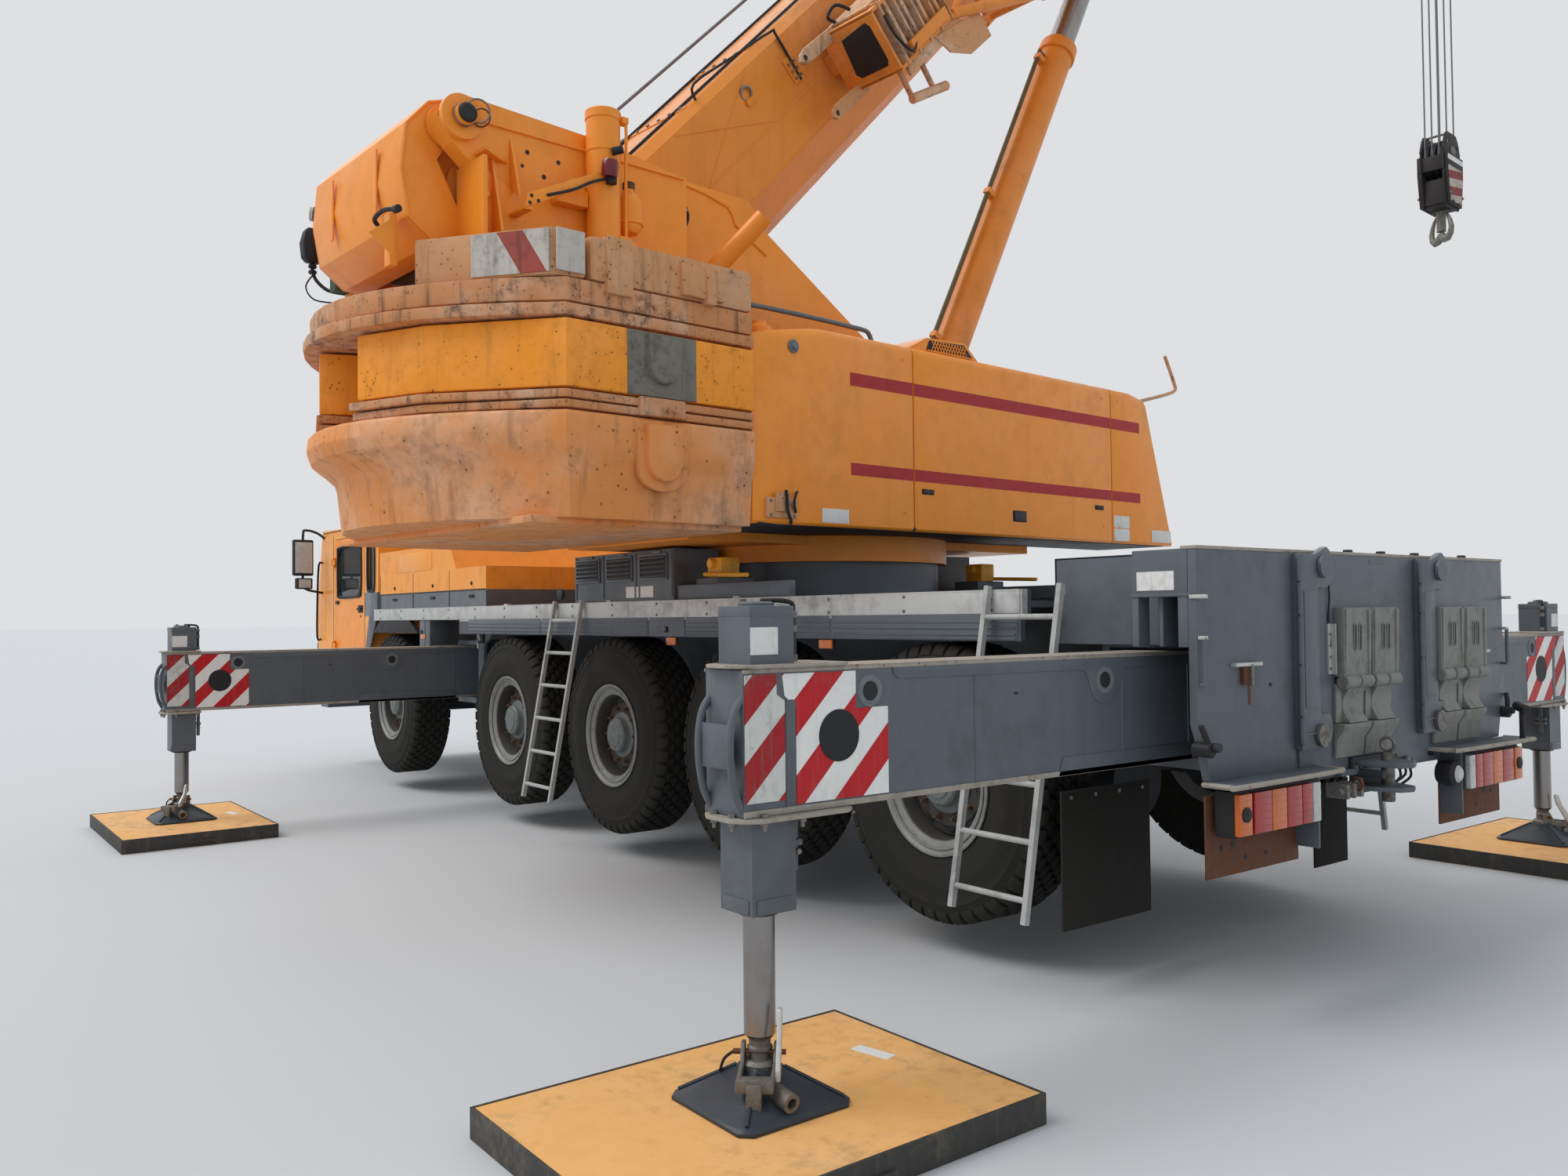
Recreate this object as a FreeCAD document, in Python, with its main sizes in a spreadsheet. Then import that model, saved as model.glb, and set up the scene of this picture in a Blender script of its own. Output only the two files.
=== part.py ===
"""Five-axle mobile crane standing on its outriggers, as a parametric document.

Lengths are millimetres and angles are degrees. The carrier is drawn from the slewing axis on the
ground, +X forward and +Y left. The upper works are drawn facing +X and then turned by slew_angle,
and the boom is drawn level from its foot pin and then raised by boom_angle.
"""
import FreeCAD, Part
import dataclasses
import math
import operator
import os
import types

import Sketcher

V = FreeCAD.Vector

SIZES = {
    # Where the slewing axis stands, and how the crane is set up.
    "slew_x": -1690, "slew_y": 4150, "slew_angle": -86, "boom_angle": 45.5,
    "running_gap": 10, "panel_gap": 6, "seat": 0.3,
    # Wheels, hubs and axles.
    "axle_one": 5000, "axle_two": 2290, "axle_three": 590, "axle_four": -1000, "axle_five": -2600,
    "tyre_radius": 685, "tyre_width": 385, "wheel_lift": 150, "wheel_side": 1180, "rim_radius": 318,
    "rim_flange": 352, "rim_well": 285, "hub_radius": 150, "hub_reach": 150, "disc_thick": 24,
    "kingpin_side": 900, "kingpin_radius": 45, "knuckle_height": 300, "kingpin_eye": 65, "axle_radius": 95,
    "axle_half": 800, "diff_radius": 210,
    # Chassis frame and deck.
    "frame_half": 430, "frame_bottom": 960, "frame_top": 1650, "frame_front": 5790, "nose_front": 7450,
    "frame_wall": 14, "carrier_half": 1375, "deck_top": 1763, "deck_plate": 30, "rail_height": 110,
    "rail_thick": 60, "deck_front": 5440, "ring_radius": 900, "ring_bore": 700, "ring_top": 2010,
    # Outriggers: two beams pass side by side in each box.
    "beam_width": 210, "beam_pitch": 220, "box_wall": 40, "box_half": 960, "front_box_half": 1150, "beam_length": 2640,
    "beam_wall": 12, "beam_height": 460, "front_lane": 3650, "rear_lane": -3690,
    "front_beam_bottom": 956, "rear_beam_bottom": 1027, "front_reach": 3500,
    "rear_left_reach": 3210, "rear_right_reach": 3480, "stowed_reach": 1280,
    "housing_width": 174, "jack_radius": 52, "housing_bottom": 712,
    "housing_rise": 196, "foot_size": 440, "foot_thick": 30, "foot_socket": 95, "socket_rise": 150,
    "mat_thick": 100, "mat_long": 1500, "mat_wide": 1060, "jack_lift": 250,
    # Rear end.
    "wall_back": -4090, "wall_thick": 40, "wall_bottom": 920, "tail_top": 1906,
    "tail_front": -3200, "tail_bottom": 1545, "shell_wall": 30, "lamp_inner": 620, "lamp_outer": 1290,
    "lamp_bottom": 770, "lamp_top": 965, "shelf_reach": 150, "chock_bottom": 955, "chock_top": 1670,
    "chock_depth": 210,
    # Carrier cab and the housing behind it.
    "cab_back": 5560, "cab_front": 7640, "cab_half": 1290, "cab_roof": 2690, "cab_floor": 1010,
    "cab_wall": 50, "cab_step": 5830, "door_back": 5990, "door_front": 6980, "door_sill": 1130,
    "door_head": 2560, "door_thick": 46, "housing_rear": 2800, "housing_low": 2110,
    "housing_high": 2340, "housing_break": 3600, "housing_wall": 20, "engine_half": 420, "locker_rear": -250, "locker_front": 1100,
    "locker_top": 2100, "locker_inner": 1010, "skirt_bottom": 1530, "skirt_thick": 30,
    "ladder_length": 1450, "ladder_width": 450, "ladder_tilt": 10.5, "ladder_one": 920,
    "ladder_two": -3450, "ladder_clear": 130, "ladder_rungs": 6, "hinge_pin": 8, "hinge_out": 18,
    "hinge_knuckle": 13,
    # Upper works.
    "turntable_radius": 960, "turntable_top": 2180, "turntable_gap": 0.3, "plate_inner": 452,
    "plate_thick": 50, "plate_rear": -1650, "plate_front": 1330, "foot_x": -1850, "foot_z": 3550,
    "foot_pin": 70, "cylinder_foot_x": 820, "cylinder_foot_z": 2500, "cylinder_pin": 60, "stub_end": 180,
    "cover_rear": -1640, "cover_front": 2270, "cover_toe": 2600, "cover_bottom": 2180.3,
    "cover_top": 3350, "cover_side": 1300, "cover_inner": 640,
    "weight_front": -1650.3, "weight_corner": -2900, "weight_half": 1310, "weight_bottom": 2160, "notch_half": 560, "notch_rear": -2760,
    "slab_top": 2690, "slab_bulge": 560, "plates_bulge": 690, "heavy_bottom": 2800, "heavy_top": 3150,
    "stack_top": 3350, "blocks_top": 3590, "seam": 7, "seam_depth": 22, "rear_slot": 60,
    "weight_lug_x": -2300, "weight_lug_radius": 95,
    "arm_inner": 640, "arm_thick": 120, "lug_x": -3150, "lug_z": 4230, "lug_radius": 130,
    "lug_pin": 55, "lug_spread": 700, "ram_x": -2330, "ram_radius": 95, "ram_top": 4450,
    "winch_x": -2980, "winch_z": 3980, "drum_radius": 230, "drum_flange": 330, "drum_half": 440,
    "upper_cab_rear": 330, "upper_cab_front": 2230, "upper_cab_inner": 620,
    "upper_cab_outer": 1400, "upper_cab_floor": 2180.3, "upper_cab_roof": 3720,
    "upper_cab_wall": 40, "slide_rear": 700, "slide_front": 1560,
    # Boom, hook and luffing cylinder.
    "boom_half": 400, "boom_bottom": -420, "boom_top": 620, "boom_belly": 330, "boom_wall": 15,
    "boom_chamfer": 60, "section_gap": 6, "base_rear": -560, "base_front": 11900,
    "section_length": 11500, "section_step": 160, "section_out": 2153, "head_x": 13000,
    "head_drop": -350, "head_length": 520, "sheave_radius": 260, "sheave_width": 60,
    "sheave_count": 3, "sheave_pitch": 90, "eye_x": 7950, "eye_drop": -620, "eye_radius": 150,
    "barrel_radius": 155, "barrel_length": 4850, "rod_radius": 118,
    "rod_inside": 3900, "falls_radius": 11, "block_top": 8280,
    "block_height": 1100, "block_width": 620, "block_thick": 330, "hook_ring": 105, "hook_thick": 42,
    "jib_rear": 4300, "jib_front": 11400, "jib_inner": 470, "jib_width": 560, "jib_low": -420,
    "jib_high": 330, "jib_chord": 45, "jib_lace": 24, "jib_bays": 8, "collar_length": 120,
    "collar_rise": 26,
}

doc = FreeCAD.newDocument("MobileCrane")
sheet = doc.addObject("Spreadsheet::Sheet", "Sizes")
for row, (alias, value) in enumerate(SIZES.items(), start=1):
    sheet.set(f"A{row}", alias)
    sheet.set(f"B{row}", str(value))
    sheet.setAlias(f"B{row}", alias)
doc.recompute()


@dataclasses.dataclass(frozen=True)
class Size:
    """A length or angle that carries its number and its expression on the sheet."""
    value: float
    text: str

    def __add__(self, other):
        return joined(operator.add, "+", self, other)

    def __radd__(self, other):
        return joined(operator.add, "+", other, self)

    def __sub__(self, other):
        return joined(operator.sub, "-", self, other)

    def __rsub__(self, other):
        return joined(operator.sub, "-", other, self)

    def __mul__(self, other):
        return joined(operator.mul, "*", self, other)

    def __rmul__(self, other):
        return joined(operator.mul, "*", other, self)

    def __truediv__(self, other):
        return joined(operator.truediv, "/", self, other)

    def __pow__(self, other):
        return joined(operator.pow, "^", self, other)

    def __neg__(self):
        return joined(operator.mul, "*", -1, self)

    def __lt__(self, other):
        return self.value < number(other)

    def __gt__(self, other):
        return self.value > number(other)


def number(length):
    """The number of a size or of a plain length."""
    return length.value if isinstance(length, Size) else float(length)


def formula(length):
    """The sheet's expression for a size or a plain length."""
    return length.text if isinstance(length, Size) else str(length)


def joined(action, sign, left, right):
    """Two lengths put together by an arithmetic sign."""
    return Size(action(number(left), number(right)), f"({formula(left)} {sign} {formula(right)})")


def sine(angle):
    """Sine of an angle in degrees."""
    return Size(math.sin(math.radians(angle.value)), f"sin({angle.text} * 1 deg)")


def cosine(angle):
    """Cosine of an angle in degrees."""
    return Size(math.cos(math.radians(angle.value)), f"cos({angle.text} * 1 deg)")


s = types.SimpleNamespace(**{alias: Size(float(value), f"Sizes.{alias}") for alias, value in SIZES.items()})
NODES = []


def ordered(first, second):
    """Two lengths, the lower first."""
    return (first, second) if number(first) < number(second) else (second, first)


def place_base(obj, x, y, z):
    """Bind the three coordinates of an object's placement."""
    for axis, text in zip("xyz", (x, y, z)):
        obj.setExpression(f"Placement.Base.{axis}", formula(text))


def block(name, x, y, z):
    """A box between pairs of bounds."""
    box = doc.addObject("Part::Box", name)
    for size, pair in zip(("Length", "Width", "Height"), (x, y, z)):
        box.setExpression(size, formula(pair[1] - pair[0]))
    place_base(box, x[0], y[0], z[0])
    return box


TURNS = {"x": FreeCAD.Rotation(V(0, 1, 0), 90), "y": FreeCAD.Rotation(V(1, 0, 0), -90),
         "z": FreeCAD.Rotation()}


def round_bar(name, axis, start, radius, length):
    """A cylinder along an axis from its start point."""
    bar = doc.addObject("Part::Cylinder", name)
    bar.setExpression("Radius", formula(radius))
    bar.setExpression("Height", formula(length))
    bar.Placement = FreeCAD.Placement(V(0, 0, 0), TURNS[axis])
    place_base(bar, *start)
    return bar


def cone(name, axis, start, radius_a, radius_b, length):
    """A cone frustum along an axis from its start point."""
    bar = doc.addObject("Part::Cone", name)
    bar.setExpression("Radius1", formula(radius_a))
    bar.setExpression("Radius2", formula(radius_b))
    bar.setExpression("Height", formula(length))
    bar.Placement = FreeCAD.Placement(V(0, 0, 0), TURNS[axis])
    place_base(bar, *start)
    return bar


def brace(name, start, end, radius):
    """A round bar between two points."""
    a, b = (V(*(number(length) for length in point)) for point in (start, end))
    bar = doc.addObject("Part::Cylinder", name)
    bar.setExpression("Radius", formula(radius))
    bar.Height = (b - a).Length
    bar.Placement = FreeCAD.Placement(a, FreeCAD.Rotation(V(0, 0, 1), b - a))
    return bar


def ring_part(name, centre, radius, thick, sweep):
    """Part of a ring standing in the XZ plane, from its -X side round underneath."""
    ring = doc.addObject("Part::Torus", name)
    ring.setExpression("Radius1", formula(radius))
    ring.setExpression("Radius2", formula(thick))
    ring.Angle3 = sweep
    ring.Placement = FreeCAD.Placement(V(0, 0, 0), FreeCAD.Rotation(V(1, 0, 0), 90)
                                       * FreeCAD.Rotation(V(0, 0, 1), 180))
    place_base(ring, *centre)
    return ring


def union(name, pieces):
    """One solid from pieces that touch, or the piece itself."""
    if len(pieces) == 1:
        return pieces[0]
    fuse = doc.addObject("Part::MultiFuse", name)
    fuse.Shapes = pieces
    return fuse


def minus(name, base, tools):
    """A piece with others cut from it."""
    cut = doc.addObject("Part::Cut", name)
    cut.Base = base
    cut.Tool = union(name + "Tools", tools)
    return cut


def group(name, pieces):
    """Pieces of one node that stay separate solids."""
    together = doc.addObject("Part::Compound", name)
    together.Links = pieces
    return together


PLANES = {"xy": "XY_Plane", "xz": "XZ_Plane", "yz": "YZ_Plane"}


def sketch_on(body, plane, points, offset):
    """A closed sketch through points; a point with a third entry ends an arc of that radius."""
    origin = next(f for f in body.Origin.OriginFeatures if f.Role == PLANES[plane])
    sketch = body.newObject("Sketcher::SketchObject", body.Name + "Sketch")
    sketch.AttachmentSupport = [(origin, "")]
    sketch.MapMode = "FlatFace"
    sketch.setExpression(".AttachmentOffset.Base.z", formula(offset))
    corners = [V(number(p[0]), number(p[1]), 0) for p in points]
    for i, point in enumerate(points):
        end = corners[i]
        start = corners[i - 1]
        if len(point) == 2:
            sketch.addGeometry(Part.LineSegment(start, end))
            continue
        radius = number(point[2])
        chord = end - start
        rise = math.sqrt(max(radius ** 2 - (chord.Length / 2) ** 2, 0.0))
        side = V(-chord.y, chord.x, 0).normalize()
        middle = (start + end) * 0.5
        centre = middle + side * rise * (1 if radius > 0 else -1)
        top = centre - side * abs(radius) * (1 if radius > 0 else -1)
        sketch.addGeometry(Part.Arc(start, top, end))
    count = len(points)
    for i, point in enumerate(points):
        ends = [2, 1]
        if len(point) == 3 and number(point[2]) < 0:
            ends = [1, 2]
        after = (i + 1) % count
        next_start = 1
        if len(points[after]) == 3 and number(points[after][2]) < 0:
            next_start = 2
        sketch.addConstraint(Sketcher.Constraint("Coincident", i, ends[0], after, next_start))
        for kind, text, at in (("DistanceX", point[0], corners[i].x),
                               ("DistanceY", point[1], corners[i].y)):
            k = sketch.addConstraint(Sketcher.Constraint(kind, -1, 1, i, ends[0], at))
            sketch.setExpression(f"Constraints[{k}]", formula(text))
        if len(point) == 3:
            k = sketch.addConstraint(Sketcher.Constraint("Radius", i, abs(number(point[2]))))
            sketch.setExpression(f"Constraints[{k}]", f"abs({formula(point[2])})")
    return sketch


def plate(name, plane, points, low, high):
    """A profile on a plane, padded between two coordinates across it."""
    body = doc.addObject("PartDesign::Body", name)
    offset = -high if plane == "xz" else low
    sketch = sketch_on(body, plane, points, offset)
    pad = body.newObject("PartDesign::Pad", name + "Pad")
    pad.Profile = sketch
    pad.setExpression("Length", formula(high - low))
    body.Tip = pad
    sketch.Visibility = False
    return body


def turned(name, axis, points):
    """A profile of distance along and radius, turned about an axis through the origin."""
    body = doc.addObject("PartDesign::Body", name)
    sketch = sketch_on(body, "xy", points, 0)
    spin = body.newObject("PartDesign::Revolution", name + "Turned")
    spin.Profile = sketch
    spin.ReferenceAxis = (sketch, ["H_Axis"])
    spin.Angle = 360
    body.Tip = spin
    body.Placement = FreeCAD.Placement(V(0, 0, 0), {
        "x": FreeCAD.Rotation(), "y": FreeCAD.Rotation(V(0, 0, 1), 90),
        "z": FreeCAD.Rotation(V(0, 1, 0), -90)}[axis])
    return body


SLEW = FreeCAD.Placement(V(s.slew_x.value, s.slew_y.value, 0), FreeCAD.Rotation(V(0, 0, 1), s.slew_angle.value))
BOOM = math.radians(s.boom_angle.value)
EYE_ACROSS = (s.foot_x.value + s.eye_x.value * math.cos(BOOM) - s.eye_drop.value * math.sin(BOOM)
              - s.cylinder_foot_x.value)
EYE_UP = (s.foot_z.value + s.eye_x.value * math.sin(BOOM) + s.eye_drop.value * math.cos(BOOM)
          - s.cylinder_foot_z.value)
CYLINDER_ANGLE = math.degrees(math.atan2(EYE_UP, EYE_ACROSS))
FRAMES = {
    "carrier": FreeCAD.Placement(V(s.slew_x.value, s.slew_y.value, 0), FreeCAD.Rotation()),
    "upper": SLEW,
    "boom": SLEW * FreeCAD.Placement(V(s.foot_x.value, 0, s.foot_z.value),
                                     FreeCAD.Rotation(V(0, 1, 0), -s.boom_angle.value)),
    "cylinder": SLEW * FreeCAD.Placement(V(s.cylinder_foot_x.value, 0, s.cylinder_foot_z.value),
                                         FreeCAD.Rotation(V(0, 1, 0), -CYLINDER_ANGLE)),
}


def node(label, frame, pieces, joined=True):
    """Finish a node: join or group its pieces, place it in its frame and list it."""
    holder = group(label + "Set", [union(label + "One", pieces)] if joined else pieces)
    holder.Label = label
    holder.Placement = FRAMES[frame] if isinstance(frame, str) else frame
    NODES.append(holder)
    return holder


SIDES = (("left", 1), ("right", -1))
AXLES = ("one", "two", "three", "four", "five")
STEERED = ("one", "two", "four", "five")


def wheel_place(axle, side):
    """Where a wheel's centre stands, turned so that its outer face looks away from the crane."""
    at = V(s.slew_x.value + getattr(s, f"axle_{axle}").value, s.slew_y.value + side * s.wheel_side.value,
           s.wheel_lift.value + s.tyre_radius.value)
    turn = FreeCAD.Rotation() if side > 0 else FreeCAD.Rotation(V(0, 0, 1), 180)
    return FreeCAD.Placement(at, turn)


def build_wheels():
    """Tyre and rim of each wheel, and the knuckle of each steered one."""
    half = s.tyre_width / 2
    tyre_line = [
        (-half + 30, s.rim_radius), (half - 30, s.rim_radius),
        (half - 30, s.rim_flange + 4), (half - 6, s.rim_flange + 30), (half, s.tyre_radius - 190),
        (half - 14, s.tyre_radius - 60), (half - 50, s.tyre_radius - 12),
        (half - 90, s.tyre_radius), (-half + 90, s.tyre_radius),
        (-half + 50, s.tyre_radius - 12), (-half + 14, s.tyre_radius - 60),
        (-half, s.tyre_radius - 190), (-half + 6, s.rim_flange + 30),
        (-half + 30, s.rim_flange + 4),
    ]
    rim_line = [
        (-half + 29, s.rim_radius - s.seat), (-half + 29, s.rim_flange),
        (-half + 12, s.rim_flange), (-half + 12, s.rim_radius - 18),
        (-90, s.rim_well), (60, s.rim_well), (70, s.hub_radius + 60),
        (40, s.hub_radius), (40, s.kingpin_radius + 40), (-130, s.kingpin_radius + 40),
        (-130, 0), (s.hub_reach, 0), (s.hub_reach, s.hub_radius - 40),
        (s.hub_reach - 24, s.hub_radius - 20), (64 + s.disc_thick, s.hub_radius),
        (92 + s.disc_thick, s.hub_radius + 60), (80 + s.disc_thick, s.rim_well - 6),
        (half - 12, s.rim_radius - 18), (half - 12, s.rim_flange),
        (half - 29, s.rim_flange), (half - 29, s.rim_radius - s.seat),
        (80, s.rim_well + 14), (-80, s.rim_well + 14),
    ]
    for axle in AXLES:
        for word, side in SIDES:
            tyre = turned(f"Tyre{axle}{word}", "y", tyre_line)
            rim = turned(f"Rim{axle}{word}", "y", rim_line)
            node(f"tyre_{axle}_{word}", wheel_place(axle, side), [tyre])
            node(f"rim_{axle}_{word}", wheel_place(axle, side), [rim])
    for axle in STEERED:
        for word, side in SIDES:
            inner = s.kingpin_side - s.wheel_side
            arm = block(f"Arm{axle}{word}", (-70, 70), (inner - 60, inner + 100),
                        (-s.knuckle_height / 2, s.knuckle_height / 2))
            bore = round_bar(f"ArmBore{axle}{word}", "z", (0, inner, -s.knuckle_height),
                             s.kingpin_radius + s.seat, s.knuckle_height * 2)
            mouth = block(f"ArmMouth{axle}{word}", (-80, 80), (inner - 70, inner + 72),
                          (-s.axle_radius - 8, s.axle_radius + 8))
            spindle = round_bar(f"Spindle{axle}{word}", "y", (0, inner + 90, 0),
                                s.kingpin_radius + 30, 60 - s.seat)
            lever = block(f"Lever{axle}{word}", (-260, -60), (inner - 40, inner + 20),
                          (-s.knuckle_height / 2, -s.knuckle_height / 2 + 36))
            body = minus(f"Knuckle{axle}{word}",
                         union(f"KnuckleRaw{axle}{word}", [arm, spindle, lever]), [bore, mouth])
            node(f"knuckle_{axle}_{word}", wheel_place(axle, side), [body])


def build_axles():
    """The five axle beams with their differentials and the kingpins of the steered ones."""
    pieces = []
    level = s.wheel_lift + s.tyre_radius
    for axle in AXLES:
        at = getattr(s, f"axle_{axle}")
        reach = s.kingpin_side - 50 if axle in STEERED else s.wheel_side - 130 - s.seat
        pieces.append(round_bar(f"Beam{axle}", "y", (at, -reach, level), s.axle_radius,
                                2 * (reach)))
        pieces.append(round_bar(f"Diff{axle}", "x", (at - 190, 0, level - 90), s.diff_radius,
                                380))
        for word, side in SIDES:
            if axle in STEERED:
                pieces.append(round_bar(f"Pin{axle}{word}", "z",
                                        (at, side * s.kingpin_side,
                                         level - s.knuckle_height / 2 - 10),
                                        s.kingpin_radius, s.knuckle_height + 20))
                pieces.append(round_bar(f"Eye{axle}{word}", "z",
                                        (at, side * s.kingpin_side, level - s.axle_radius + 8),
                                        s.kingpin_eye, 2 * s.axle_radius - 16))
            pieces.append(block(f"Seat{axle}{word}", (at - 90, at + 90),
                                (side * 370 - 60, side * 370 + 60),
                                (level, s.frame_bottom - s.seat)))
    node("axles", "carrier", pieces)


def lanes(end):
    """The X of the left and of the right beam at one end."""
    first = getattr(s, f"{end}_lane")
    inward = -1 if end == "front" else 1
    return ("left", 1, first), ("right", -1, first + inward * s.beam_pitch)


def reach_of(end, word):
    """How far out the jack of one outrigger stands."""
    return s.front_reach if end == "front" else getattr(s, f"rear_{word}_reach")


def build_chassis():
    """Box frame with both outrigger boxes, the ring seat and the beam passages cut through."""
    frame = block("FrameBeam", (s.wall_back + s.wall_thick + s.shell_wall + s.seat, s.frame_front), (-s.frame_half, s.frame_half),
                  (s.frame_bottom, s.frame_top))
    nose = block("FrameNose", (s.frame_front - 300, s.nose_front), (-s.frame_half, s.frame_half),
                 (s.frame_bottom - 200, s.cab_floor - s.seat))
    bumper = block("Bumper", (s.nose_front - 60, s.cab_front + 10), (-s.cab_half + 40, s.cab_half - 40),
                   (s.frame_bottom - 300, s.cab_floor - s.seat))
    ring = round_bar("RingSeat", "z", (0, 0, s.frame_top - 5), s.ring_radius, s.ring_top - s.frame_top + 5)
    boxes, cuts = [], []
    for end, low_lane, high_lane in (("front", s.front_lane - s.beam_pitch, s.front_lane),
                                     ("rear", s.rear_lane, s.rear_lane + s.beam_pitch)):
        inner = (low_lane - s.beam_width / 2 - s.running_gap, high_lane + s.beam_width / 2 + s.running_gap)
        bottom = getattr(s, f"{end}_beam_bottom")
        half = s.front_box_half if end == "front" else s.box_half
        boxes.append(block(f"Box{end}", (inner[0] - s.box_wall, inner[1] + s.box_wall),
                           (-half, half),
                           (bottom - s.running_gap - s.box_wall,
                            bottom + s.beam_height + s.running_gap + s.box_wall)))
        cuts.append(block(f"Passage{end}", inner, (-half - 10, half + 10),
                          (bottom - s.seat, bottom + s.beam_height + s.running_gap)))
    hollow = block("FrameHollow", (-2900, 3100), (-s.frame_half + 40, s.frame_half - 40),
                   (s.frame_bottom + 40, s.frame_top - 40))
    node("chassis_frame", "carrier",
         [minus("Chassis", union("ChassisRaw", [frame, nose, bumper, ring] + boxes), cuts + [hollow])])


def build_deck():
    """Deck plate, side rails, lockers and the housing behind the cab."""
    plate_deck = minus("DeckPlate", block(
        "DeckSheet", (s.tail_front, s.deck_front), (-s.carrier_half + 5, s.carrier_half - 5),
        (s.deck_top - 50 - s.deck_plate, s.deck_top - 50)),
        [round_bar("DeckHole", "z", (0, 0, s.deck_top - 200), s.ring_radius + 20, 400)])
    stands = [block(f"DeckBearer{i}", (x - 40, x + 40), (-s.carrier_half + 60, s.carrier_half - 60),
                    (s.frame_top, s.deck_top - 50 - s.deck_plate))
              for i, x in enumerate((-3000, -1800, 1450, 3550, 5200))]
    rails = [block(f"Rail{word}", (s.tail_front, s.deck_front),
                   ordered(side * s.carrier_half, side * (s.carrier_half - s.rail_thick)), (s.deck_top - s.rail_height, s.deck_top))
             for word, side in SIDES]
    skirts = [block(f"Skirt{word}", (s.tail_front + 10, s.front_lane - 420),
                    ordered(side * s.carrier_half, side * (s.carrier_half - s.skirt_thick)),
                    (s.skirt_bottom, s.deck_top - s.rail_height)) for word, side in SIDES]
    node("deck", "carrier", [plate_deck] + stands + rails + skirts + ladders())
    wall = s.housing_wall
    outer = plate("PowerHousing", "xz", [
        (s.deck_front, s.deck_top - 50 + s.seat), (s.deck_front, s.housing_high),
        (s.housing_break, s.housing_high), (s.housing_break - 150, s.housing_low),
        (s.housing_rear, s.housing_low), (s.housing_rear, s.deck_top - 50 + s.seat)],
        -s.carrier_half + s.rail_thick + s.seat, s.carrier_half - s.rail_thick - s.seat)
    inner = plate("PowerSpace", "xz", [
        (s.deck_front - wall, s.deck_top - 60), (s.deck_front - wall, s.housing_high - wall),
        (s.housing_break + 10, s.housing_high - wall), (s.housing_break - 140, s.housing_low - wall),
        (s.housing_rear + wall, s.housing_low - wall), (s.housing_rear + wall, s.deck_top - 60)],
        -s.carrier_half + s.rail_thick + wall, s.carrier_half - s.rail_thick - wall)
    body = minus("PowerShell", outer, [inner])
    engine = block("EngineBlock", (s.housing_break + 150, s.deck_front - 250), (-s.engine_half, s.engine_half),
                   (s.deck_top - 50 + s.seat, s.housing_high - 160))
    lockers = []
    for word, side in SIDES:
        y = ordered(side * s.locker_inner, side * (s.carrier_half - 15))
        lockers.append(block(f"Locker{word}", (s.locker_rear, s.locker_front), y,
                             (s.deck_top + s.seat, s.locker_top)))
    node("engine_housing", "carrier", [body, engine] + lockers, joined=False)


def ladders():
    """Two leaning ladders on each side, hooked to the rail."""
    found = []
    for label, at in (("One", s.ladder_one), ("Two", s.ladder_two)):
        for word, side in SIDES:
            tag = f"{label}{word}"
            stiles = [block(f"Stile{tag}{i}", (x, x + 26), (-14, 14), (-s.ladder_length, 0))
                      for i, x in enumerate((0, s.ladder_width - 26))]
            pitch = s.ladder_length / s.ladder_rungs
            rungs = [round_bar(f"Rung{tag}{i}", "x", (10, 0, -pitch * (i + 0.6)), 13, s.ladder_width - 20)
                     for i in range(int(s.ladder_rungs.value))]
            hooks = [block(f"Hook{tag}{i}", (x, x + 26), ordered(side * 10, side * (s.seat - 23)), (-50, -20))
                     for i, x in enumerate((0, s.ladder_width - 26))]
            ladder = union(f"Ladder{tag}", stiles + rungs + hooks)
            ladder.Placement = FreeCAD.Placement(V(0, 0, 0), FreeCAD.Rotation(
                V(1, 0, 0), side * s.ladder_tilt.value))
            clear = s.ladder_clear if word == "right" and label == "Two" else 0
            place_base(ladder, at + clear, side * (s.carrier_half + 19), s.deck_top + 20)
            found.append(ladder)
    return found


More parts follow.
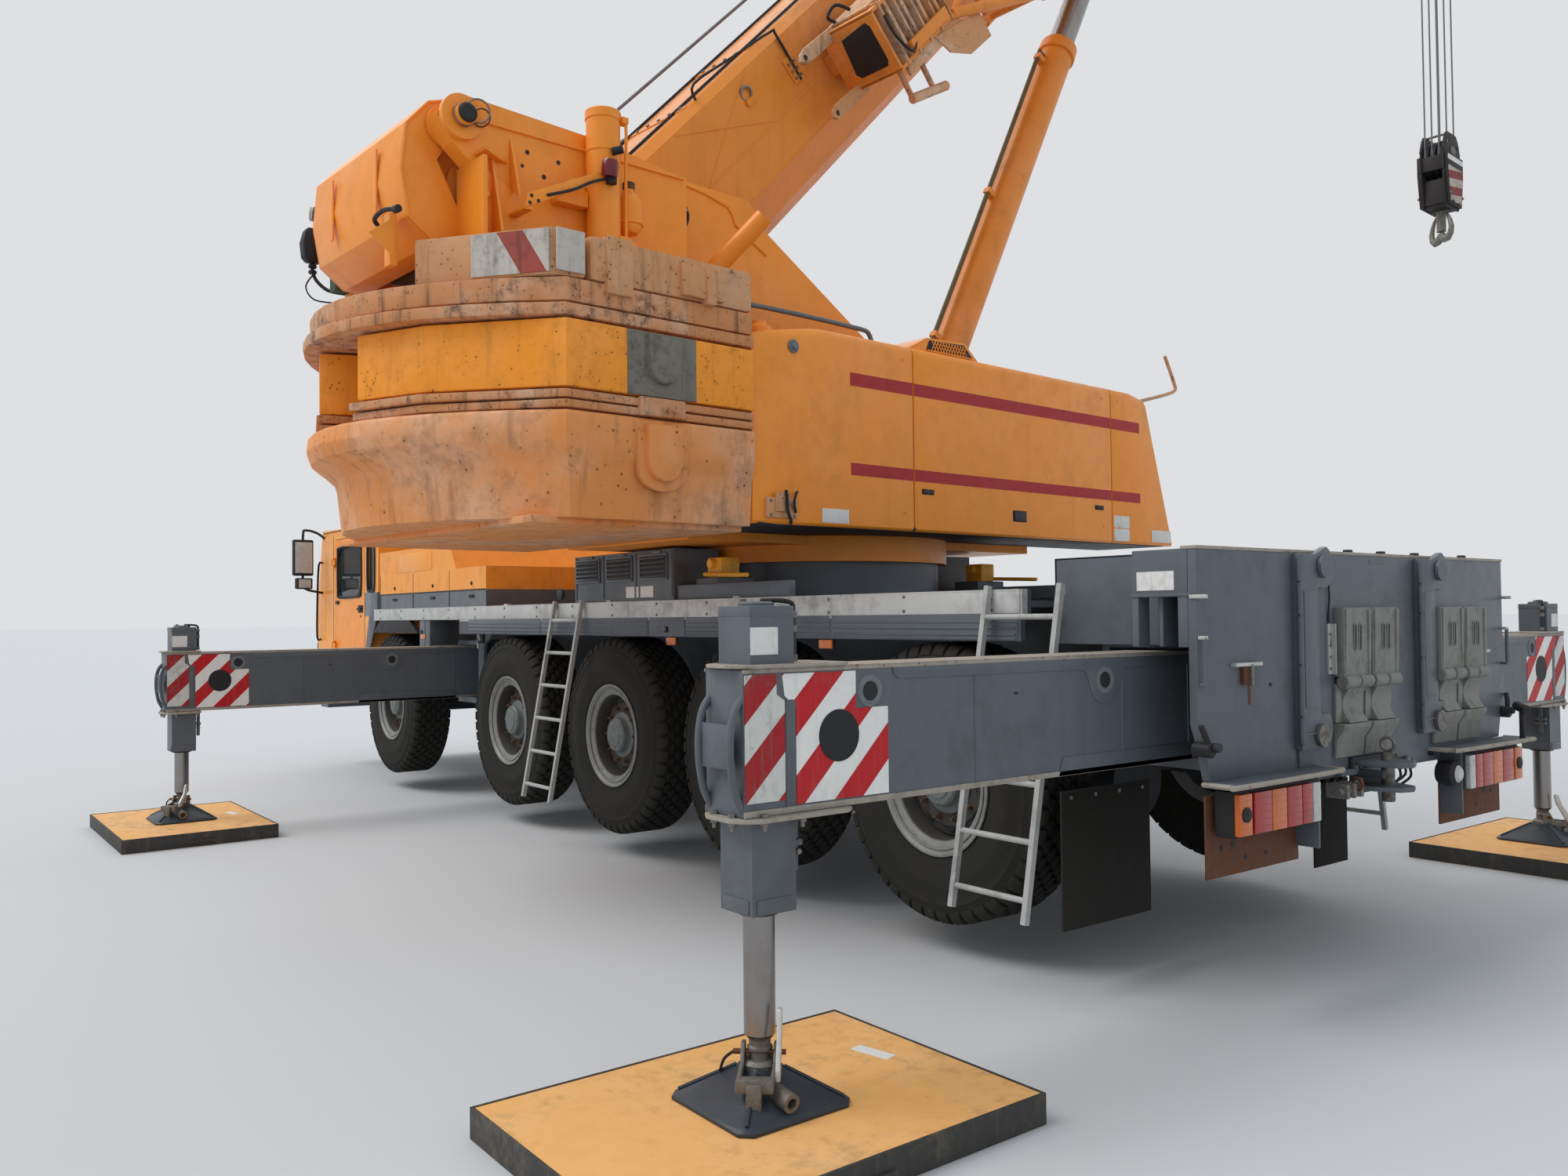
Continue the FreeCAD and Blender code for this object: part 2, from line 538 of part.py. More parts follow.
def build_tail():
    """Rear wall, the shell over the rear box and what hangs on the wall."""
    wall = block("RearWall", (s.wall_back, s.wall_back + s.wall_thick), (-s.carrier_half, s.carrier_half),
                 (s.wall_bottom, s.tail_top))
    shell = block("TailShell", (s.wall_back + s.wall_thick, s.tail_front), (-s.carrier_half, s.carrier_half),
                  (s.tail_bottom, s.tail_top))
    cuts = [block("TailHollow", (s.wall_back + s.wall_thick + s.shell_wall, s.tail_front - s.shell_wall),
                  (-s.box_half, s.box_half), (s.tail_bottom - 10, s.tail_top - s.shell_wall))]
    for word, side, lane in lanes("rear"):
        y = ordered(side * (s.stowed_reach - 160), side * (s.carrier_half + 10))
        cuts.append(block(f"JackPocket{word}", (lane - 140, lane + 140), y,
                          (s.tail_bottom - 10, s.tail_bottom + 190)))
    cuts.append(block("TailFrameCut", (s.tail_front - s.shell_wall - 10, s.tail_front + 10),
                      (-s.frame_half - s.seat, s.frame_half + s.seat), (s.tail_bottom - 10, s.frame_top + s.seat)))
    low_cuts = [block("WallPassage", (s.wall_back - 10, s.wall_back + s.wall_thick + 10),
                      (-200, 200), (s.wall_bottom - 10, s.wall_bottom + 60))]
    tail = minus("Tail", union("TailRaw", [wall, shell]), cuts + low_cuts)
    coupling = [block("CouplingPlate", (s.wall_back - 40, s.wall_back), (-130, 250),
                      (s.wall_bottom - 90, s.wall_bottom + 30)),
                round_bar("CouplingEye", "z", (s.wall_back - 100, 60, s.wall_bottom - 80), 70, 110)]
    fittings = []
    for word, side in SIDES:
        fittings.append(block(f"LampShelf{word}", (s.wall_back - s.shelf_reach, s.wall_back),
                              ordered(side * (s.lamp_inner - 100), side * (s.lamp_outer + 60)),
                              (s.lamp_top, s.lamp_top + 30)))
        fittings.append(block(f"LampBox{word}", (s.wall_back - 110, s.wall_back),
                              ordered(side * s.lamp_inner, side * s.lamp_outer),
                              (s.lamp_bottom, s.lamp_top + 5)))
        fittings.append(block(f"HolePlate{word}", (s.wall_back + 10, s.wall_back + 18),
                              ordered(side * (s.lamp_inner + 20), side * (s.lamp_outer + 30)),
                              (600, s.wall_bottom + 20)))
    for label, low, high in (("Near", -270, 350), ("Far", -1290, -655)):
        fittings.append(plate(f"Chock{label}", "xz", [
            (s.wall_back, s.chock_bottom), (s.wall_back, s.chock_top),
            (s.wall_back - 50, s.chock_top), (s.wall_back - s.chock_depth, s.chock_bottom + 60),
            (s.wall_back - s.chock_depth, s.chock_bottom)], low, high))
    node("tail_frame", "carrier", [tail] + coupling + fittings)


def build_outriggers():
    """Four sliding beams with their jack housings, and the four jacks with their feet."""
    for end in ("front", "rear"):
        for word, side, lane in lanes(end):
            reach = reach_of(end, word)
            bottom = getattr(s, f"{end}_beam_bottom")
            tag = f"{end}{word}"
            y = ordered(side * (reach - s.beam_length), side * (reach + s.housing_width / 2))
            beam = block(f"Beam{tag}", (lane - s.beam_width / 2, lane + s.beam_width / 2), y,
                         (bottom, bottom + s.beam_height))
            hollow_y = ordered(side * (reach - s.beam_length - 5), side * (reach - s.housing_width))
            hollow = block(f"BeamHollow{tag}", (lane - s.beam_width / 2 + s.beam_wall,
                                                lane + s.beam_width / 2 - s.beam_wall), hollow_y,
                           (bottom + s.beam_wall, bottom + s.beam_height - s.beam_wall))
            top = bottom + s.beam_height + s.housing_rise
            half = s.housing_width / 2
            case = block(f"Case{tag}", (lane - half, lane + half),
                         (side * reach - half, side * reach + half),
                         (s.housing_bottom + bottom - s.rear_beam_bottom, top))
            bore = round_bar(f"CaseBore{tag}", "z", (lane, side * reach, s.housing_bottom - 200),
                             s.jack_radius + s.seat, top - 20 - s.housing_bottom + 200)
            node(f"outrigger_beam_{end}_{word}", "carrier",
                 [minus(f"Outrigger{tag}", union(f"OutriggerRaw{tag}", [beam, case]), [hollow, bore])])
            jack = round_bar(f"Jack{tag}", "z", (lane, side * reach, s.mat_thick + s.foot_thick),
                             s.jack_radius, top - 40 - s.jack_lift - s.mat_thick - s.foot_thick)
            socket = cone(f"Socket{tag}", "z", (lane, side * reach, s.mat_thick + s.foot_thick - 2),
                          s.foot_socket + 60, s.foot_socket, s.socket_rise)
            foot = block(f"Foot{tag}", (lane - s.foot_size / 2, lane + s.foot_size / 2),
                         (side * reach - s.foot_size / 2, side * reach + s.foot_size / 2),
                         (s.mat_thick, s.mat_thick + s.foot_thick))
            node(f"jack_{end}_{word}", "carrier", [jack, socket, foot])


def build_mats():
    """Four spreader mats under the feet."""
    mats = []
    for end in ("front", "rear"):
        for word, side, lane in lanes(end):
            reach = reach_of(end, word)
            long_x, long_y = (s.mat_long, s.mat_wide) if end == "front" else (s.mat_wide, s.mat_long)
            mats.append(block(f"Mat{end}{word}", (lane - long_x / 2, lane + long_x / 2),
                              (side * reach - long_y / 2, side * reach + long_y / 2),
                              (0, s.mat_thick)))
    node("mats", "carrier", mats, joined=False)


def build_carrier_cab():
    """Hollow two-door cab with its windows cut, and both doors."""
    outline = [(s.cab_back, s.cab_roof - 40), (s.cab_back, s.frame_top + 60),
               (s.cab_step, s.frame_top + 60), (s.cab_step, s.cab_floor),
               (s.cab_front, s.cab_floor), (s.cab_front + 20, s.cab_floor + 760),
               (s.cab_front - 190, s.cab_roof)]
    outer = plate("CabOuter", "xz", outline, -s.cab_half, s.cab_half)
    inner = plate("CabInner", "xz", [
        (s.cab_back + s.cab_wall, s.cab_roof - s.cab_wall - 40), (s.cab_back + s.cab_wall, s.frame_top + 60 + s.cab_wall),
        (s.cab_step + s.cab_wall, s.frame_top + 60 + s.cab_wall), (s.cab_step + s.cab_wall, s.cab_floor + s.cab_wall),
        (s.cab_front - s.cab_wall, s.cab_floor + s.cab_wall), (s.cab_front + 20 - s.cab_wall, s.cab_floor + 760),
        (s.cab_front - 190 - s.cab_wall, s.cab_roof - s.cab_wall)],
        -s.cab_half + s.cab_wall, s.cab_half - s.cab_wall)
    screen = block("ScreenHole", (s.cab_front - 350, s.cab_front + 100), (-s.cab_half + 110, s.cab_half - 110),
                   (s.cab_floor + 830, s.cab_roof - 150))
    rear = block("RearHole", (s.cab_back - 20, s.cab_back + s.cab_wall + 20), (-700, 700),
                 (s.housing_high + 40, s.cab_roof - 130))
    cuts = [inner, screen, rear]
    for word, side in SIDES:
        y = ordered(side * (s.cab_half - s.cab_wall - 20), side * (s.cab_half + 20))
        cuts.append(block(f"DoorHole{word}", (s.door_back - s.panel_gap, s.door_front + s.panel_gap), y,
                          (s.door_sill - s.panel_gap, s.door_head + s.panel_gap)))
        cuts.append(block(f"QuarterHole{word}", (s.cab_back + 110, s.door_back - 110), y,
                          (s.cab_floor + 960, s.cab_roof - 160)))
    hinges = []
    for word, side in SIDES:
        y = ordered(side * (s.cab_half - s.door_thick), side * s.cab_half)
        leaf = block(f"Leaf{word}", (s.door_back, s.door_front), y, (s.door_sill, s.door_head))
        glass = block(f"LeafHole{word}", (s.door_back + 90, s.door_front - 90),
                      ordered(side * (s.cab_half - s.door_thick - 5), side * (s.cab_half + 5)), (s.cab_floor + 900, s.door_head - 90))
        pin_x, pin_y = s.door_front + 5, side * (s.cab_half + s.hinge_out)
        plate_y = ordered(side * (s.cab_half - 2), side * (s.cab_half + s.hinge_out + 12))
        tab_y = ordered(side * (s.cab_half + 5), side * (s.cab_half + s.hinge_out + 12))
        ears, tabs = [], []
        for i, level in enumerate((s.door_sill + 250, s.door_head - 250)):
            ears.append(block(f"EarRoot{word}{i}", (s.door_front - 60, s.door_front),
                              ordered(side * (s.cab_half - 1), side * (s.cab_half + s.hinge_out + 10)),
                              (level - 30, level + 30)))
            ears.append(round_bar(f"EarKnuckle{word}{i}", "z", (pin_x, pin_y, level - 30),
                                  s.hinge_knuckle, 60))
            for k, low in enumerate((level - 54, level + 34)):
                tabs.append(block(f"Tab{word}{i}{k}", (pin_x, s.door_front + 70), tab_y, (low, low + 20)))
                tabs.append(round_bar(f"TabKnuckle{word}{i}{k}", "z", (pin_x, pin_y, low),
                                      s.hinge_knuckle, 20))
            tabs.append(block(f"TabPlate{word}{i}", (s.door_front + 30, s.door_front + 70), plate_y,
                              (level - 54, level + 54)))
            tabs.append(round_bar(f"HingePin{word}{i}", "z", (pin_x, pin_y, level - 50), s.hinge_pin, 100))
        hinges += tabs
        hole = round_bar(f"EarHole{word}", "z", (pin_x, pin_y, s.door_sill), s.hinge_pin + s.seat,
                         s.door_head - s.door_sill)
        node(f"cab_door_{word}", "carrier", [
            minus(f"CabDoor{word}", union(f"DoorRaw{word}", [leaf] + ears), [glass, hole])])
    node("cab", "carrier", [minus("CabShell", outer, cuts)] + hinges)


def build_upper_frame():
    """Turntable with its two side plates and the rear arms that carry the counterweight."""
    disc = round_bar("Turntable", "z", (0, 0, s.ring_top + s.turntable_gap), s.turntable_radius,
                     s.turntable_top - s.ring_top - s.turntable_gap)
    floor = block("UpperFloor", (s.plate_rear, s.plate_front + 300), (-s.cover_inner - 40, s.cover_inner + 40),
                  (s.turntable_top - 60, s.turntable_top))
    pieces = [disc, floor]
    side_line = [
        (s.plate_rear, s.turntable_top - 20), (s.plate_front, s.turntable_top - 20),
        (s.plate_front, s.turntable_top + 650), (50, 3600), (-860, 4170), (-1010, 4350),
        (-2100, 4360), (-3080, 4330), (-3250, 4230), (-3250, 3880),
        (-2950, 3720), (-2650, 3600), (-2100, 3300), (s.plate_rear, 3000)]
    for word, side in SIDES:
        y = ordered(side * s.plate_inner, side * (s.plate_inner + s.plate_thick))
        pieces.append(plate(f"SidePlate{word}", "xz", side_line, *y))
        arm_y = ordered(side * s.arm_inner, side * (s.arm_inner + s.arm_thick))
        pieces.append(plate(f"RearArm{word}", "xz", [
            (-1700, 3640), (-1700, 4250), (-2300, 4330), (s.lug_x, s.lug_z + s.lug_radius),
            (s.lug_x - s.lug_radius, s.lug_z), (s.lug_x - 40, s.lug_z - s.lug_radius),
            (-2950, 3900), (-2800, 3640)], *arm_y))
        pieces.append(block(f"ArmWeb{word}", (-2780, -1700),
                            ordered(side * (s.plate_inner + 20), side * (s.arm_inner + 20)),
                            (3640, 3700)))
        pin_y = ordered(side * (s.arm_inner - 60), side * (s.arm_inner + s.arm_thick + 90))
        pieces.append(round_bar(f"LugPin{word}", "y", (s.lug_x, pin_y[0], s.lug_z), s.lug_pin,
                                (pin_y[1]) - (pin_y[0])))
        pieces.append(round_bar(f"Ram{word}", "z", (s.ram_x, side * (s.arm_inner + s.arm_thick + s.ram_radius - 20),
                                                   s.blocks_top + s.seat), s.ram_radius,
                                s.ram_top - s.blocks_top - s.seat))
    for word, side in SIDES:
        stub = ordered(side * (s.plate_inner + s.plate_thick), side * (s.drum_half - 50))
        pieces.append(round_bar(f"DrumStub{word}", "y", (s.winch_x, stub[0], s.winch_z), 60,
                                (stub[1]) - (stub[0])))
        pieces.append(round_bar(f"DrumBoss{word}", "y", (
            s.winch_x, side * (s.plate_inner + s.plate_thick + 15) - 15, s.winch_z), 130, 30))
    outer = s.plate_inner + s.plate_thick + 30
    pieces.append(round_bar("FootPin", "y", (s.foot_x, -outer, s.foot_z), s.foot_pin, 2 * outer))
    for word, side in SIDES:
        stub = ordered(side * s.stub_end, side * outer)
        pieces.append(round_bar(f"CylinderStub{word}", "y", (s.cylinder_foot_x, stub[0], s.cylinder_foot_z),
                                s.cylinder_pin, (stub[1]) - (stub[0])))
        pieces.append(round_bar(f"StubBoss{word}", "y", (
            s.cylinder_foot_x, side * (s.plate_inner + s.plate_thick + 12) - 12, s.cylinder_foot_z), 130, 24))
    node("upper_frame", "upper", pieces)


def build_covers():
    """Panelled housing along the right of the upper works, and the tank housing on its left."""
    body = plate("RightCover", "xz", [
        (s.cover_rear, s.cover_bottom), (s.cover_front, s.cover_bottom), (s.cover_toe, s.cover_bottom + 20),
        (s.cover_front, s.cover_top - 60), (s.cover_front - 450, s.cover_top), (s.cover_rear, s.cover_top)],
        -s.cover_side, -s.cover_inner)
    tank = block("LeftCover", (s.cover_rear, s.upper_cab_rear - 40), (s.cover_inner, s.cover_side),
                 (s.cover_bottom, s.cover_top - 350))
    node("side_covers", "upper", [body, tank], joined=False)


def build_counterweight():
    """Stack of cast slabs with a rounded rear face."""
    pieces = []
    middle = (s.slab_top + s.heavy_bottom) / 2
    third = (s.stack_top - s.heavy_top) / 3
    layers = [
        ("Slab", s.weight_bottom, s.slab_top, s.slab_bulge, 0),
        ("LowPlate", s.slab_top + s.seam, middle - s.seam / 2, s.plates_bulge, 0),
        ("MidPlate", middle + s.seam / 2, s.heavy_bottom - s.seam, s.plates_bulge, 6),
        ("Heavy", s.heavy_bottom, s.heavy_top, s.plates_bulge, 0),
        ("UpperPlate", s.heavy_top + s.seam, s.heavy_top + third, s.plates_bulge, 0),
        ("HighPlate", s.heavy_top + third + s.seam, s.heavy_top + 2 * third, s.plates_bulge, 5),
        ("TopPlate", s.heavy_top + 2 * third + s.seam, s.stack_top, s.plates_bulge, 0),
        ("Core", s.weight_bottom + 10, s.stack_top - 10, s.slab_bulge, s.seam_depth)]
    for word, low, high, bulge, inset in layers:
        half, corner = s.weight_half - inset, s.weight_corner + inset
        radius = (half ** 2 + bulge ** 2) / (2 * bulge)
        pieces.append(plate(f"Weight{word}", "xy", [
            (s.weight_front, -half), (s.weight_front, half), (corner, half), (corner, -half, radius)],
            low, high))
    for word, side in SIDES:
        for label, level in (("Low", s.slab_top - 170), ("High", s.heavy_top - 130)):
            y = ordered(side * (s.weight_half - 5), side * (s.weight_half + 55))
            pieces.append(round_bar(f"WeightLug{label}{word}", "y", (s.weight_lug_x, y[0], level),
                                    s.weight_lug_radius, y[1] - y[0]))
    for word, side in SIDES:
        y = ordered(side * (s.weight_half - 10), side * (s.arm_inner + s.arm_thick + 30))
        pieces.append(block(f"TopBlock{word}", (s.weight_corner + 260, s.weight_front), y,
                            (s.stack_top - 5, s.blocks_top)))
    notch = block("WeightNotch", (s.notch_rear, s.weight_front + 10), (-s.notch_half, s.notch_half),
                  (s.slab_top, s.blocks_top + 10))
    slot = block("WeightSlot", (s.weight_corner - 900, s.weight_corner - s.slab_bulge + 190),
                 (-s.rear_slot, s.rear_slot), (s.slab_top + s.seam, s.stack_top + 10))
    node("counterweight", "upper", [minus("WeightStack", union("WeightRaw", pieces), [notch, slot])])


def build_winch():
    """Hoist drum between the side plates."""
    barrel = round_bar("DrumBarrel", "y", (s.winch_x, -s.drum_half, s.winch_z), s.drum_radius, 2 * s.drum_half)
    flanges = [round_bar(f"DrumFlange{word}", "y",
                         (s.winch_x, side * (s.drum_half - 15) - 15, s.winch_z), s.drum_flange, 30)
               for word, side in SIDES]
    bore = round_bar("DrumBore", "y", (s.winch_x, -s.drum_half - 10, s.winch_z), 60 + s.seat, 2 * s.drum_half + 20)
    node("winch_drum", "upper", [minus("Drum", union("DrumRaw", [barrel] + flanges), [bore])])


def build_upper_cab():
    """Operator's cab on the left of the upper works with its sliding door."""
    outline = [(s.upper_cab_rear, s.upper_cab_floor), (s.upper_cab_front - 300, s.upper_cab_floor),
               (s.upper_cab_front, s.upper_cab_floor + 420), (s.upper_cab_front - 250, s.upper_cab_roof - 60),
               (s.upper_cab_front - 380, s.upper_cab_roof), (s.upper_cab_rear, s.upper_cab_roof)]
    wall = s.upper_cab_wall
    outer = plate("OperatorOuter", "xz", outline, s.upper_cab_inner, s.upper_cab_outer)
    inner = plate("OperatorInner", "xz", [
        (s.upper_cab_rear + wall, s.upper_cab_floor + wall),
        (s.upper_cab_front - 300 - wall / 2, s.upper_cab_floor + wall),
        (s.upper_cab_front - wall, s.upper_cab_floor + 430),
        (s.upper_cab_front - 250 - wall, s.upper_cab_roof - 90),
        (s.upper_cab_front - 380 - wall, s.upper_cab_roof - wall),
        (s.upper_cab_rear + wall, s.upper_cab_roof - wall)],
        s.upper_cab_inner + wall, s.upper_cab_outer - wall)
    cuts = [inner,
            block("OperatorScreen", (s.upper_cab_front - 330, s.upper_cab_front + 60),
                  (s.upper_cab_inner + 90, s.upper_cab_outer - 90),
                  (s.upper_cab_floor + 520, s.upper_cab_roof - 170)),
            block("OperatorSide", (s.upper_cab_rear + 250, s.upper_cab_front - 420),
                  (s.upper_cab_inner - 10, s.upper_cab_inner + wall + 10),
                  (s.upper_cab_floor + 620, s.upper_cab_roof - 170)),
            block("OperatorRoof", (s.upper_cab_rear + 500, s.upper_cab_front - 560),
                  (s.upper_cab_inner + 110, s.upper_cab_outer - 110),
                  (s.upper_cab_roof - 60, s.upper_cab_roof + 20)),
            block("OperatorRear", (s.upper_cab_rear - 10, s.upper_cab_rear + wall + 10),
                  (s.upper_cab_inner + 110, s.upper_cab_outer - 110),
                  (s.upper_cab_floor + 800, s.upper_cab_roof - 170)),
            block("OperatorDoorway", (s.slide_rear, s.slide_front),
                  (s.upper_cab_outer - wall - 10, s.upper_cab_outer + 10),
                  (s.upper_cab_floor + 90, s.upper_cab_roof - 120))]
    rail = block("SlideRail", (s.slide_rear - 680, s.slide_front + 30),
                 (s.upper_cab_outer - 10, s.upper_cab_outer + 44),
                 (s.upper_cab_roof - 90 + s.seat, s.upper_cab_roof - 60))
    node("operator_cab", "upper", [minus("OperatorCab", outer, cuts), rail])
    leaf = block("SlideLeaf", (s.slide_rear - 30, s.slide_front + 30),
                 (s.upper_cab_outer + 8, s.upper_cab_outer + 44),
                 (s.upper_cab_floor + 60, s.upper_cab_roof - 90))
    hole = block("SlideHole", (s.slide_rear + 60, s.slide_front - 60), (s.upper_cab_outer, s.upper_cab_outer + 60),
                 (s.upper_cab_floor + 620, s.upper_cab_roof - 180))
    node("operator_door", "upper", [minus("SlideDoor", leaf, [hole])])


def tube_line(inset):
    """Boom section outline, inset from the base section's."""
    half, top, bottom = (s.boom_half - (inset)), (s.boom_top - (inset)), (s.boom_bottom + (inset))
    shoulder = (bottom + s.boom_belly)
    return [(-half, shoulder), (-half * 0.62, bottom + s.boom_belly * 0.3),
            (-half * 0.25, bottom), (half * 0.25, bottom),
            (half * 0.62, bottom + s.boom_belly * 0.3), (half, shoulder),
            (half, top - s.boom_chamfer), (half - s.boom_chamfer, top),
            (-half + s.boom_chamfer, top), (-half, top - s.boom_chamfer)]


def hollow_section(name, inset, start, end):
    """A length of boom section with its bore."""
    outer = plate(name, "yz", tube_line(inset), start, end)
    bore = plate(name + "Bore", "yz", tube_line(inset + s.boom_wall), start - 10, end + 10)
    return minus(name + "Tube", outer, [bore])


def build_boom():
    """Base section, three telescopic sections and the head with its sheaves."""
    base = hollow_section("Base", 0, s.base_rear + 500, s.base_front)
    foot = [plate(f"BoomFoot{word}", "xz", [
        (s.base_rear, -200), (s.base_rear, s.boom_top - 200), (s.base_rear + 520, s.boom_top),
        (s.base_rear + 520, s.boom_bottom + 120), (-150, -250)],
        *ordered(side * (s.boom_half - 60), side * s.boom_half)) for word, side in SIDES]
    hole = round_bar("FootHole", "y", (0, -s.boom_half - 10, 0), s.foot_pin + s.seat, 2 * s.boom_half + 20)
    eye = [block(f"EyePlate{word}", (s.eye_x - 400, s.eye_x + 250),
                 ordered(side * 130, side * 180),
                 (s.eye_drop - 130, s.boom_bottom + 20)) for word, side in SIDES]
    collar = minus("Collar", block("CollarBlock", (s.base_front - 260, s.base_front),
                                   (-s.boom_half - 30, s.boom_half + 30), (s.boom_bottom - 30, s.boom_top + 30)),
                   [plate("CollarBore", "yz", tube_line(s.boom_wall), s.base_front - 300, s.base_front + 40)])
    eye_pin = round_bar("EyePin", "y", (s.eye_x, -190, s.eye_drop), s.cylinder_pin, 380)
    node("boom_base", "boom", [minus("BoomBase", union("BoomBaseRaw", [base, collar] + foot), [hole])] + eye
         + [eye_pin])
    for number, word in enumerate(("one", "two", "three"), start=1):
        inset = number * (s.boom_wall + s.section_gap)
        end = (s.base_front + number * (s.section_out + s.section_step))
        tube = hollow_section(f"Section{word}", inset, end - s.section_length, end)
        collar = minus(f"Collar{word}", block(
            f"CollarBlock{word}", (end - s.collar_length, end),
            (-s.boom_half + inset - s.collar_rise, s.boom_half - inset + s.collar_rise),
            (s.boom_bottom + inset - s.collar_rise, s.boom_top - inset + s.collar_rise)), [
            plate(f"CollarBore{word}", "yz", tube_line(inset + s.boom_wall), end - 200, end + 20)])
        pieces = [tube, collar] + wear_pads(word, inset, end - s.section_length)
        if word == "three":
            pieces += head_pieces(end)
        node(f"boom_section_{word}", "boom", pieces)


def wear_pads(word, inset, start):
    """Sliding pads over and under the rear end of a section."""
    span = (start + 60, start + 360)
    top, bottom = (s.boom_top - (inset)), (s.boom_bottom + (inset))
    return [block(f"PadTop{word}", span, (-180, 180), (top - 2, top + s.section_gap - s.seat)),
            block(f"PadLow{word}", span, (-70, 70), (bottom - s.section_gap + s.seat, bottom + 2))]


def head_pieces(end):
    """Head plates and sheaves at the end of the last section."""
    out = 3 * s.section_out
    centre = (s.head_x + out)
    pieces = [plate(f"HeadPlate{word}", "xz", [
        (end - 60, s.boom_bottom + 90), (centre - 120, s.head_drop - 150),
        (centre + 160, s.head_drop - 100), (centre + 260, s.head_drop + 180),
        (centre + 260, s.boom_top - 220), (end - 60, s.boom_top - 80)],
        *ordered(side * 300, side * 330)) for word, side in SIDES]
    pieces.append(round_bar("HeadPin", "y", (centre, -345, s.head_drop), 55, 690))
    pieces.append(block("HeadWeb", (end - 60, end + 20), (-332, 332),
                        (s.boom_bottom + 90, s.boom_top - 80)))
    for i in range(int(s.sheave_count.value)):
        pieces.append(round_bar(f"Sheave{i}", "y",
                                (centre, (i - (s.sheave_count - 1) / 2) * s.sheave_pitch - s.sheave_width / 2,
                                 s.head_drop), s.sheave_radius, s.sheave_width))
    return pieces


def build_cylinder():
    """Luffing cylinder: rod hinged on the boom, barrel sliding on it with its foot between two stubs."""
    barrel = minus("Barrel", union("BarrelRaw", [
        round_bar("BarrelTube", "x", (0, 0, 0), s.barrel_radius, s.barrel_length),
        round_bar("BarrelGland", "x", (s.barrel_length - 120, 0, 0), s.barrel_radius + 14, 120),
        round_bar("BarrelEye", "y", (0, 10 - s.stub_end, 0), s.barrel_radius, 2 * s.stub_end - 20)]), [
        round_bar("BarrelBore", "x", (300, 0, 0), s.rod_radius + s.seat, s.barrel_length),
        round_bar("BarrelPinHole", "y", (0, -s.stub_end, 0), s.cylinder_pin + s.seat, 2 * s.stub_end)])
    node("luff_barrel", "cylinder", [barrel])
    reach = rod_reach()
    rod = minus("Rod", union("RodRaw", [
        round_bar("RodBar", "x", (reach - s.rod_inside, 0, 0), s.rod_radius, s.rod_inside - 80),
        round_bar("RodEye", "y", (reach, -110, 0), s.eye_radius, 220)]), [
        round_bar("RodPinHole", "y", (reach, -120, 0), s.cylinder_pin + s.seat, 240)])
    node("luff_rod", "cylinder", [rod])


def rod_reach():
    """Distance from the cylinder's foot pin to the pin on the boom."""
    rise, lean = sine(s.boom_angle), cosine(s.boom_angle)
    across = s.foot_x + s.eye_x * lean - s.eye_drop * rise - s.cylinder_foot_x
    upward = s.foot_z + s.eye_x * rise + s.eye_drop * lean - s.cylinder_foot_z
    return (across ** 2 + upward ** 2) ** 0.5


def hook_frame():
    """Upright frame under the head, with its origin on the ground."""
    angle = math.radians(s.boom_angle.value)
    along = s.head_x.value + 3 * s.section_out.value
    x = s.foot_x.value + along * math.cos(angle) - s.head_drop.value * math.sin(angle)
    return SLEW * FreeCAD.Placement(V(x, 0, 0), FreeCAD.Rotation())


def build_hook():
    """Rope falls, and the hook block with its ramshorn hook."""
    top = (s.foot_z + (s.head_x + 3 * s.section_out) * sine(s.boom_angle)
           + s.head_drop * cosine(s.boom_angle))
    falls = []
    for i in range(int(s.sheave_count.value)):
        across = (i - (s.sheave_count - 1) / 2) * s.sheave_pitch
        for word, side in SIDES:
            falls.append(round_bar(f"Fall{i}{word}", "z",
                                   (side * (s.sheave_radius + s.falls_radius + s.seat), across,
                                    s.block_top - 340), s.falls_radius, top - s.block_top + 340))
    node("hook_falls", hook_frame(), falls, joined=False)
    low = s.block_top - s.block_height
    cheeks = [block(f"Cheek{word}", (-s.block_width / 2, s.block_width / 2),
                    ordered(side * s.block_thick / 2, side * (s.block_thick / 2 - 40)),
                    (low + 180, s.block_top)) for word, side in SIDES]
    cross = block("CrossHead", (-130, 130), (-s.block_thick / 2, s.block_thick / 2), (low, low + 200))
    wheels = [round_bar(f"BlockSheave{i}", "y",
                        (0, (i - (s.sheave_count - 1) / 2) * s.sheave_pitch - 25, s.block_top - 340),
                        s.sheave_radius, 50) for i in range(int(s.sheave_count.value))]
    pin = round_bar("BlockPin", "y", (0, -s.block_thick / 2 - 20, s.block_top - 340), 50, s.block_thick + 40)
    shank = round_bar("HookShank", "z", (0, 0, low - 200), 55, 210)
    horns = [ring_part(f"Horn{word}", (side * s.hook_ring, 0, low - 190), s.hook_ring, s.hook_thick, 180)
             for word, side in SIDES]
    node("hook_block", hook_frame(), cheeks + [cross, pin, shank] + wheels + horns)


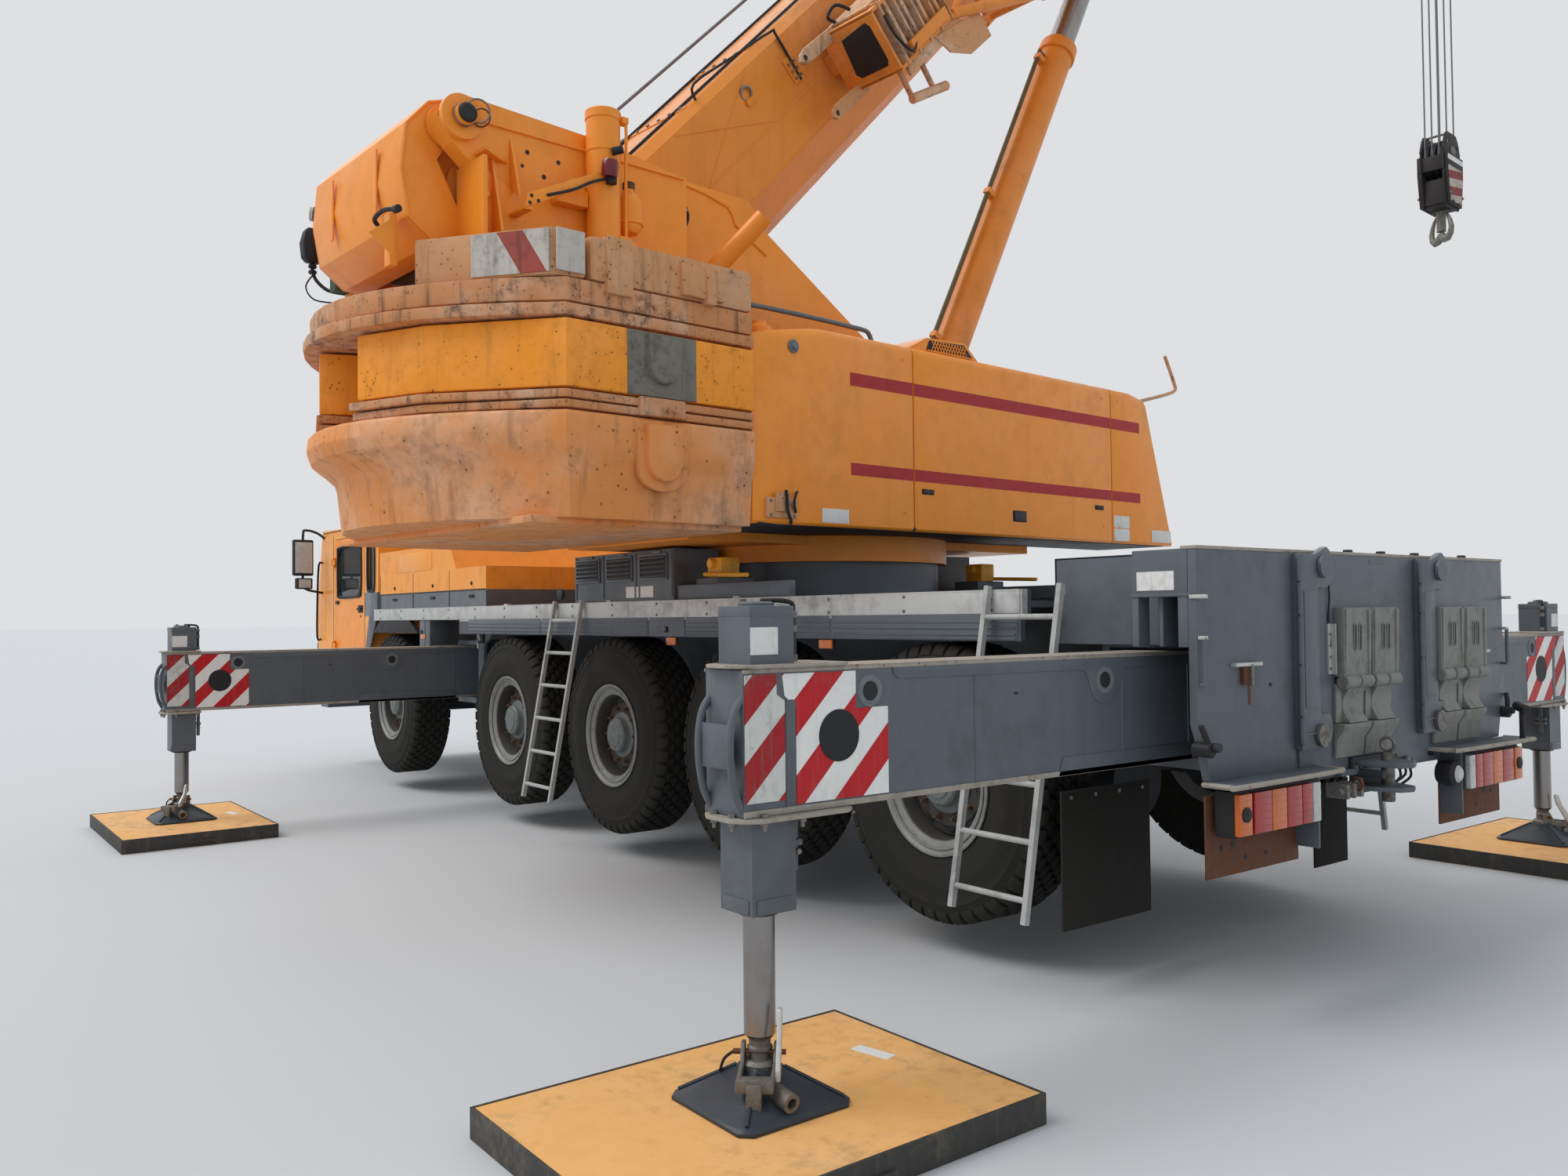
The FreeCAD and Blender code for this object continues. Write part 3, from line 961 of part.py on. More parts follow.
def build_jib():
    """Folding jib stowed along the right of the boom, a lattice of four chords."""
    near, far = -s.jib_inner, -(s.jib_inner + s.jib_width)
    pieces = []
    corners = [(near, s.jib_low), (near, s.jib_high), (far, s.jib_low), (far, s.jib_high)]
    for i, (y, z) in enumerate(corners):
        pieces.append(round_bar(f"Chord{i}", "x", (s.jib_rear, y, z), s.jib_chord, s.jib_front - s.jib_rear))
    count = int(s.jib_bays.value)
    for i in range(count + 1):
        x = (s.jib_rear + 60 + (s.jib_front - s.jib_rear - 120) * i / s.jib_bays)
        for word, z in (("Low", s.jib_low), ("High", s.jib_high)):
            pieces.append(round_bar(f"Strut{word}{i}", "y", (x, far, z), s.jib_lace, s.jib_width))
        for word, y in (("Near", near), ("Far", far)):
            pieces.append(round_bar(f"Post{word}{i}", "z", (x, y, s.jib_low), s.jib_lace,
                                    s.jib_high - s.jib_low))
    for i in range(count):
        x = [s.jib_rear + 60 + (s.jib_front - s.jib_rear - 120) * (i + k) / s.jib_bays for k in (0, 1)]
        low, high = (s.jib_low, s.jib_high) if i % 2 else (s.jib_high, s.jib_low)
        for word, y in (("Near", near), ("Far", far)):
            pieces.append(brace(f"Slant{word}{i}", (x[0], y, low), (x[1], y, high), s.jib_lace))
        for word, z in (("Low", s.jib_low), ("High", s.jib_high)):
            pieces.append(brace(f"Cross{word}{i}", (x[0], near, z), (x[1], far, z), s.jib_lace))
    for i, x in enumerate((s.jib_rear + 900, s.jib_front - 900)):
        pieces.append(block(f"JibHanger{i}", (x, x + 120), (-s.jib_inner - 20, -s.boom_half - s.seat),
                            (-60, 60)))
        pieces.append(block(f"JibHangerPost{i}", (x, x + 120), (-s.jib_inner - 40, -s.jib_inner + 10),
                            (s.jib_low, s.jib_high)))
    node("folding_jib", "boom", pieces)


def check_and_write():
    """Stop on any failed object, then write each node's file."""
    doc.recompute()
    for obj in doc.Objects:
        bad = [word for word in obj.State if word in ("Invalid", "Error")]
        if bad:
            raise RuntimeError(f"{obj.Name} ({obj.Label}) is {bad}")
    os.makedirs("parts", exist_ok=True)
    for obj in NODES:
        shape = obj.Shape
        if shape.isNull() or not shape.isValid() or not shape.Solids:
            raise RuntimeError(f"{obj.Label} has no valid solid")
        shape.exportStep(f"parts/{obj.Label}.step")
        print(f"{obj.Label}: {len(shape.Solids)} solids, {shape.Volume / 1e9:.3f} m3")


for build in (build_wheels, build_axles, build_chassis, build_deck, build_tail, build_outriggers, build_mats,
              build_carrier_cab, build_upper_frame, build_covers, build_counterweight, build_winch,
              build_upper_cab, build_boom, build_cylinder, build_hook, build_jib):
    build()
check_and_write()
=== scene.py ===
"""Mobile crane on its outriggers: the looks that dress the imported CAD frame.

Everything is in metres in the row frame. Pieces are built in the frame of the assembly that carries
them (carrier, upper works, boom, luffing cylinder or hook) and are then written into the row frame.
"""
import logging
import math
from dataclasses import dataclass
from enum import Enum
from typing import Iterable, Sequence

import bmesh
import bpy
from mathutils import Matrix, Vector


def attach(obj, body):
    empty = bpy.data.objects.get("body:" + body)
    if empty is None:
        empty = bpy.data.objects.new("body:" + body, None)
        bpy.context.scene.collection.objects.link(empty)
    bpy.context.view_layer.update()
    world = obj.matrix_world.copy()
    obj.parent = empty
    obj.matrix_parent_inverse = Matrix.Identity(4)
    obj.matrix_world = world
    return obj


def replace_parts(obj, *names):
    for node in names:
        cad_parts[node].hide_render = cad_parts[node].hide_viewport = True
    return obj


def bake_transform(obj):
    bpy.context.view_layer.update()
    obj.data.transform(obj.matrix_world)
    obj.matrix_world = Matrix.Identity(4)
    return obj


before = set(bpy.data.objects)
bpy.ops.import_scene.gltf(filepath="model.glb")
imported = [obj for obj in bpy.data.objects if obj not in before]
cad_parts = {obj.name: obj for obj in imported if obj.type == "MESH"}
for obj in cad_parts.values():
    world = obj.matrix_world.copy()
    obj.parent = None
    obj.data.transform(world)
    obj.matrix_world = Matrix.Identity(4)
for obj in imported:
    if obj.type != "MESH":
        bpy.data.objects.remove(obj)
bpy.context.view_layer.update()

LOG = logging.getLogger("mobile_crane")
Colour = tuple[float, float, float]
Span = tuple[float, float]
Point = Sequence[float]

BOOM_RISE = math.radians(45.5)
CYLINDER_RISE = math.radians(61.984)
AXLES = (("one", 5.0), ("two", 2.29), ("three", 0.59), ("four", -1.0), ("five", -2.6))
SIDES = (("left", 1), ("right", -1))


class Place(Enum):
    """Frames that pieces are drawn in."""

    CARRIER = "carrier"
    UPPER = "upper"
    BOOM = "boom"
    CYLINDER = "cylinder"
    HOOK = "hook"

    def matrix(self) -> Matrix:
        """Returns the frame's place in the row frame."""
        carrier = Matrix.Translation((-1.690, 4.150, 0.0))
        upper = carrier @ Matrix.Rotation(math.radians(-86), 4, "Z")
        boom = upper @ Matrix.Translation((-1.85, 0, 3.55)) @ Matrix.Rotation(-BOOM_RISE, 4, "Y")
        cylinder = upper @ Matrix.Translation((0.82, 0, 2.5)) @ Matrix.Rotation(-CYLINDER_RISE, 4, "Y")
        head = (13.0 + 3 * 2.153)
        across = -1.85 + head * math.cos(BOOM_RISE) + 0.35 * math.sin(BOOM_RISE)
        hook = upper @ Matrix.Translation((across, 0, 0))
        return {Place.CARRIER: carrier, Place.UPPER: upper, Place.BOOM: boom, Place.CYLINDER: cylinder,
            Place.HOOK: hook}[self]


class Slot(Enum):
    """Material slots of the record."""

    ORANGE = "orange_paint"
    FADED = "faded_orange"
    CARRIER = "carrier_paint"
    DECK = "deck"
    AXLE = "axle"
    RIM = "rim"
    TYRE = "tyre"
    ROD = "rod_steel"
    MAT = "mat"
    ROPE = "rope"


class Tree:
    """A node tree with short calls for adding and joining nodes."""

    def __init__(self, tree: bpy.types.NodeTree) -> None:
        """Starts on an existing tree.

        Args:
            tree: shader or geometry tree to add to.
        """
        self.tree = tree

    def add(self, kind: str, values: dict | None = None, **settings: object) -> bpy.types.Node:
        """Adds a node.

        Args:
            kind: Blender's node type name.
            values: input values or sockets to join, by input name or index.
            settings: attributes of the node.

        Returns:
            The new node.
        """
        node = self.tree.nodes.new(kind)
        for key, value in settings.items():
            setattr(node, key, value)
        for key, value in (values or {}).items():
            if isinstance(value, bpy.types.NodeSocket):
                self.tree.links.new(value, node.inputs[key])
            else:
                node.inputs[key].default_value = value
        return node

    def math(self, action: str, first: object, second: object = 0.0,
             clamp: bool = False) -> bpy.types.NodeSocket:
        """Returns the result of a Math node on two numbers or sockets."""
        node = self.add("ShaderNodeMath", {0: first, 1: second}, operation=action, use_clamp=clamp)
        return node.outputs[0]

    def mix(self, mask: object, first: object, second: object) -> bpy.types.NodeSocket:
        """Returns two colours mixed by a mask."""
        values = {0: mask, 6: rgba(first), 7: rgba(second)}
        return self.add("ShaderNodeMix", values, data_type="RGBA").outputs[2]

    def noise(self, where: bpy.types.NodeSocket, scale: object, detail: float = 4.0,
              rough: float = 0.6) -> bpy.types.NodeSocket:
        """Returns fractal noise between 0 and 1."""
        values = {"Vector": where, "Scale": scale, "Detail": detail, "Roughness": rough}
        return self.add("ShaderNodeTexNoise", values).outputs[0]

    def step(self, value: object, low: object, high: object) -> bpy.types.NodeSocket:
        """Returns a smooth step of a value from 0 at low to 1 at high."""
        node = self.add("ShaderNodeMapRange", {0: value, 1: low, 2: high, 3: 0.0, 4: 1.0},
            interpolation_type="SMOOTHSTEP")
        return node.outputs[0]


def rgba(colour: object) -> object:
    """Returns a colour with its alpha, and a socket as it is."""
    if isinstance(colour, bpy.types.NodeSocket):
        return colour
    return (*colour, 1.0)


def open_group(name: str, inputs: Sequence[tuple], outputs: Sequence[tuple]) -> tuple[Tree, dict, dict]:
    """Starts a shader node group.

    Args:
        name: the group's name.
        inputs: (name, socket type, default) of each input.
        outputs: (name, socket type) of each output.

    Returns:
        The tree, its input sockets by name and its output sockets by name.
    """
    group = bpy.data.node_groups.new(name, "ShaderNodeTree")
    for label, kind, value in inputs:
        socket = group.interface.new_socket(name=label, in_out="INPUT", socket_type=kind)
        if kind != "NodeSocketVector":
            socket.default_value = value
    for label, kind in outputs:
        group.interface.new_socket(name=label, in_out="OUTPUT", socket_type=kind)
    tree = Tree(group)
    start, end = tree.add("NodeGroupInput"), tree.add("NodeGroupOutput")
    return tree, {s.name: s for s in start.outputs}, {s.name: s for s in end.inputs}


FLOAT, COLOUR, VECTOR = "NodeSocketFloat", "NodeSocketColor", "NodeSocketVector"


def weathering_group() -> bpy.types.NodeTree:
    """Builds the group that ages a paint with fading, grime, runs and rust specks.

    Returns:
        The node group.
    """
    tree, given, put = open_group("Weathering", [("Where", VECTOR, None), ("Paint", COLOUR,
        (0.5, 0.5, 0.5, 1)), ("Grime", COLOUR, (0.04, 0.03, 0.025, 1)), ("Grime Amount", FLOAT, 0.3),
        ("Runs", FLOAT, 0.3), ("Rust", FLOAT, 0.1), ("Fade", FLOAT, 0.2), ("Scale", FLOAT, 1.0),
        ("Gloss", FLOAT, 0.35)], [("Colour", COLOUR), ("Roughness", FLOAT), ("Height", FLOAT)])
    where, scale = given["Where"], given["Scale"]
    broad = tree.noise(where, tree.math("MULTIPLY", scale, 1.3), 5)
    fine = tree.noise(where, tree.math("MULTIPLY", scale, 9.0), 6, 0.7)
    grain = tree.noise(where, tree.math("MULTIPLY", scale, 60.0), 3)
    stretched = tree.add("ShaderNodeVectorMath", {0: where, 1: (7.0, 7.0, 0.55)},
        operation="MULTIPLY").outputs[0]
    runs = tree.noise(stretched, tree.math("MULTIPLY", scale, 1.6), 5, 0.65)
    pale = tree.mix(tree.math("MULTIPLY", tree.step(broad, 0.42, 0.72), given["Fade"]), given["Paint"],
        (0.86, 0.72, 0.58))
    deep = tree.add("ShaderNodeHueSaturation", {"Saturation": 1.06, "Value": 0.82, "Color": pale}).outputs[0]
    base = tree.mix(tree.math("MULTIPLY", tree.step(fine, 0.35, 0.75), 0.35), pale, deep)
    run_mask = tree.math("MULTIPLY", tree.step(runs, 0.5, 0.78), given["Runs"])
    dirty = tree.mix(run_mask, base, given["Grime"])
    blot = tree.math("MULTIPLY", tree.step(tree.math("MULTIPLY", broad, fine), 0.24, 0.42),
        given["Grime Amount"])
    dirty = tree.mix(blot, dirty, given["Grime"])
    speck_cells = tree.add("ShaderNodeTexVoronoi", {"Vector": where, "Scale": tree.math("MULTIPLY", scale,
        26.0)})
    speck = tree.math("SUBTRACT", 1.0, tree.step(speck_cells.outputs[0], 0.10, 0.24))
    allowed = tree.step(tree.math("ADD", fine, tree.math("MULTIPLY", given["Rust"], 0.30)), 0.60, 0.70)
    rust_mask = tree.math("MULTIPLY", tree.math("MULTIPLY", speck, allowed), tree.step(given["Rust"], 0.0,
        0.4))
    patch = tree.math("MULTIPLY", tree.step(tree.math("ADD", fine, tree.math("MULTIPLY", given["Rust"], 0.2)),
        0.72, 0.80), tree.step(given["Rust"], 0.1, 0.8))
    rust_mask = tree.math("MAXIMUM", rust_mask, patch)
    rust_tone = tree.mix(grain, (0.10, 0.028, 0.010), (0.30, 0.10, 0.03))
    tree.tree.links.new(tree.mix(rust_mask, dirty, rust_tone), put["Colour"])
    worn = tree.math("ADD", given["Gloss"], tree.math("MULTIPLY", fine, 0.22))
    rough = tree.math("ADD", worn, tree.math("MULTIPLY", tree.math("MAXIMUM", rust_mask, blot), 0.35), True)
    tree.tree.links.new(rough, put["Roughness"])
    height = tree.math("ADD", tree.math("MULTIPLY", grain, 0.25), tree.math("MULTIPLY", fine, 0.6))
    tree.tree.links.new(tree.math("SUBTRACT", height, tree.math("MULTIPLY", rust_mask, 0.8)), put["Height"])
    return tree.tree


def band_group() -> bpy.types.NodeTree:
    """Builds the group that tells whether a point lies in a box.

    Returns:
        The node group.
    """
    tree, given, put = open_group("InBox", [("Where", VECTOR, None), ("Low", VECTOR, None),
        ("High", VECTOR, None)], [("Mask", FLOAT)])
    point = tree.add("ShaderNodeSeparateXYZ", {0: given["Where"]})
    low = tree.add("ShaderNodeSeparateXYZ", {0: given["Low"]})
    high = tree.add("ShaderNodeSeparateXYZ", {0: given["High"]})
    mask: object = 1.0
    for axis in range(3):
        above = tree.math("GREATER_THAN", point.outputs[axis], low.outputs[axis])
        below = tree.math("LESS_THAN", point.outputs[axis], high.outputs[axis])
        mask = tree.math("MULTIPLY", mask, tree.math("MULTIPLY", above, below))
    tree.tree.links.new(mask, put["Mask"])
    return tree.tree


def stripe_group() -> bpy.types.NodeTree:
    """Builds the group that draws slanting bars across a plane of two directions.

    Returns:
        The node group.
    """
    tree, given, put = open_group("Bars", [("Where", VECTOR, None), ("Across", VECTOR, None),
        ("Pitch", FLOAT, 0.2), ("Shift", FLOAT, 0.0)], [("Mask", FLOAT)])
    along = tree.add("ShaderNodeVectorMath", {0: given["Where"], 1: given["Across"]},
        operation="DOT_PRODUCT").outputs["Value"]
    part = tree.math("FRACT", tree.math("ADD", tree.math("DIVIDE", along, given["Pitch"]), given["Shift"]))
    tree.tree.links.new(tree.math("GREATER_THAN", part, 0.5), put["Mask"])
    return tree.tree


def group(tree: Tree, name: str, values: dict) -> bpy.types.Node:
    """Places a shared node group in a material.

    Args:
        tree: the material's tree.
        name: the group's name.
        values: its input values or sockets.

    Returns:
        The group node.
    """
    return tree.add("ShaderNodeGroup", values, node_tree=bpy.data.node_groups[name])


@dataclass(frozen=True)
class Zone:
    """A box of the object that has its own paint."""

    low: Point
    high: Point
    paint: Colour


@dataclass(frozen=True)
class Finish:
    """A surface: its paint, its age and its gloss."""

    name: str
    paint: Colour
    gloss: float = 0.35
    grime: float = 0.3
    runs: float = 0.3
    rust: float = 0.1
    fade: float = 0.2
    metallic: float = 0.0
    coat: float = 0.0
    bump: float = 0.10
    scale: float = 1.0
    grime_colour: Colour = (0.045, 0.035, 0.028)
    zones: tuple[Zone, ...] = ()
    bars: tuple = ()
    layers: tuple = ()
    specular: float = 0.32

    def build(self) -> bpy.types.Material:
        """Makes the Blender material.

        Returns:
            The material, with its own node tree.
        """
        material = bpy.data.materials.new(self.name)
        material.use_nodes = True
        tree = Tree(material.node_tree)
        shader = material.node_tree.nodes["Principled BSDF"]
        where = tree.add("ShaderNodeTexCoord").outputs["Object"]
        paint: object = self.paint
        if self.layers:
            paint = self.layered(tree, where)
        for zone in self.zones:
            mask = group(tree, "InBox", {"Where": where, "Low": zone.low, "High": zone.high}).outputs[0]
            paint = tree.mix(mask, paint, zone.paint)
        if self.bars:
            other, across, pitch, shift = self.bars
            mask = group(tree, "Bars", {"Where": where, "Across": across, "Pitch": pitch,
                "Shift": shift}).outputs[0]
            paint = tree.mix(mask, paint, other)
        age = group(tree, "Weathering", { "Where": where, "Paint": rgba(paint),
            "Grime": rgba(self.grime_colour), "Grime Amount": self.grime, "Runs": self.runs,
            "Rust": self.rust, "Fade": self.fade, "Scale": self.scale, "Gloss": self.gloss})
        tree.tree.links.new(age.outputs["Colour"], shader.inputs["Base Color"])
        tree.tree.links.new(age.outputs["Roughness"], shader.inputs["Roughness"])
        bump = tree.add("ShaderNodeBump", {"Strength": self.bump, "Distance": 0.01,
            "Height": age.outputs["Height"]})
        tree.tree.links.new(bump.outputs[0], shader.inputs["Normal"])
        shader.inputs["Metallic"].default_value = self.metallic
        shader.inputs["Coat Weight"].default_value = self.coat
        shader.inputs["Coat Roughness"].default_value = 0.15
        shader.inputs["Specular IOR Level"].default_value = self.specular
        return material

    def layered(self, tree: Tree, where: bpy.types.NodeSocket) -> bpy.types.NodeSocket:
        """Paints level bands one above another, darkened round each level by painted shade and grime in the
        joints.

        Args:
            tree: the material's tree.
            where: the object coordinates.

        Returns:
            The colour socket.
        """
        height = tree.add("ShaderNodeSeparateXYZ", {0: where}).outputs[2]
        waver = tree.noise(where, 2.2, 5)
        paint: object = self.paint
        for level, band in self.layers:
            paint = tree.mix(tree.math("GREATER_THAN", height, level), paint, band)
        # Darkens a soft band round each level: painted shade and grime in the joints between the slabs.
        for level, _ in self.layers:
            near = tree.math("ABSOLUTE", tree.math("SUBTRACT", height, level))
            reach = tree.math("MULTIPLY", tree.step(waver, 0.25, 0.75), 0.05)
            seam = tree.math("SUBTRACT", 1.0, tree.step(near, 0.004, tree.math("ADD", 0.016, reach)))
            paint = tree.mix(tree.math("MULTIPLY", seam, 0.78), paint, (0.035, 0.022, 0.016))
        return paint


class Form:
    """A mesh in the making, whose parts each carry a finish."""

    def __init__(self, name: str, place: Place = Place.CARRIER, bevel: float = 0.004) -> None:
        """Starts an empty mesh.

        Args:
            name: the piece's name.
            place: the frame that its sizes are in.
            bevel: the usual edge rounding.
        """
        self.name, self.place, self.bevel = name, place, bevel
        self.turn = Matrix.Identity(4)
        self.mesh = bmesh.new()
        self.finishes: list[str] = []

    def paint(self, faces: Iterable[bmesh.types.BMFace], finish: str) -> None:
        """Gives faces a finish by name."""
        if finish not in self.finishes:
            self.finishes.append(finish)
        index = self.finishes.index(finish)
        for face in faces:
            face.material_index = index

    def shape(self, points: Sequence[Point], faces: Sequence[Sequence[int]], finish: str,
              bevel: float | None = None,
              turn: Matrix | None = None, smooth: bool = False) -> None:
        """Adds a closed solid from points and faces.

        Args:
            points: corner points.
            faces: indices of each face's corners.
            finish: name of its finish.
            bevel: edge rounding, or None for the usual one.
            turn: matrix that places the points.
            smooth: leaves the edges unrounded.
        """
        part = bmesh.new()
        corners = [part.verts.new(p) for p in points]
        for face in faces:
            part.faces.new([corners[i] for i in face])
        bmesh.ops.recalc_face_normals(part, faces=part.faces)
        width = self.bevel if bevel is None else bevel
        if width > 0 and not smooth:
            sharp = [e for e in part.edges if len(e.link_faces) == 2 and e.calc_face_angle(0) > 0.5]
            bmesh.ops.bevel(part, geom=sharp, offset=width, segments=2, profile=0.6, affect="EDGES",
                clamp_overlap=True)
        self.join(part, finish, turn)

    def join(self, part: bmesh.types.BMesh, finish: str, turn: Matrix | None = None) -> None:
        """Adds another mesh, placed by a matrix, and frees it."""
        part.transform(self.turn @ turn if turn is not None else self.turn)
        if self.turn.determinant() < 0:
            bmesh.ops.reverse_faces(part, faces=part.faces)
        spare = bpy.data.meshes.new("spare")
        part.to_mesh(spare)
        part.free()
        start = len(self.mesh.faces)
        self.mesh.from_mesh(spare)
        bpy.data.meshes.remove(spare)
        self.mesh.faces.ensure_lookup_table()
        self.paint(self.mesh.faces[start:], finish)

    def box(self, x: Span, y: Span, z: Span, finish: str, bevel: float | None = None,
            turn: Matrix | None = None) -> None:
        """Adds a block between three pairs of limits."""
        (x0, x1), (y0, y1), (z0, z1) = sorted(x), sorted(y), sorted(z)
        points = [(a, b, c) for c in (z0, z1) for b in (y0, y1) for a in (x0, x1)]
        faces = [(0, 2, 3, 1), (4, 5, 7, 6), (0, 1, 5, 4), (2, 6, 7, 3), (0, 4, 6, 2), (1, 3, 7, 5)]
        width = min(self.bevel if bevel is None else bevel, min(x1 - x0, y1 - y0, z1 - z0) * 0.3)
        self.shape(points, faces, finish, width, turn)

    def prism(self, plane: str, outline: Sequence[Point], low: float, high: float, finish: str,
              bevel: float | None = None, turn: Matrix | None = None) -> None:
        """Adds a plate: an outline in a plane, drawn from one level to another.

        Args:
            plane: "xy", "xz" or "yz".
            outline: the outline's corners in that plane.
            low: first level along the third axis.
            high: last level.
            finish: name of its finish.
            bevel: edge rounding, or None for the usual one.
            turn: matrix that places it.
        """
        order = {"xy": lambda u, v, w: (u, v, w), "xz": lambda u, v, w: (u, w, v), "yz": lambda u, v,
            w: (w, u, v)}[plane]
        count = len(outline)
        points = [order(u, v, w) for w in (low, high) for u, v in outline]
        faces = [tuple(range(count)), tuple(range(count, 2 * count))]
        faces += [(i, (i + 1) % count, (i + 1) % count + count, i + count) for i in range(count)]
        self.shape(points, faces, finish, bevel, turn)

    def lathe(self, profile: Sequence[Span], start: Point, axis: Point, finish: str, sides: int = 24,
              turn: Matrix | None = None) -> None:
        """Adds a turned solid.

        Args:
            profile: (radius, distance along the axis) pairs; a radius of 0 closes an end.
            start: point on the axis at distance 0.
            axis: direction of the axis.
            finish: name of its finish.
            sides: number of facets round it.
            turn: matrix that places it.
        """
        spin = Vector(axis).normalized().to_track_quat("Z", "Y").to_matrix().to_4x4()
        part = bmesh.new()
        rings = []
        for radius, along in profile:
            if radius <= 1e-6:
                rings.append([part.verts.new((0, 0, along))])
                continue
            rings.append([part.verts.new((radius * math.cos(a), radius * math.sin(a), along))
                for a in (2 * math.pi * i / sides for i in range(sides))])
        for first, second in zip(rings, rings[1:]):
            for i in range(sides):
                j = (i + 1) % sides
                if len(first) == 1 and len(second) > 1:
                    part.faces.new((first[0], second[i], second[j]))
                elif len(second) == 1 and len(first) > 1:
                    part.faces.new((first[j], first[i], second[0]))
                elif len(first) > 1:
                    part.faces.new((first[j], first[i], second[i], second[j]))
        for ring in (rings[0], rings[-1]):
            if len(ring) > 1 and ring is not (rings[-1] if profile[0] == profile[-1] else None):
                if profile[0] != profile[-1]:
                    part.faces.new(ring)
        if profile[0] == profile[-1]:
            bmesh.ops.remove_doubles(part, verts=part.verts, dist=1e-6)
        bmesh.ops.recalc_face_normals(part, faces=part.faces)
        part.transform(Matrix.Translation(start) @ spin)
        self.join(part, finish, turn)

    def bar(self, start: Point, end: Point, radius: float, finish: str, sides: int = 16,
            turn: Matrix | None = None, rim: float = 0.15) -> None:
        """Adds a round bar with a small chamfer at each end."""
        length = (Vector(end) - Vector(start)).length
        cut = min(radius, length / 2) * rim
        profile = [(radius - cut, 0), (radius, cut), (radius, length - cut), (radius - cut, length)]
        self.lathe(profile, start, Vector(end) - Vector(start), finish, sides, turn)

    def ring(self, centre: Point, axis: Point, radius: float, wire: float, finish: str, sides: int = 32,
             turn: Matrix | None = None) -> None:
        """Adds a round wire ring."""
        round_wire = [(radius + wire * math.cos(a), wire * math.sin(a)) for a in (2 * math.pi * i / 10
            for i in range(10))]
        round_wire.append(round_wire[0])
        self.lathe(round_wire, centre, axis, finish, sides, turn)

    def pipe(self, path: Sequence[Point], radius: float, finish: str, sides: int = 10,
             smooth: int = 0, turn: Matrix | None = None) -> None:
        """Adds a tube along a path.

        Args:
            path: points on its centre line.
            radius: outer radius.
            finish: name of its finish.
            sides: number of facets round it.
            smooth: points added on each run to round the path.
            turn: matrix that places it.
        """
        line = [Vector(p) for p in path]
        if smooth:
            line = rounded(line, smooth)
        part = bmesh.new()
        up = Vector((0, 0, 1)) if abs((line[1] - line[0]).normalized().z) < 0.9 else Vector((1, 0, 0))
        rings = []
        for i, point in enumerate(line):
            ahead = line[min(i + 1, len(line) - 1)] - line[max(i - 1, 0)]
            ahead.normalize()
            side = ahead.cross(up).normalized()
            up = side.cross(ahead).normalized()
            rings.append([part.verts.new(point + radius * (math.cos(a) * side + math.sin(a) * up))
                for a in (2 * math.pi * k / sides for k in range(sides))])
        for first, second in zip(rings, rings[1:]):
            for i in range(sides):
                j = (i + 1) % sides
                part.faces.new((first[i], first[j], second[j], second[i]))
        part.faces.new(rings[0])
        part.faces.new(rings[-1])
        bmesh.ops.recalc_face_normals(part, faces=part.faces)
        self.join(part, finish, turn)

    def make(self, body: str) -> bpy.types.Object:
        """Writes the mesh into the row frame as a piece that rides on a body.

        Args:
            body: name of the body that carries it; an empty one leaves the piece free.

        Returns:
            The new object.
        """
        self.mesh.transform(self.place.matrix())
        data = bpy.data.meshes.new(self.name)
        self.mesh.to_mesh(data)
        self.mesh.free()
        for name in self.finishes:
            data.materials.append(bpy.data.materials[name])
        data.shade_smooth()
        data.set_sharp_from_angle(angle=math.radians(32))
        piece = bpy.data.objects.new(self.name, data)
        bpy.context.scene.collection.objects.link(piece)
        if body:
            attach(piece, body)
        LOG.info("%s on %s: %d faces", self.name, body, len(data.polygons))
        return piece


def rounded(line: Sequence[Vector], steps: int) -> list[Vector]:
    """Rounds a path by a spline through its points.

    Args:
        line: the path's points.
        steps: points made on each run.

    Returns:
        The rounded path.
    """
    found = []
    for i in range(len(line) - 1):
        before, after = line[max(i - 1, 0)], line[min(i + 2, len(line) - 1)]
        a, b = line[i], line[i + 1]
        for k in range(steps):
            t = k / steps
            found.append(0.5 * (2 * a + (b - before) * t + (2 * before - 5 * a + 4 * b - after) * t ** 2 +
                (3 * a - before - 3 * b + after) * t ** 3))
    found.append(line[-1])
    return found


RED = (0.42, 0.020, 0.022)
WHITE = (0.74, 0.73, 0.70)
STEEL_GREY = (0.105, 0.120, 0.135)
SALMON = (0.80, 0.300, 0.085)
ORANGE = (0.93, 0.300, 0.024)

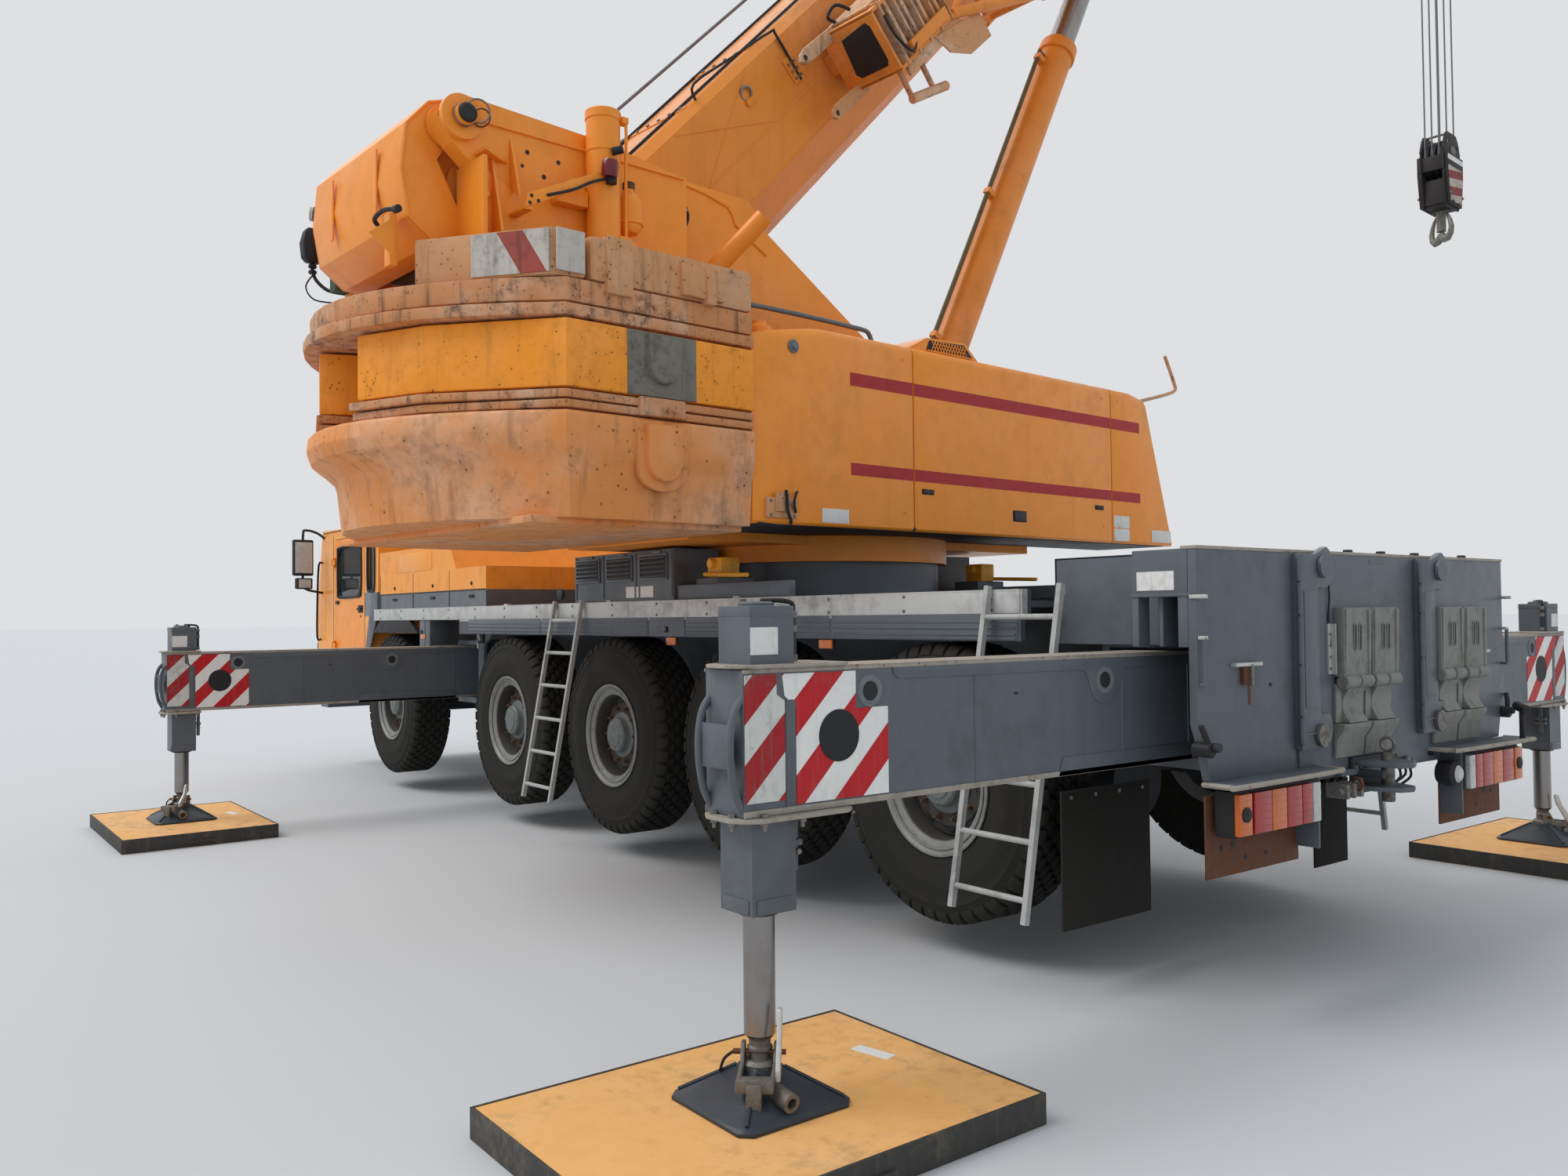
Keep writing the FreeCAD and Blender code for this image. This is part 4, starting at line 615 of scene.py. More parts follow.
FINISHES = (
    Finish("orange_gloss", ORANGE, 0.30, 0.10, 0.10, 0.02, 0.08, coat=0.12, bump=0.03, scale=0.6),
    Finish("boom_orange", (0.80, 0.255, 0.024), 0.34, 0.16, 0.22, 0.03, 0.10, coat=0.08, bump=0.04, scale=0.5),
    Finish("cab_paint", (0.94, 0.345, 0.032), 0.26, 0.10, 0.08, 0.0, 0.06, coat=0.25, bump=0.02,
           scale=0.8, zones=(
        Zone((3.8, 2.0, 1.70), (4.35, 6.0, 1.95), (0.12, 0.14, 0.16)),
        Zone((3.8, 2.0, 0.9), (6.2, 6.0, 1.14), (0.10, 0.12, 0.14)))),
    Finish("stack_paint", SALMON, 0.48, 0.30, 0.42, 0.35, 0.38, bump=0.22, scale=0.9),
    Finish("heavy_paint", (0.98, 0.330, 0.020), 0.46, 0.12, 0.30, 0.42, 0.05, bump=0.2, scale=1.3),
    Finish("plate_paint", (0.60, 0.25, 0.095), 0.5, 0.75, 0.75, 0.55, 0.35, bump=0.3, scale=1.6),
    Finish("block_paint", (0.62, 0.30, 0.13), 0.48, 0.45, 0.5, 0.5, 0.45, bump=0.3, scale=1.2),
    Finish("stack_dark", (0.11, 0.065, 0.035), 0.7, 0.8, 0.5, 0.6, 0.0, bump=0.3, scale=1.5),
    Finish("lug_grey", (0.20, 0.185, 0.15), 0.55, 0.5, 0.4, 0.3, 0.0, bump=0.3, scale=2.0),
    Finish("carrier_grey", STEEL_GREY, 0.34, 0.22, 0.25, 0.03, 0.0, coat=0.1, bump=0.05, scale=0.8,
           grime_colour=(0.055, 0.05, 0.045)),
    Finish("deck_mixed", (0.085, 0.095, 0.105), 0.42, 0.35, 0.3, 0.05, 0.0, bump=0.08,
           grime_colour=(0.05, 0.045, 0.04), zones=(
               Zone((-6.0, 5.49, 1.64), (4.0, 5.56, 1.80), (0.50, 0.50, 0.48)),
               Zone((-6.0, 2.74, 1.64), (4.0, 2.81, 1.80), (0.50, 0.50, 0.48)),
               Zone((-6.0, 5.525, 0.2), (4.0, 6.0, 1.81), (0.42, 0.42, 0.40)),
               Zone((-6.0, 2.2, 0.2), (4.0, 2.775, 1.81), (0.42, 0.42, 0.40)))),
    Finish("housing_mixed", (0.93, 0.335, 0.032), 0.32, 0.15, 0.15, 0.03, 0.06, coat=0.15, bump=0.05,
           grime_colour=(0.05, 0.045, 0.04), zones=(
               Zone((1.0, 2.5, 1.6), (3.9, 5.8, 1.912), (0.105, 0.120, 0.135)),
               Zone((-2.3, 2.5, 1.6), (-0.4, 5.8, 2.2), (0.075, 0.085, 0.095)))),
    Finish("dark_frame", (0.030, 0.034, 0.040), 0.5, 0.5, 0.3, 0.08, 0.0, bump=0.15),
    Finish("bright_alloy", (0.56, 0.56, 0.54), 0.36, 0.30, 0.2, 0.0, 0.0, metallic=0.55, bump=0.05),
    Finish("rubber", (0.026, 0.0245, 0.0215), 0.80, 0.30, 0.0, 0.0, 0.0, bump=0.25, scale=2.0,
           grime_colour=(0.062, 0.052, 0.040), specular=0.2),
    Finish("rim_paint", (0.105, 0.115, 0.118), 0.48, 0.5, 0.2, 0.25, 0.0, metallic=0.2, bump=0.2, scale=2.5,
           grime_colour=(0.09, 0.075, 0.06)),
    Finish("nut_steel", (0.22, 0.215, 0.20), 0.42, 0.5, 0.0, 0.5, 0.0, metallic=0.7, bump=0.2, scale=4.0),
    Finish("chrome", (0.30, 0.285, 0.275), 0.16, 0.2, 0.35, 0.0, 0.0, metallic=1.0, bump=0.01,
           grime_colour=(0.12, 0.105, 0.09)),
    Finish("plate_steel", (0.060, 0.062, 0.066), 0.5, 0.5, 0.3, 0.35, 0.0, metallic=0.5, bump=0.2, scale=2.0),
    Finish("rusty", (0.13, 0.055, 0.030), 0.62, 0.4, 0.3, 0.9, 0.0, metallic=0.1, bump=0.35, scale=3.0),
    Finish("plywood", (0.80, 0.42, 0.14), 0.6, 0.30, 0.0, 0.15, 0.12, bump=0.15, scale=1.2,
           grime_colour=(0.13, 0.09, 0.05)),
    Finish("wire", (0.19, 0.19, 0.20), 0.42, 0.2, 0.0, 0.1, 0.0, metallic=0.7, bump=0.2, scale=8.0),
    Finish("black", (0.016, 0.016, 0.018), 0.45, 0.3, 0.1, 0.0, 0.0, bump=0.06,
           grime_colour=(0.06, 0.055, 0.05)),
    Finish("white_sheet", WHITE, 0.4, 0.25, 0.3, 0.05, 0.0, bump=0.02, scale=3.0,
           grime_colour=(0.22, 0.19, 0.15)),
    Finish("red_stripe", RED, 0.35, 0.15, 0.2, 0.0, 0.0, bump=0.02, scale=2.0),
    Finish("hook_paint", (0.035, 0.033, 0.032), 0.5, 0.5, 0.3, 0.35, 0.0, metallic=0.4, bump=0.25, scale=3.0),
    Finish("lens_red", (0.40, 0.012, 0.010), 0.16, 0.3, 0.2, 0.0, 0.0, coat=0.6, bump=0.05, scale=5.0),
    Finish("lens_amber", (0.62, 0.13, 0.012), 0.16, 0.3, 0.2, 0.0, 0.0, coat=0.6, bump=0.05, scale=5.0),
    Finish("lens_clear", (0.52, 0.52, 0.50), 0.12, 0.3, 0.2, 0.0, 0.0, coat=0.7, bump=0.05, scale=5.0),
    Finish("cloth", (0.05, 0.055, 0.065), 0.85, 0.2, 0.0, 0.0, 0.0, bump=0.3, scale=12.0),
    Finish("faded_white", (0.56, 0.50, 0.44), 0.5, 0.4, 0.5, 0.25, 0.0, bump=0.1, scale=2.0),
    Finish("faded_red", (0.36, 0.07, 0.05), 0.5, 0.4, 0.5, 0.25, 0.0, bump=0.1, scale=2.0),
    Finish("worn_edge", (0.36, 0.325, 0.28), 0.5, 0.35, 0.35, 0.42, 0.0, metallic=0.25, bump=0.2, scale=2.0,
           grime_colour=(0.11, 0.085, 0.065)),
    Finish("worn_steel", (0.20, 0.19, 0.165), 0.45, 0.45, 0.25, 0.5, 0.0, metallic=0.6, bump=0.25, scale=4.0),
    Finish("chock_alloy", (0.235, 0.24, 0.215), 0.5, 0.35, 0.5, 0.02, 0.0, metallic=0.3, bump=0.18, scale=2.5,
           grime_colour=(0.085, 0.085, 0.07)),
    Finish("foot_paint", (0.030, 0.038, 0.048), 0.36, 0.55, 0.1, 0.25, 0.0, metallic=0.2, coat=0.15, bump=0.25,
           scale=5.0, grime_colour=(0.06, 0.055, 0.05)),
    Finish("mat_edge", (0.060, 0.058, 0.055), 0.55, 0.5, 0.3, 0.4, 0.0, metallic=0.4, bump=0.3, scale=3.0,
           grime_colour=(0.20, 0.17, 0.13)),
    Finish("stripe_sheet", (0.80, 0.79, 0.76), 0.32, 0.10, 0.18, 0.0, 0.0, bump=0.02, scale=2.5,
           grime_colour=(0.30, 0.27, 0.22), bars=((0.50, 0.006, 0.012), (0, 0.7071, 0.7071), 0.176, 0.15)),
    Finish("stripe_worn", (0.62, 0.62, 0.58), 0.4, 0.4, 0.5, 0.05, 0.0, bump=0.05, scale=4.0,
           grime_colour=(0.16, 0.15, 0.13), bars=((0.36, 0.010, 0.014), (0, 0.7071, 0.7071), 0.176, 0.15)),
    Finish("rim_lip", (0.25, 0.25, 0.235), 0.42, 0.45, 0.3, 0.3, 0.0, metallic=0.35, bump=0.2, scale=2.5,
           grime_colour=(0.085, 0.075, 0.062)),
    # Dark finish of the rim's inner barrel and disc: painted shade inside the rim, over real rust and grime.
    Finish("rim_dish", (0.060, 0.058, 0.052), 0.6, 0.6, 0.3, 0.55, 0.0, metallic=0.2, bump=0.25, scale=2.5,
           grime_colour=(0.075, 0.055, 0.040)),
    Finish("hub_paint", (0.155, 0.172, 0.165), 0.45, 0.5, 0.3, 0.2, 0.0, metallic=0.15, bump=0.2, scale=3.0,
           grime_colour=(0.09, 0.08, 0.068)),
    Finish("nut_rust", (0.13, 0.085, 0.055), 0.6, 0.5, 0.0, 0.7, 0.0, metallic=0.4, bump=0.3, scale=4.0),
    Finish("latch_paint", (0.90, 0.42, 0.03), 0.35, 0.2, 0.2, 0.05, 0.05, coat=0.1, bump=0.06, scale=3.0),
    Finish("bush_grey", (0.16, 0.175, 0.185), 0.4, 0.3, 0.2, 0.1, 0.0, bump=0.1, scale=3.0),
    Finish("lens_dark_red", (0.16, 0.006, 0.012), 0.2, 0.3, 0.2, 0.0, 0.0, coat=0.4, bump=0.05, scale=5.0),
    Finish("olive_pipe", (0.13, 0.095, 0.04), 0.45, 0.4, 0.3, 0.3, 0.0, bump=0.1, scale=3.0),
    Finish("hook_stripes", (0.50, 0.44, 0.37), 0.55, 0.7, 0.6, 0.6, 0.0, bump=0.2, scale=3.0,
           grime_colour=(0.05, 0.04, 0.03), bars=((0.24, 0.045, 0.035), (0.9, 0, -0.44), 0.10, 0.03)),
    Finish("green_cast", (0.06, 0.10, 0.075), 0.5, 0.3, 0.1, 0.1, 0.0, bump=0.2, scale=6.0),
)


def glass() -> bpy.types.Material:
    """Makes tinted window glass.

    Returns:
        The material.
    """
    material = bpy.data.materials.new("window_glass")
    material.use_nodes = True
    tree = Tree(material.node_tree)
    shader = material.node_tree.nodes["Principled BSDF"]
    where = tree.add("ShaderNodeTexCoord").outputs["Object"]
    haze = tree.noise(where, 1.7, 4)
    tone = tree.mix(tree.step(haze, 0.35, 0.75), (0.020, 0.030, 0.034), (0.05, 0.062, 0.066))
    tree.tree.links.new(tone, shader.inputs["Base Color"])
    tree.tree.links.new(tree.math("MULTIPLY", haze, 0.14), shader.inputs["Roughness"])
    tree.tree.links.new(tree.math("ADD", 0.66, tree.math("MULTIPLY", haze, 0.2)), shader.inputs["Alpha"])
    shader.inputs["IOR"].default_value = 1.5
    return material


CAD_FINISH = { "tyre": "rubber", "rim": "rim_paint", "knuckle": "dark_frame", "axles": "dark_frame",
    "chassis_frame": "carrier_grey", "deck": "deck_mixed", "engine_housing": "housing_mixed",
    "tail_frame": "carrier_grey", "outrigger_beam": "carrier_grey", "jack": "chrome", "mats": "plywood",
    "cab_door": "orange_gloss", "cab": "cab_paint", "upper_frame": "orange_gloss",
    "side_covers": "orange_gloss", "counterweight": "stack_paint", "winch_drum": "wire",
    "operator": "orange_gloss", "boom": "boom_orange", "luff_barrel": "boom_orange", "luff_rod": "chrome",
    "hook_falls": "wire", "hook_block": "hook_paint", "folding_jib": "boom_orange", }


def dress_cad() -> None:
    """Gives each CAD node its finish."""
    for name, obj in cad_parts.items():
        keys = [key for key in CAD_FINISH if name.startswith(key)]
        finish = CAD_FINISH[max(keys, key=len)]
        obj.data.materials.clear()
        obj.data.materials.append(bpy.data.materials[finish])


@dataclass
class Studio:
    """Floor, light and the camera of the photograph."""

    eye: Point = (-8.540, 9.658, 1.652)
    yaw: float = math.radians(-37.38)
    pitch: float = math.radians(1.36)
    roll: float = -0.0102
    lens: float = 27.67

    def build(self) -> None:
        """Makes the floor, the lamps, the world and the camera."""
        self.floor()
        self.lamps()
        self.camera()

    def floor(self) -> None:
        """Lays a plain pale floor."""
        data = bpy.data.meshes.new("floor")
        size = 400
        data.from_pydata([(-size, -size, 0), (size, -size, 0), (size, size, 0), (-size, size, 0)], [],
            [(0, 1, 2, 3)])
        material = bpy.data.materials.new("floor_grey")
        material.use_nodes = True
        shader = material.node_tree.nodes["Principled BSDF"]
        shader.inputs["Base Color"].default_value = (0.56, 0.56, 0.56, 1)
        shader.inputs["Roughness"].default_value = 0.9
        data.materials.append(material)
        obj = bpy.data.objects.new("floor", data)
        bpy.context.scene.collection.objects.link(obj)

    def lamps(self) -> None:
        """Sets a soft sky and one broad sun."""
        world = bpy.data.worlds.new("sky")
        world.use_nodes = True
        bpy.context.scene.world = world
        tree = Tree(world.node_tree)
        back = world.node_tree.nodes["Background"]
        path = tree.add("ShaderNodeLightPath")
        seen = tree.math("MAXIMUM", path.outputs["Is Camera Ray"], tree.math("MAXIMUM",
            path.outputs["Is Glossy Ray"], path.outputs["Is Transmission Ray"]))
        tree.tree.links.new(tree.mix(seen, (0.86, 0.93, 1.0), (0.80, 0.81, 0.83)), back.inputs["Color"])
        tree.tree.links.new(tree.math("ADD", 0.78, tree.math("MULTIPLY", seen, 0.14)),
            back.inputs["Strength"])
        for name, power, tilt, turn, angle in (("sun", 1.5, 38, 150, 35), ("fill", 0.5, 55, 60, 60)):
            lamp = bpy.data.lights.new(name, "SUN")
            lamp.energy = power
            lamp.angle = math.radians(angle)
            obj = bpy.data.objects.new(name, lamp)
            obj.rotation_euler = (math.radians(tilt), 0, math.radians(turn))
            bpy.context.scene.collection.objects.link(obj)

    def camera(self) -> None:
        """Stands the camera where the photograph was taken."""
        ahead = Vector((math.cos(self.yaw) * math.cos(self.pitch), math.sin(self.yaw) * math.cos(self.pitch),
            math.sin(self.pitch)))
        right = Vector((math.sin(self.yaw), -math.cos(self.yaw), 0))
        up = right.cross(ahead)
        tilted = math.cos(self.roll) * right + math.sin(self.roll) * up
        upright = -math.sin(self.roll) * right + math.cos(self.roll) * up
        turn = Matrix((tilted, upright, -ahead)).transposed().to_4x4()
        data = bpy.data.cameras.new("camera")
        data.lens = self.lens
        data.sensor_width = 36
        data.clip_end = 1000
        obj = bpy.data.objects.new("camera", data)
        obj.matrix_world = Matrix.Translation(self.eye) @ turn
        bpy.context.scene.collection.objects.link(obj)
        bpy.context.scene.camera = obj
        bpy.context.scene.view_settings.view_transform = "Standard"


@dataclass
class Counterweight:
    """Stack of cast slabs on the back of the upper works, with its lugs and top blocks."""

    front: float = -1.648
    corner: float = -2.86
    half: float = 1.31
    layers: tuple = (("low_plate", 2.700, 2.742, -3.50, 0.155), ("mid_plate", 2.750, 2.794, -3.52, 0.155),
        ("heavy", 2.803, 3.146, -3.49, 0.150))

    def build(self) -> None:
        """Builds the stack as one piece that stands for the plain one."""
        form = Form("counterweight_stack", Place.UPPER, 0.018)
        self.bottom(form)
        self.middle(form)
        self.top(form)
        self.lugs(form)
        piece = form.make("upper")
        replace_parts(piece, "counterweight")

    def bow(self, reach: float, inset: float = 0.0, steps: int = 14) -> list[Point]:
        """Returns the rear line of a slab that bows out to a reach.

        Args:
            reach: x of the middle of the line.
            inset: distance that the corners step in.
            steps: straight runs that make the line.
        """
        half, corner = self.half - inset, self.corner + inset
        rise = corner - reach
        line = []
        for i in range(steps + 1):
            y = half * (1 - 2 * i / steps)
            line.append((corner - rise * (1 - (y / half) ** 2), y))
        return line

    def bottom(self, form: Form) -> None:
        """Adds the base slab, whose upper half flares into a lip behind."""
        sections = ((2.160, -3.36, 0.05), (2.40, -3.385, 0.03), (2.45, -3.40, 0.02), (2.50, -3.47, 0.0),
            (2.535, -3.55, 0.0), (2.60, -3.58, -0.004), (2.675, -3.57, -0.002), (2.690, -3.55, 0.012))
        rings = []
        for level, reach, inset in sections:
            line = [(self.front, self.half - inset)] + self.bow(reach, inset) + [(self.front,
                inset - self.half)]
            rings.append([(x, y, level) for x, y in line])
        self.loft(form, rings, "stack_paint")
        form.box((-3.0, -1.66), (-1.2, 1.2), (2.13, 2.17), "stack_paint", 0.01)

    def loft(self, form: Form, rings: Sequence[Sequence[Point]], finish: str) -> None:
        """Adds a solid through closed outlines of equal length."""
        count = len(rings[0])
        points = [p for ring in rings for p in ring]
        faces = [tuple(range(count)), tuple(range(count * (len(rings) - 1), count * len(rings)))]
        for k in range(len(rings) - 1):
            for i in range(count):
                j = (i + 1) % count
                faces.append((k * count + i, k * count + j, (k + 1) * count + j, (k + 1) * count + i))
        form.shape(points, faces, finish, 0.006)

    def middle(self, form: Form) -> None:
        """Adds the split plates and heavy blocks, with the recess between them."""
        # A dark core fills the stack between the plate halves: its colour is painted shade at the back of the
        # recess.
        form.prism("xy", [(self.front, self.half - 0.05), (-2.72, self.half - 0.05), (-3.24, 0.30),
            (-3.24, -0.30), (-2.72, 0.05 - self.half), (self.front, 0.05 - self.half)], 2.62, 3.20,
            "stack_dark", 0.0)
        for word, low, high, rear, gap in self.layers:
            for _, side in SIDES:
                finish = "heavy_paint" if word == "heavy" else "plate_paint"
                shrink = 0.0 if word == "heavy" else 0.006
                start = 0.115 if word == "heavy" else 0.07
                outline = [(self.front, side * (self.half - shrink)), (self.corner + shrink,
                    side * (self.half - shrink)), (self.corner - 0.02, side * (self.half - 0.03)),
                    (rear + 0.17, side * 0.70), (rear, side * (gap + start)), (rear + 0.24, side * gap),
                    (self.front, side * gap)]
                form.prism("xy", outline, low, high, finish, 0.016 if word == "heavy" else 0.012)
        form.prism("xy", [(self.front, 0.6), (-2.78, 0.6), (-2.78, -0.6), (self.front, -0.6)], 3.0, 3.06,
            "stack_dark", 0.0)

    def top(self, form: Form) -> None:
        """Adds the thin bowed plates, the corner blocks and the striped block."""
        for low, high, reach, inset in ((3.158, 3.222, -3.60, 0.0), (3.232, 3.352, -3.56, 0.012)):
            line = [(self.front, self.half - inset)] + self.bow(reach, inset) + [(self.front,
                inset - self.half), (self.front, -0.57), (-2.76, -0.57), (-2.76, 0.57), (self.front, 0.57)]
            form.prism("xy", line, low, high, "plate_paint", 0.012)
        for word, side in SIDES:
            block = [(-2.71, side * 1.298), (-2.70, side * 1.02), (-2.30, side * 0.80),
                (self.front, side * 0.80), (self.front, side * 1.298)]
            form.prism("xy", block, 3.356, 3.588, "block_paint", 0.03)
            for x0, x1, z0, z1, out in ((-2.62, -2.46, 3.30, 3.60, 0.022), (-2.15, -1.86, 3.37, 3.545, 0.03),
                                        (-2.0, -1.93, 3.34, 3.52, 0.045)):
                form.box((x0, x1), (side * 1.25, side * (1.298 + out)), (z0, z1), "block_paint", 0.018)
        rear = [(-2.735, -1.30), (-2.92, -1.255), (-3.335, -0.62), (-3.19, -0.50), (-2.82, -0.98),
            (-2.735, -1.05)]
        form.prism("xy", rear, 3.356, 3.60, "block_paint", 0.022)
        self.stripes(form)
        for y in (0.35, 0.62, 0.95):
            form.box((-3.10 + 0.28 * (y - 0.35), -2.8 + 0.1 * y), (y, y + 0.24), (3.352, 3.44), "plate_paint",
                0.02)
        form.prism("xy", [(-2.9, 1.27), (-3.1, 1.05), (-2.95, 0.95), (-2.72, 1.05), (-2.72, 1.27)], 3.355,
            3.52, "stack_dark", 0.02)

    def stripes(self, form: Form) -> None:
        """Adds the faded warning bars on the rear block."""
        a, b = Vector((-2.921, -1.258, 0)), Vector((-3.157, -0.897, 0))
        run = (b - a)
        out = Vector((run.y, -run.x, 0)).normalized() * 0.004
        if out.x > 0:
            out = -out
        for i, finish in enumerate(("faded_white", "faded_red", "faded_white")):
            lean = 0.30
            s0, s1 = i / 3, (i + 1) / 3
            low = [a + run * min(1, max(0, s)) for s in (s0 - lean * (i > 0), s1 - lean * (i < 2))]
            high = [a + run * s for s in (s0, s1)]
            corners = [(*(low[0] + out).xy, 3.372), (*(low[1] + out).xy, 3.372), (*(high[1] + out).xy, 3.586),
                (*(high[0] + out).xy, 3.586)]
            back = [(p[0] - out.x * 2, p[1] - out.y * 2, p[2]) for p in corners]
            faces = [(0, 1, 2, 3), (4, 5, 6, 7), (0, 1, 5, 4), (1, 2, 6, 5), (2, 3, 7, 6), (3, 0, 4, 7)]
            form.shape(corners + back, faces, finish, 0.0)
        form.box((-2.905, -2.745), (-1.3045, -1.295), (3.375, 3.585), "faded_white", 0.0)

    def lugs(self, form: Form) -> None:
        """Adds the tongue-shaped lifting lugs and their pads on both sides."""
        for word, side in SIDES:
            for x, low, high, width, finish in ((-2.285, 2.36, 2.66, 0.115, "stack_paint"),
                                                (-2.285, 2.87, 3.125, 0.105, "lug_grey")):
                outline = [(x - width, high), (x - width, low + width)]
                outline += [(x - width * math.cos(t), low + width - width * math.sin(t))
                    for t in (math.pi * k / 8 for k in range(1, 8))]
                outline += [(x + width, low + width), (x + width, high)]
                form.prism("xz", outline, side * 1.28, side * (self.half + 0.045), finish, 0.018)
                wide = [(x + (p - x) * 1.42, low + (q - low) * 1.02 - 0.05) for p, q in outline]
                form.prism("xz", wide, side * 1.29, side * (self.half + 0.010), finish, 0.006)
            form.box((-2.43, -2.14), (side * 1.28, side * (self.half + 0.018)), (2.70, 2.80), "plate_paint",
                0.012)
            form.box((-2.50, -2.06), (side * 1.28, side * (self.half + 0.006)), (2.805, 3.14), "lug_grey",
                0.004)


@dataclass
class RearEnd:
    """Tail of the carrier: rear wall, niches for the jacks, chocks, lamps, coupling and mudflaps."""

    wall: float = -4.09
    half: float = 1.375
    top: float = 1.906
    niches: tuple = ((1, -3.79, -3.2), (-1, -3.60, -3.2))

    def build(self) -> None:
        """Builds the tail as one piece, and the lamps as another."""
        form = Form("tail_detail", Place.CARRIER, 0.006)
        self.plates(form)
        self.side_niches(form)
        for left in (0.68, -0.40):
            self.strap(form, left)
        for start in (0.345, -0.575):
            self.chocks(form, start)
        self.coupling(form)
        self.latch(form)
        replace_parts(form.make("carrier"), "tail_frame")
        lamps = Form("tail_lamps", Place.CARRIER, 0.004)
        for side in (1, -1):
            self.lamp_group(lamps, side)
        lamps.make("carrier")

    def plates(self, form: Form) -> None:
        """Adds the rear wall, the roof and the front plate."""
        half, top = self.half, self.top
        left = [(half, top), (half, 1.21), (1.335, 1.12), (1.30, 0.985), (0.655, 0.975), (0.65, 0.92),
            (0.20, 0.92), (0.20, 0.98)]
        right = [(-y, z) for y, z in reversed(left)]
        form.prism("yz", left + right, self.wall, self.wall + 0.04, "carrier_grey", 0.006)
        for side, front, end in self.niches:
            form.box((self.wall + 0.04, front), (side * 1.15, side * half), (1.715, top), "carrier_grey")
            form.box((self.wall + 0.04, -4.005), (side * 1.30, side * half), (1.515, 1.72), "carrier_grey",
                0.003)
            form.box((front - 0.03, front), (side * 1.30, side * half), (1.515, 1.72), "carrier_grey", 0.003)
        form.box((self.wall + 0.04, -3.2), (-1.15, 1.15), (top - 0.012, top), "carrier_grey", 0.004)
        form.box((-3.215, -3.2), (-1.15, 1.15), (1.665, top), "carrier_grey", 0.004)
        form.box((self.wall - 0.004, self.wall + 0.07), (-half - 0.003, half + 0.003),
            (top - 0.004, top + 0.010), "worn_edge", 0.004)
        form.box((self.wall - 0.012, self.wall), (0.640, 0.668), (0.99, 1.898), "carrier_grey", 0.004)

    def side_niches(self, form: Form) -> None:
        """Adds the niche walls, the recess, the blank plate and the side fittings."""
        for side, front, end in self.niches:
            form.box((front, end), (side * 1.138, side * 1.15), (1.515, self.top), "carrier_grey", 0.003)
            form.box((self.wall + 0.04, front), (side * 1.16, side * 1.20), (1.515, 1.72), "dark_frame",
                0.003)
            form.box((-3.905, -3.885), (side * 1.20, side * 1.33), (1.515, 1.715), "carrier_grey", 0.003)
            form.box((self.wall + 0.02, front), (side * (self.half - 0.002), side * (self.half + 0.005)),
                (1.716, 1.730), "carrier_grey", 0.002)
            form.box((-3.99, -3.815), (side * self.half, side * (self.half + 0.0022)), (1.742, 1.818),
                "white_sheet", 0.0)
            form.box((-4.135, -4.06), (side * (self.half - 0.01), side * (self.half + 0.006)), (1.706, 1.722),
                "bright_alloy", 0.003)
            form.bar((-4.115, side * 1.362, 1.37), (-4.115, side * 1.362, 1.55), 0.009, "carrier_grey", 10)
            form.box((-4.12, -4.09), (side * 1.345, side * 1.372), (1.545, 1.56), "bright_alloy", 0.003)
            form.box((-4.12, -4.09), (side * 1.348, side * 1.372), (1.362, 1.376), "carrier_grey", 0.003)
            form.bar((-4.13, side * 1.345, 1.115), (-4.05, side * 1.345, 1.115), 0.030, "black", 18)
            form.bar((-4.155, side * 1.330, 1.125), (-4.10, side * 1.330, 1.125), 0.018, "dark_frame", 14)
            form.pipe([(-4.10, side * 1.375, 1.21), (-4.11, side * 1.362, 1.17),
                (-4.115, side * 1.348, 1.13)], 0.012, "black", 8, 3)

    def strap(self, form: Form, left: float) -> None:
        """Adds a tall strap with a round lobe at each end.

        Args:
            left: y of its straight edge.
        """
        right = left - 0.155
        outline = [(left, 1.898), (left - 0.13, 1.898)]
        outline += arc((left - 0.187, 1.845), 0.098, 65, -75, 8)
        outline += [(right, 1.752), (right, 1.225)]
        outline += [(right - 0.01, 1.21)] + arc((left - 0.170, 1.147), 0.085, 50, -95, 8)
        outline += [(left, 1.062)]
        form.prism("yz", outline, self.wall - 0.034, self.wall + 0.002, "carrier_grey", 0.008)
        form.prism("yz", [(left - 0.028, 1.74), (right + 0.028, 1.74), (right + 0.028, 1.24),
            (left - 0.028, 1.24)], self.wall - 0.038, self.wall - 0.03, "carrier_grey", 0.003)
        for y, z, tone in ((left - 0.187, 1.845, "carrier_grey"), (left - 0.148, 1.120, "nut_steel")):
            form.lathe([(0.0, 0), (0.046, 0), (0.050, 0.004), (0.050, 0.020), (0.0, 0.020)],
                (self.wall - 0.034, y, z), (-1, 0, 0), tone, 24)
        for low, high in ((1.09, 1.20), (1.21, 1.42), (1.43, 1.63), (1.64, 1.77), (1.78, 1.88)):
            form.bar((self.wall - 0.036, left + 0.004, low), (self.wall - 0.036, left + 0.004, high), 0.013,
                "carrier_grey", 12)
        form.box((self.wall - 0.042, self.wall - 0.030), (left - 0.10, left - 0.004), (1.128, 1.136),
            "carrier_grey", 0.002)

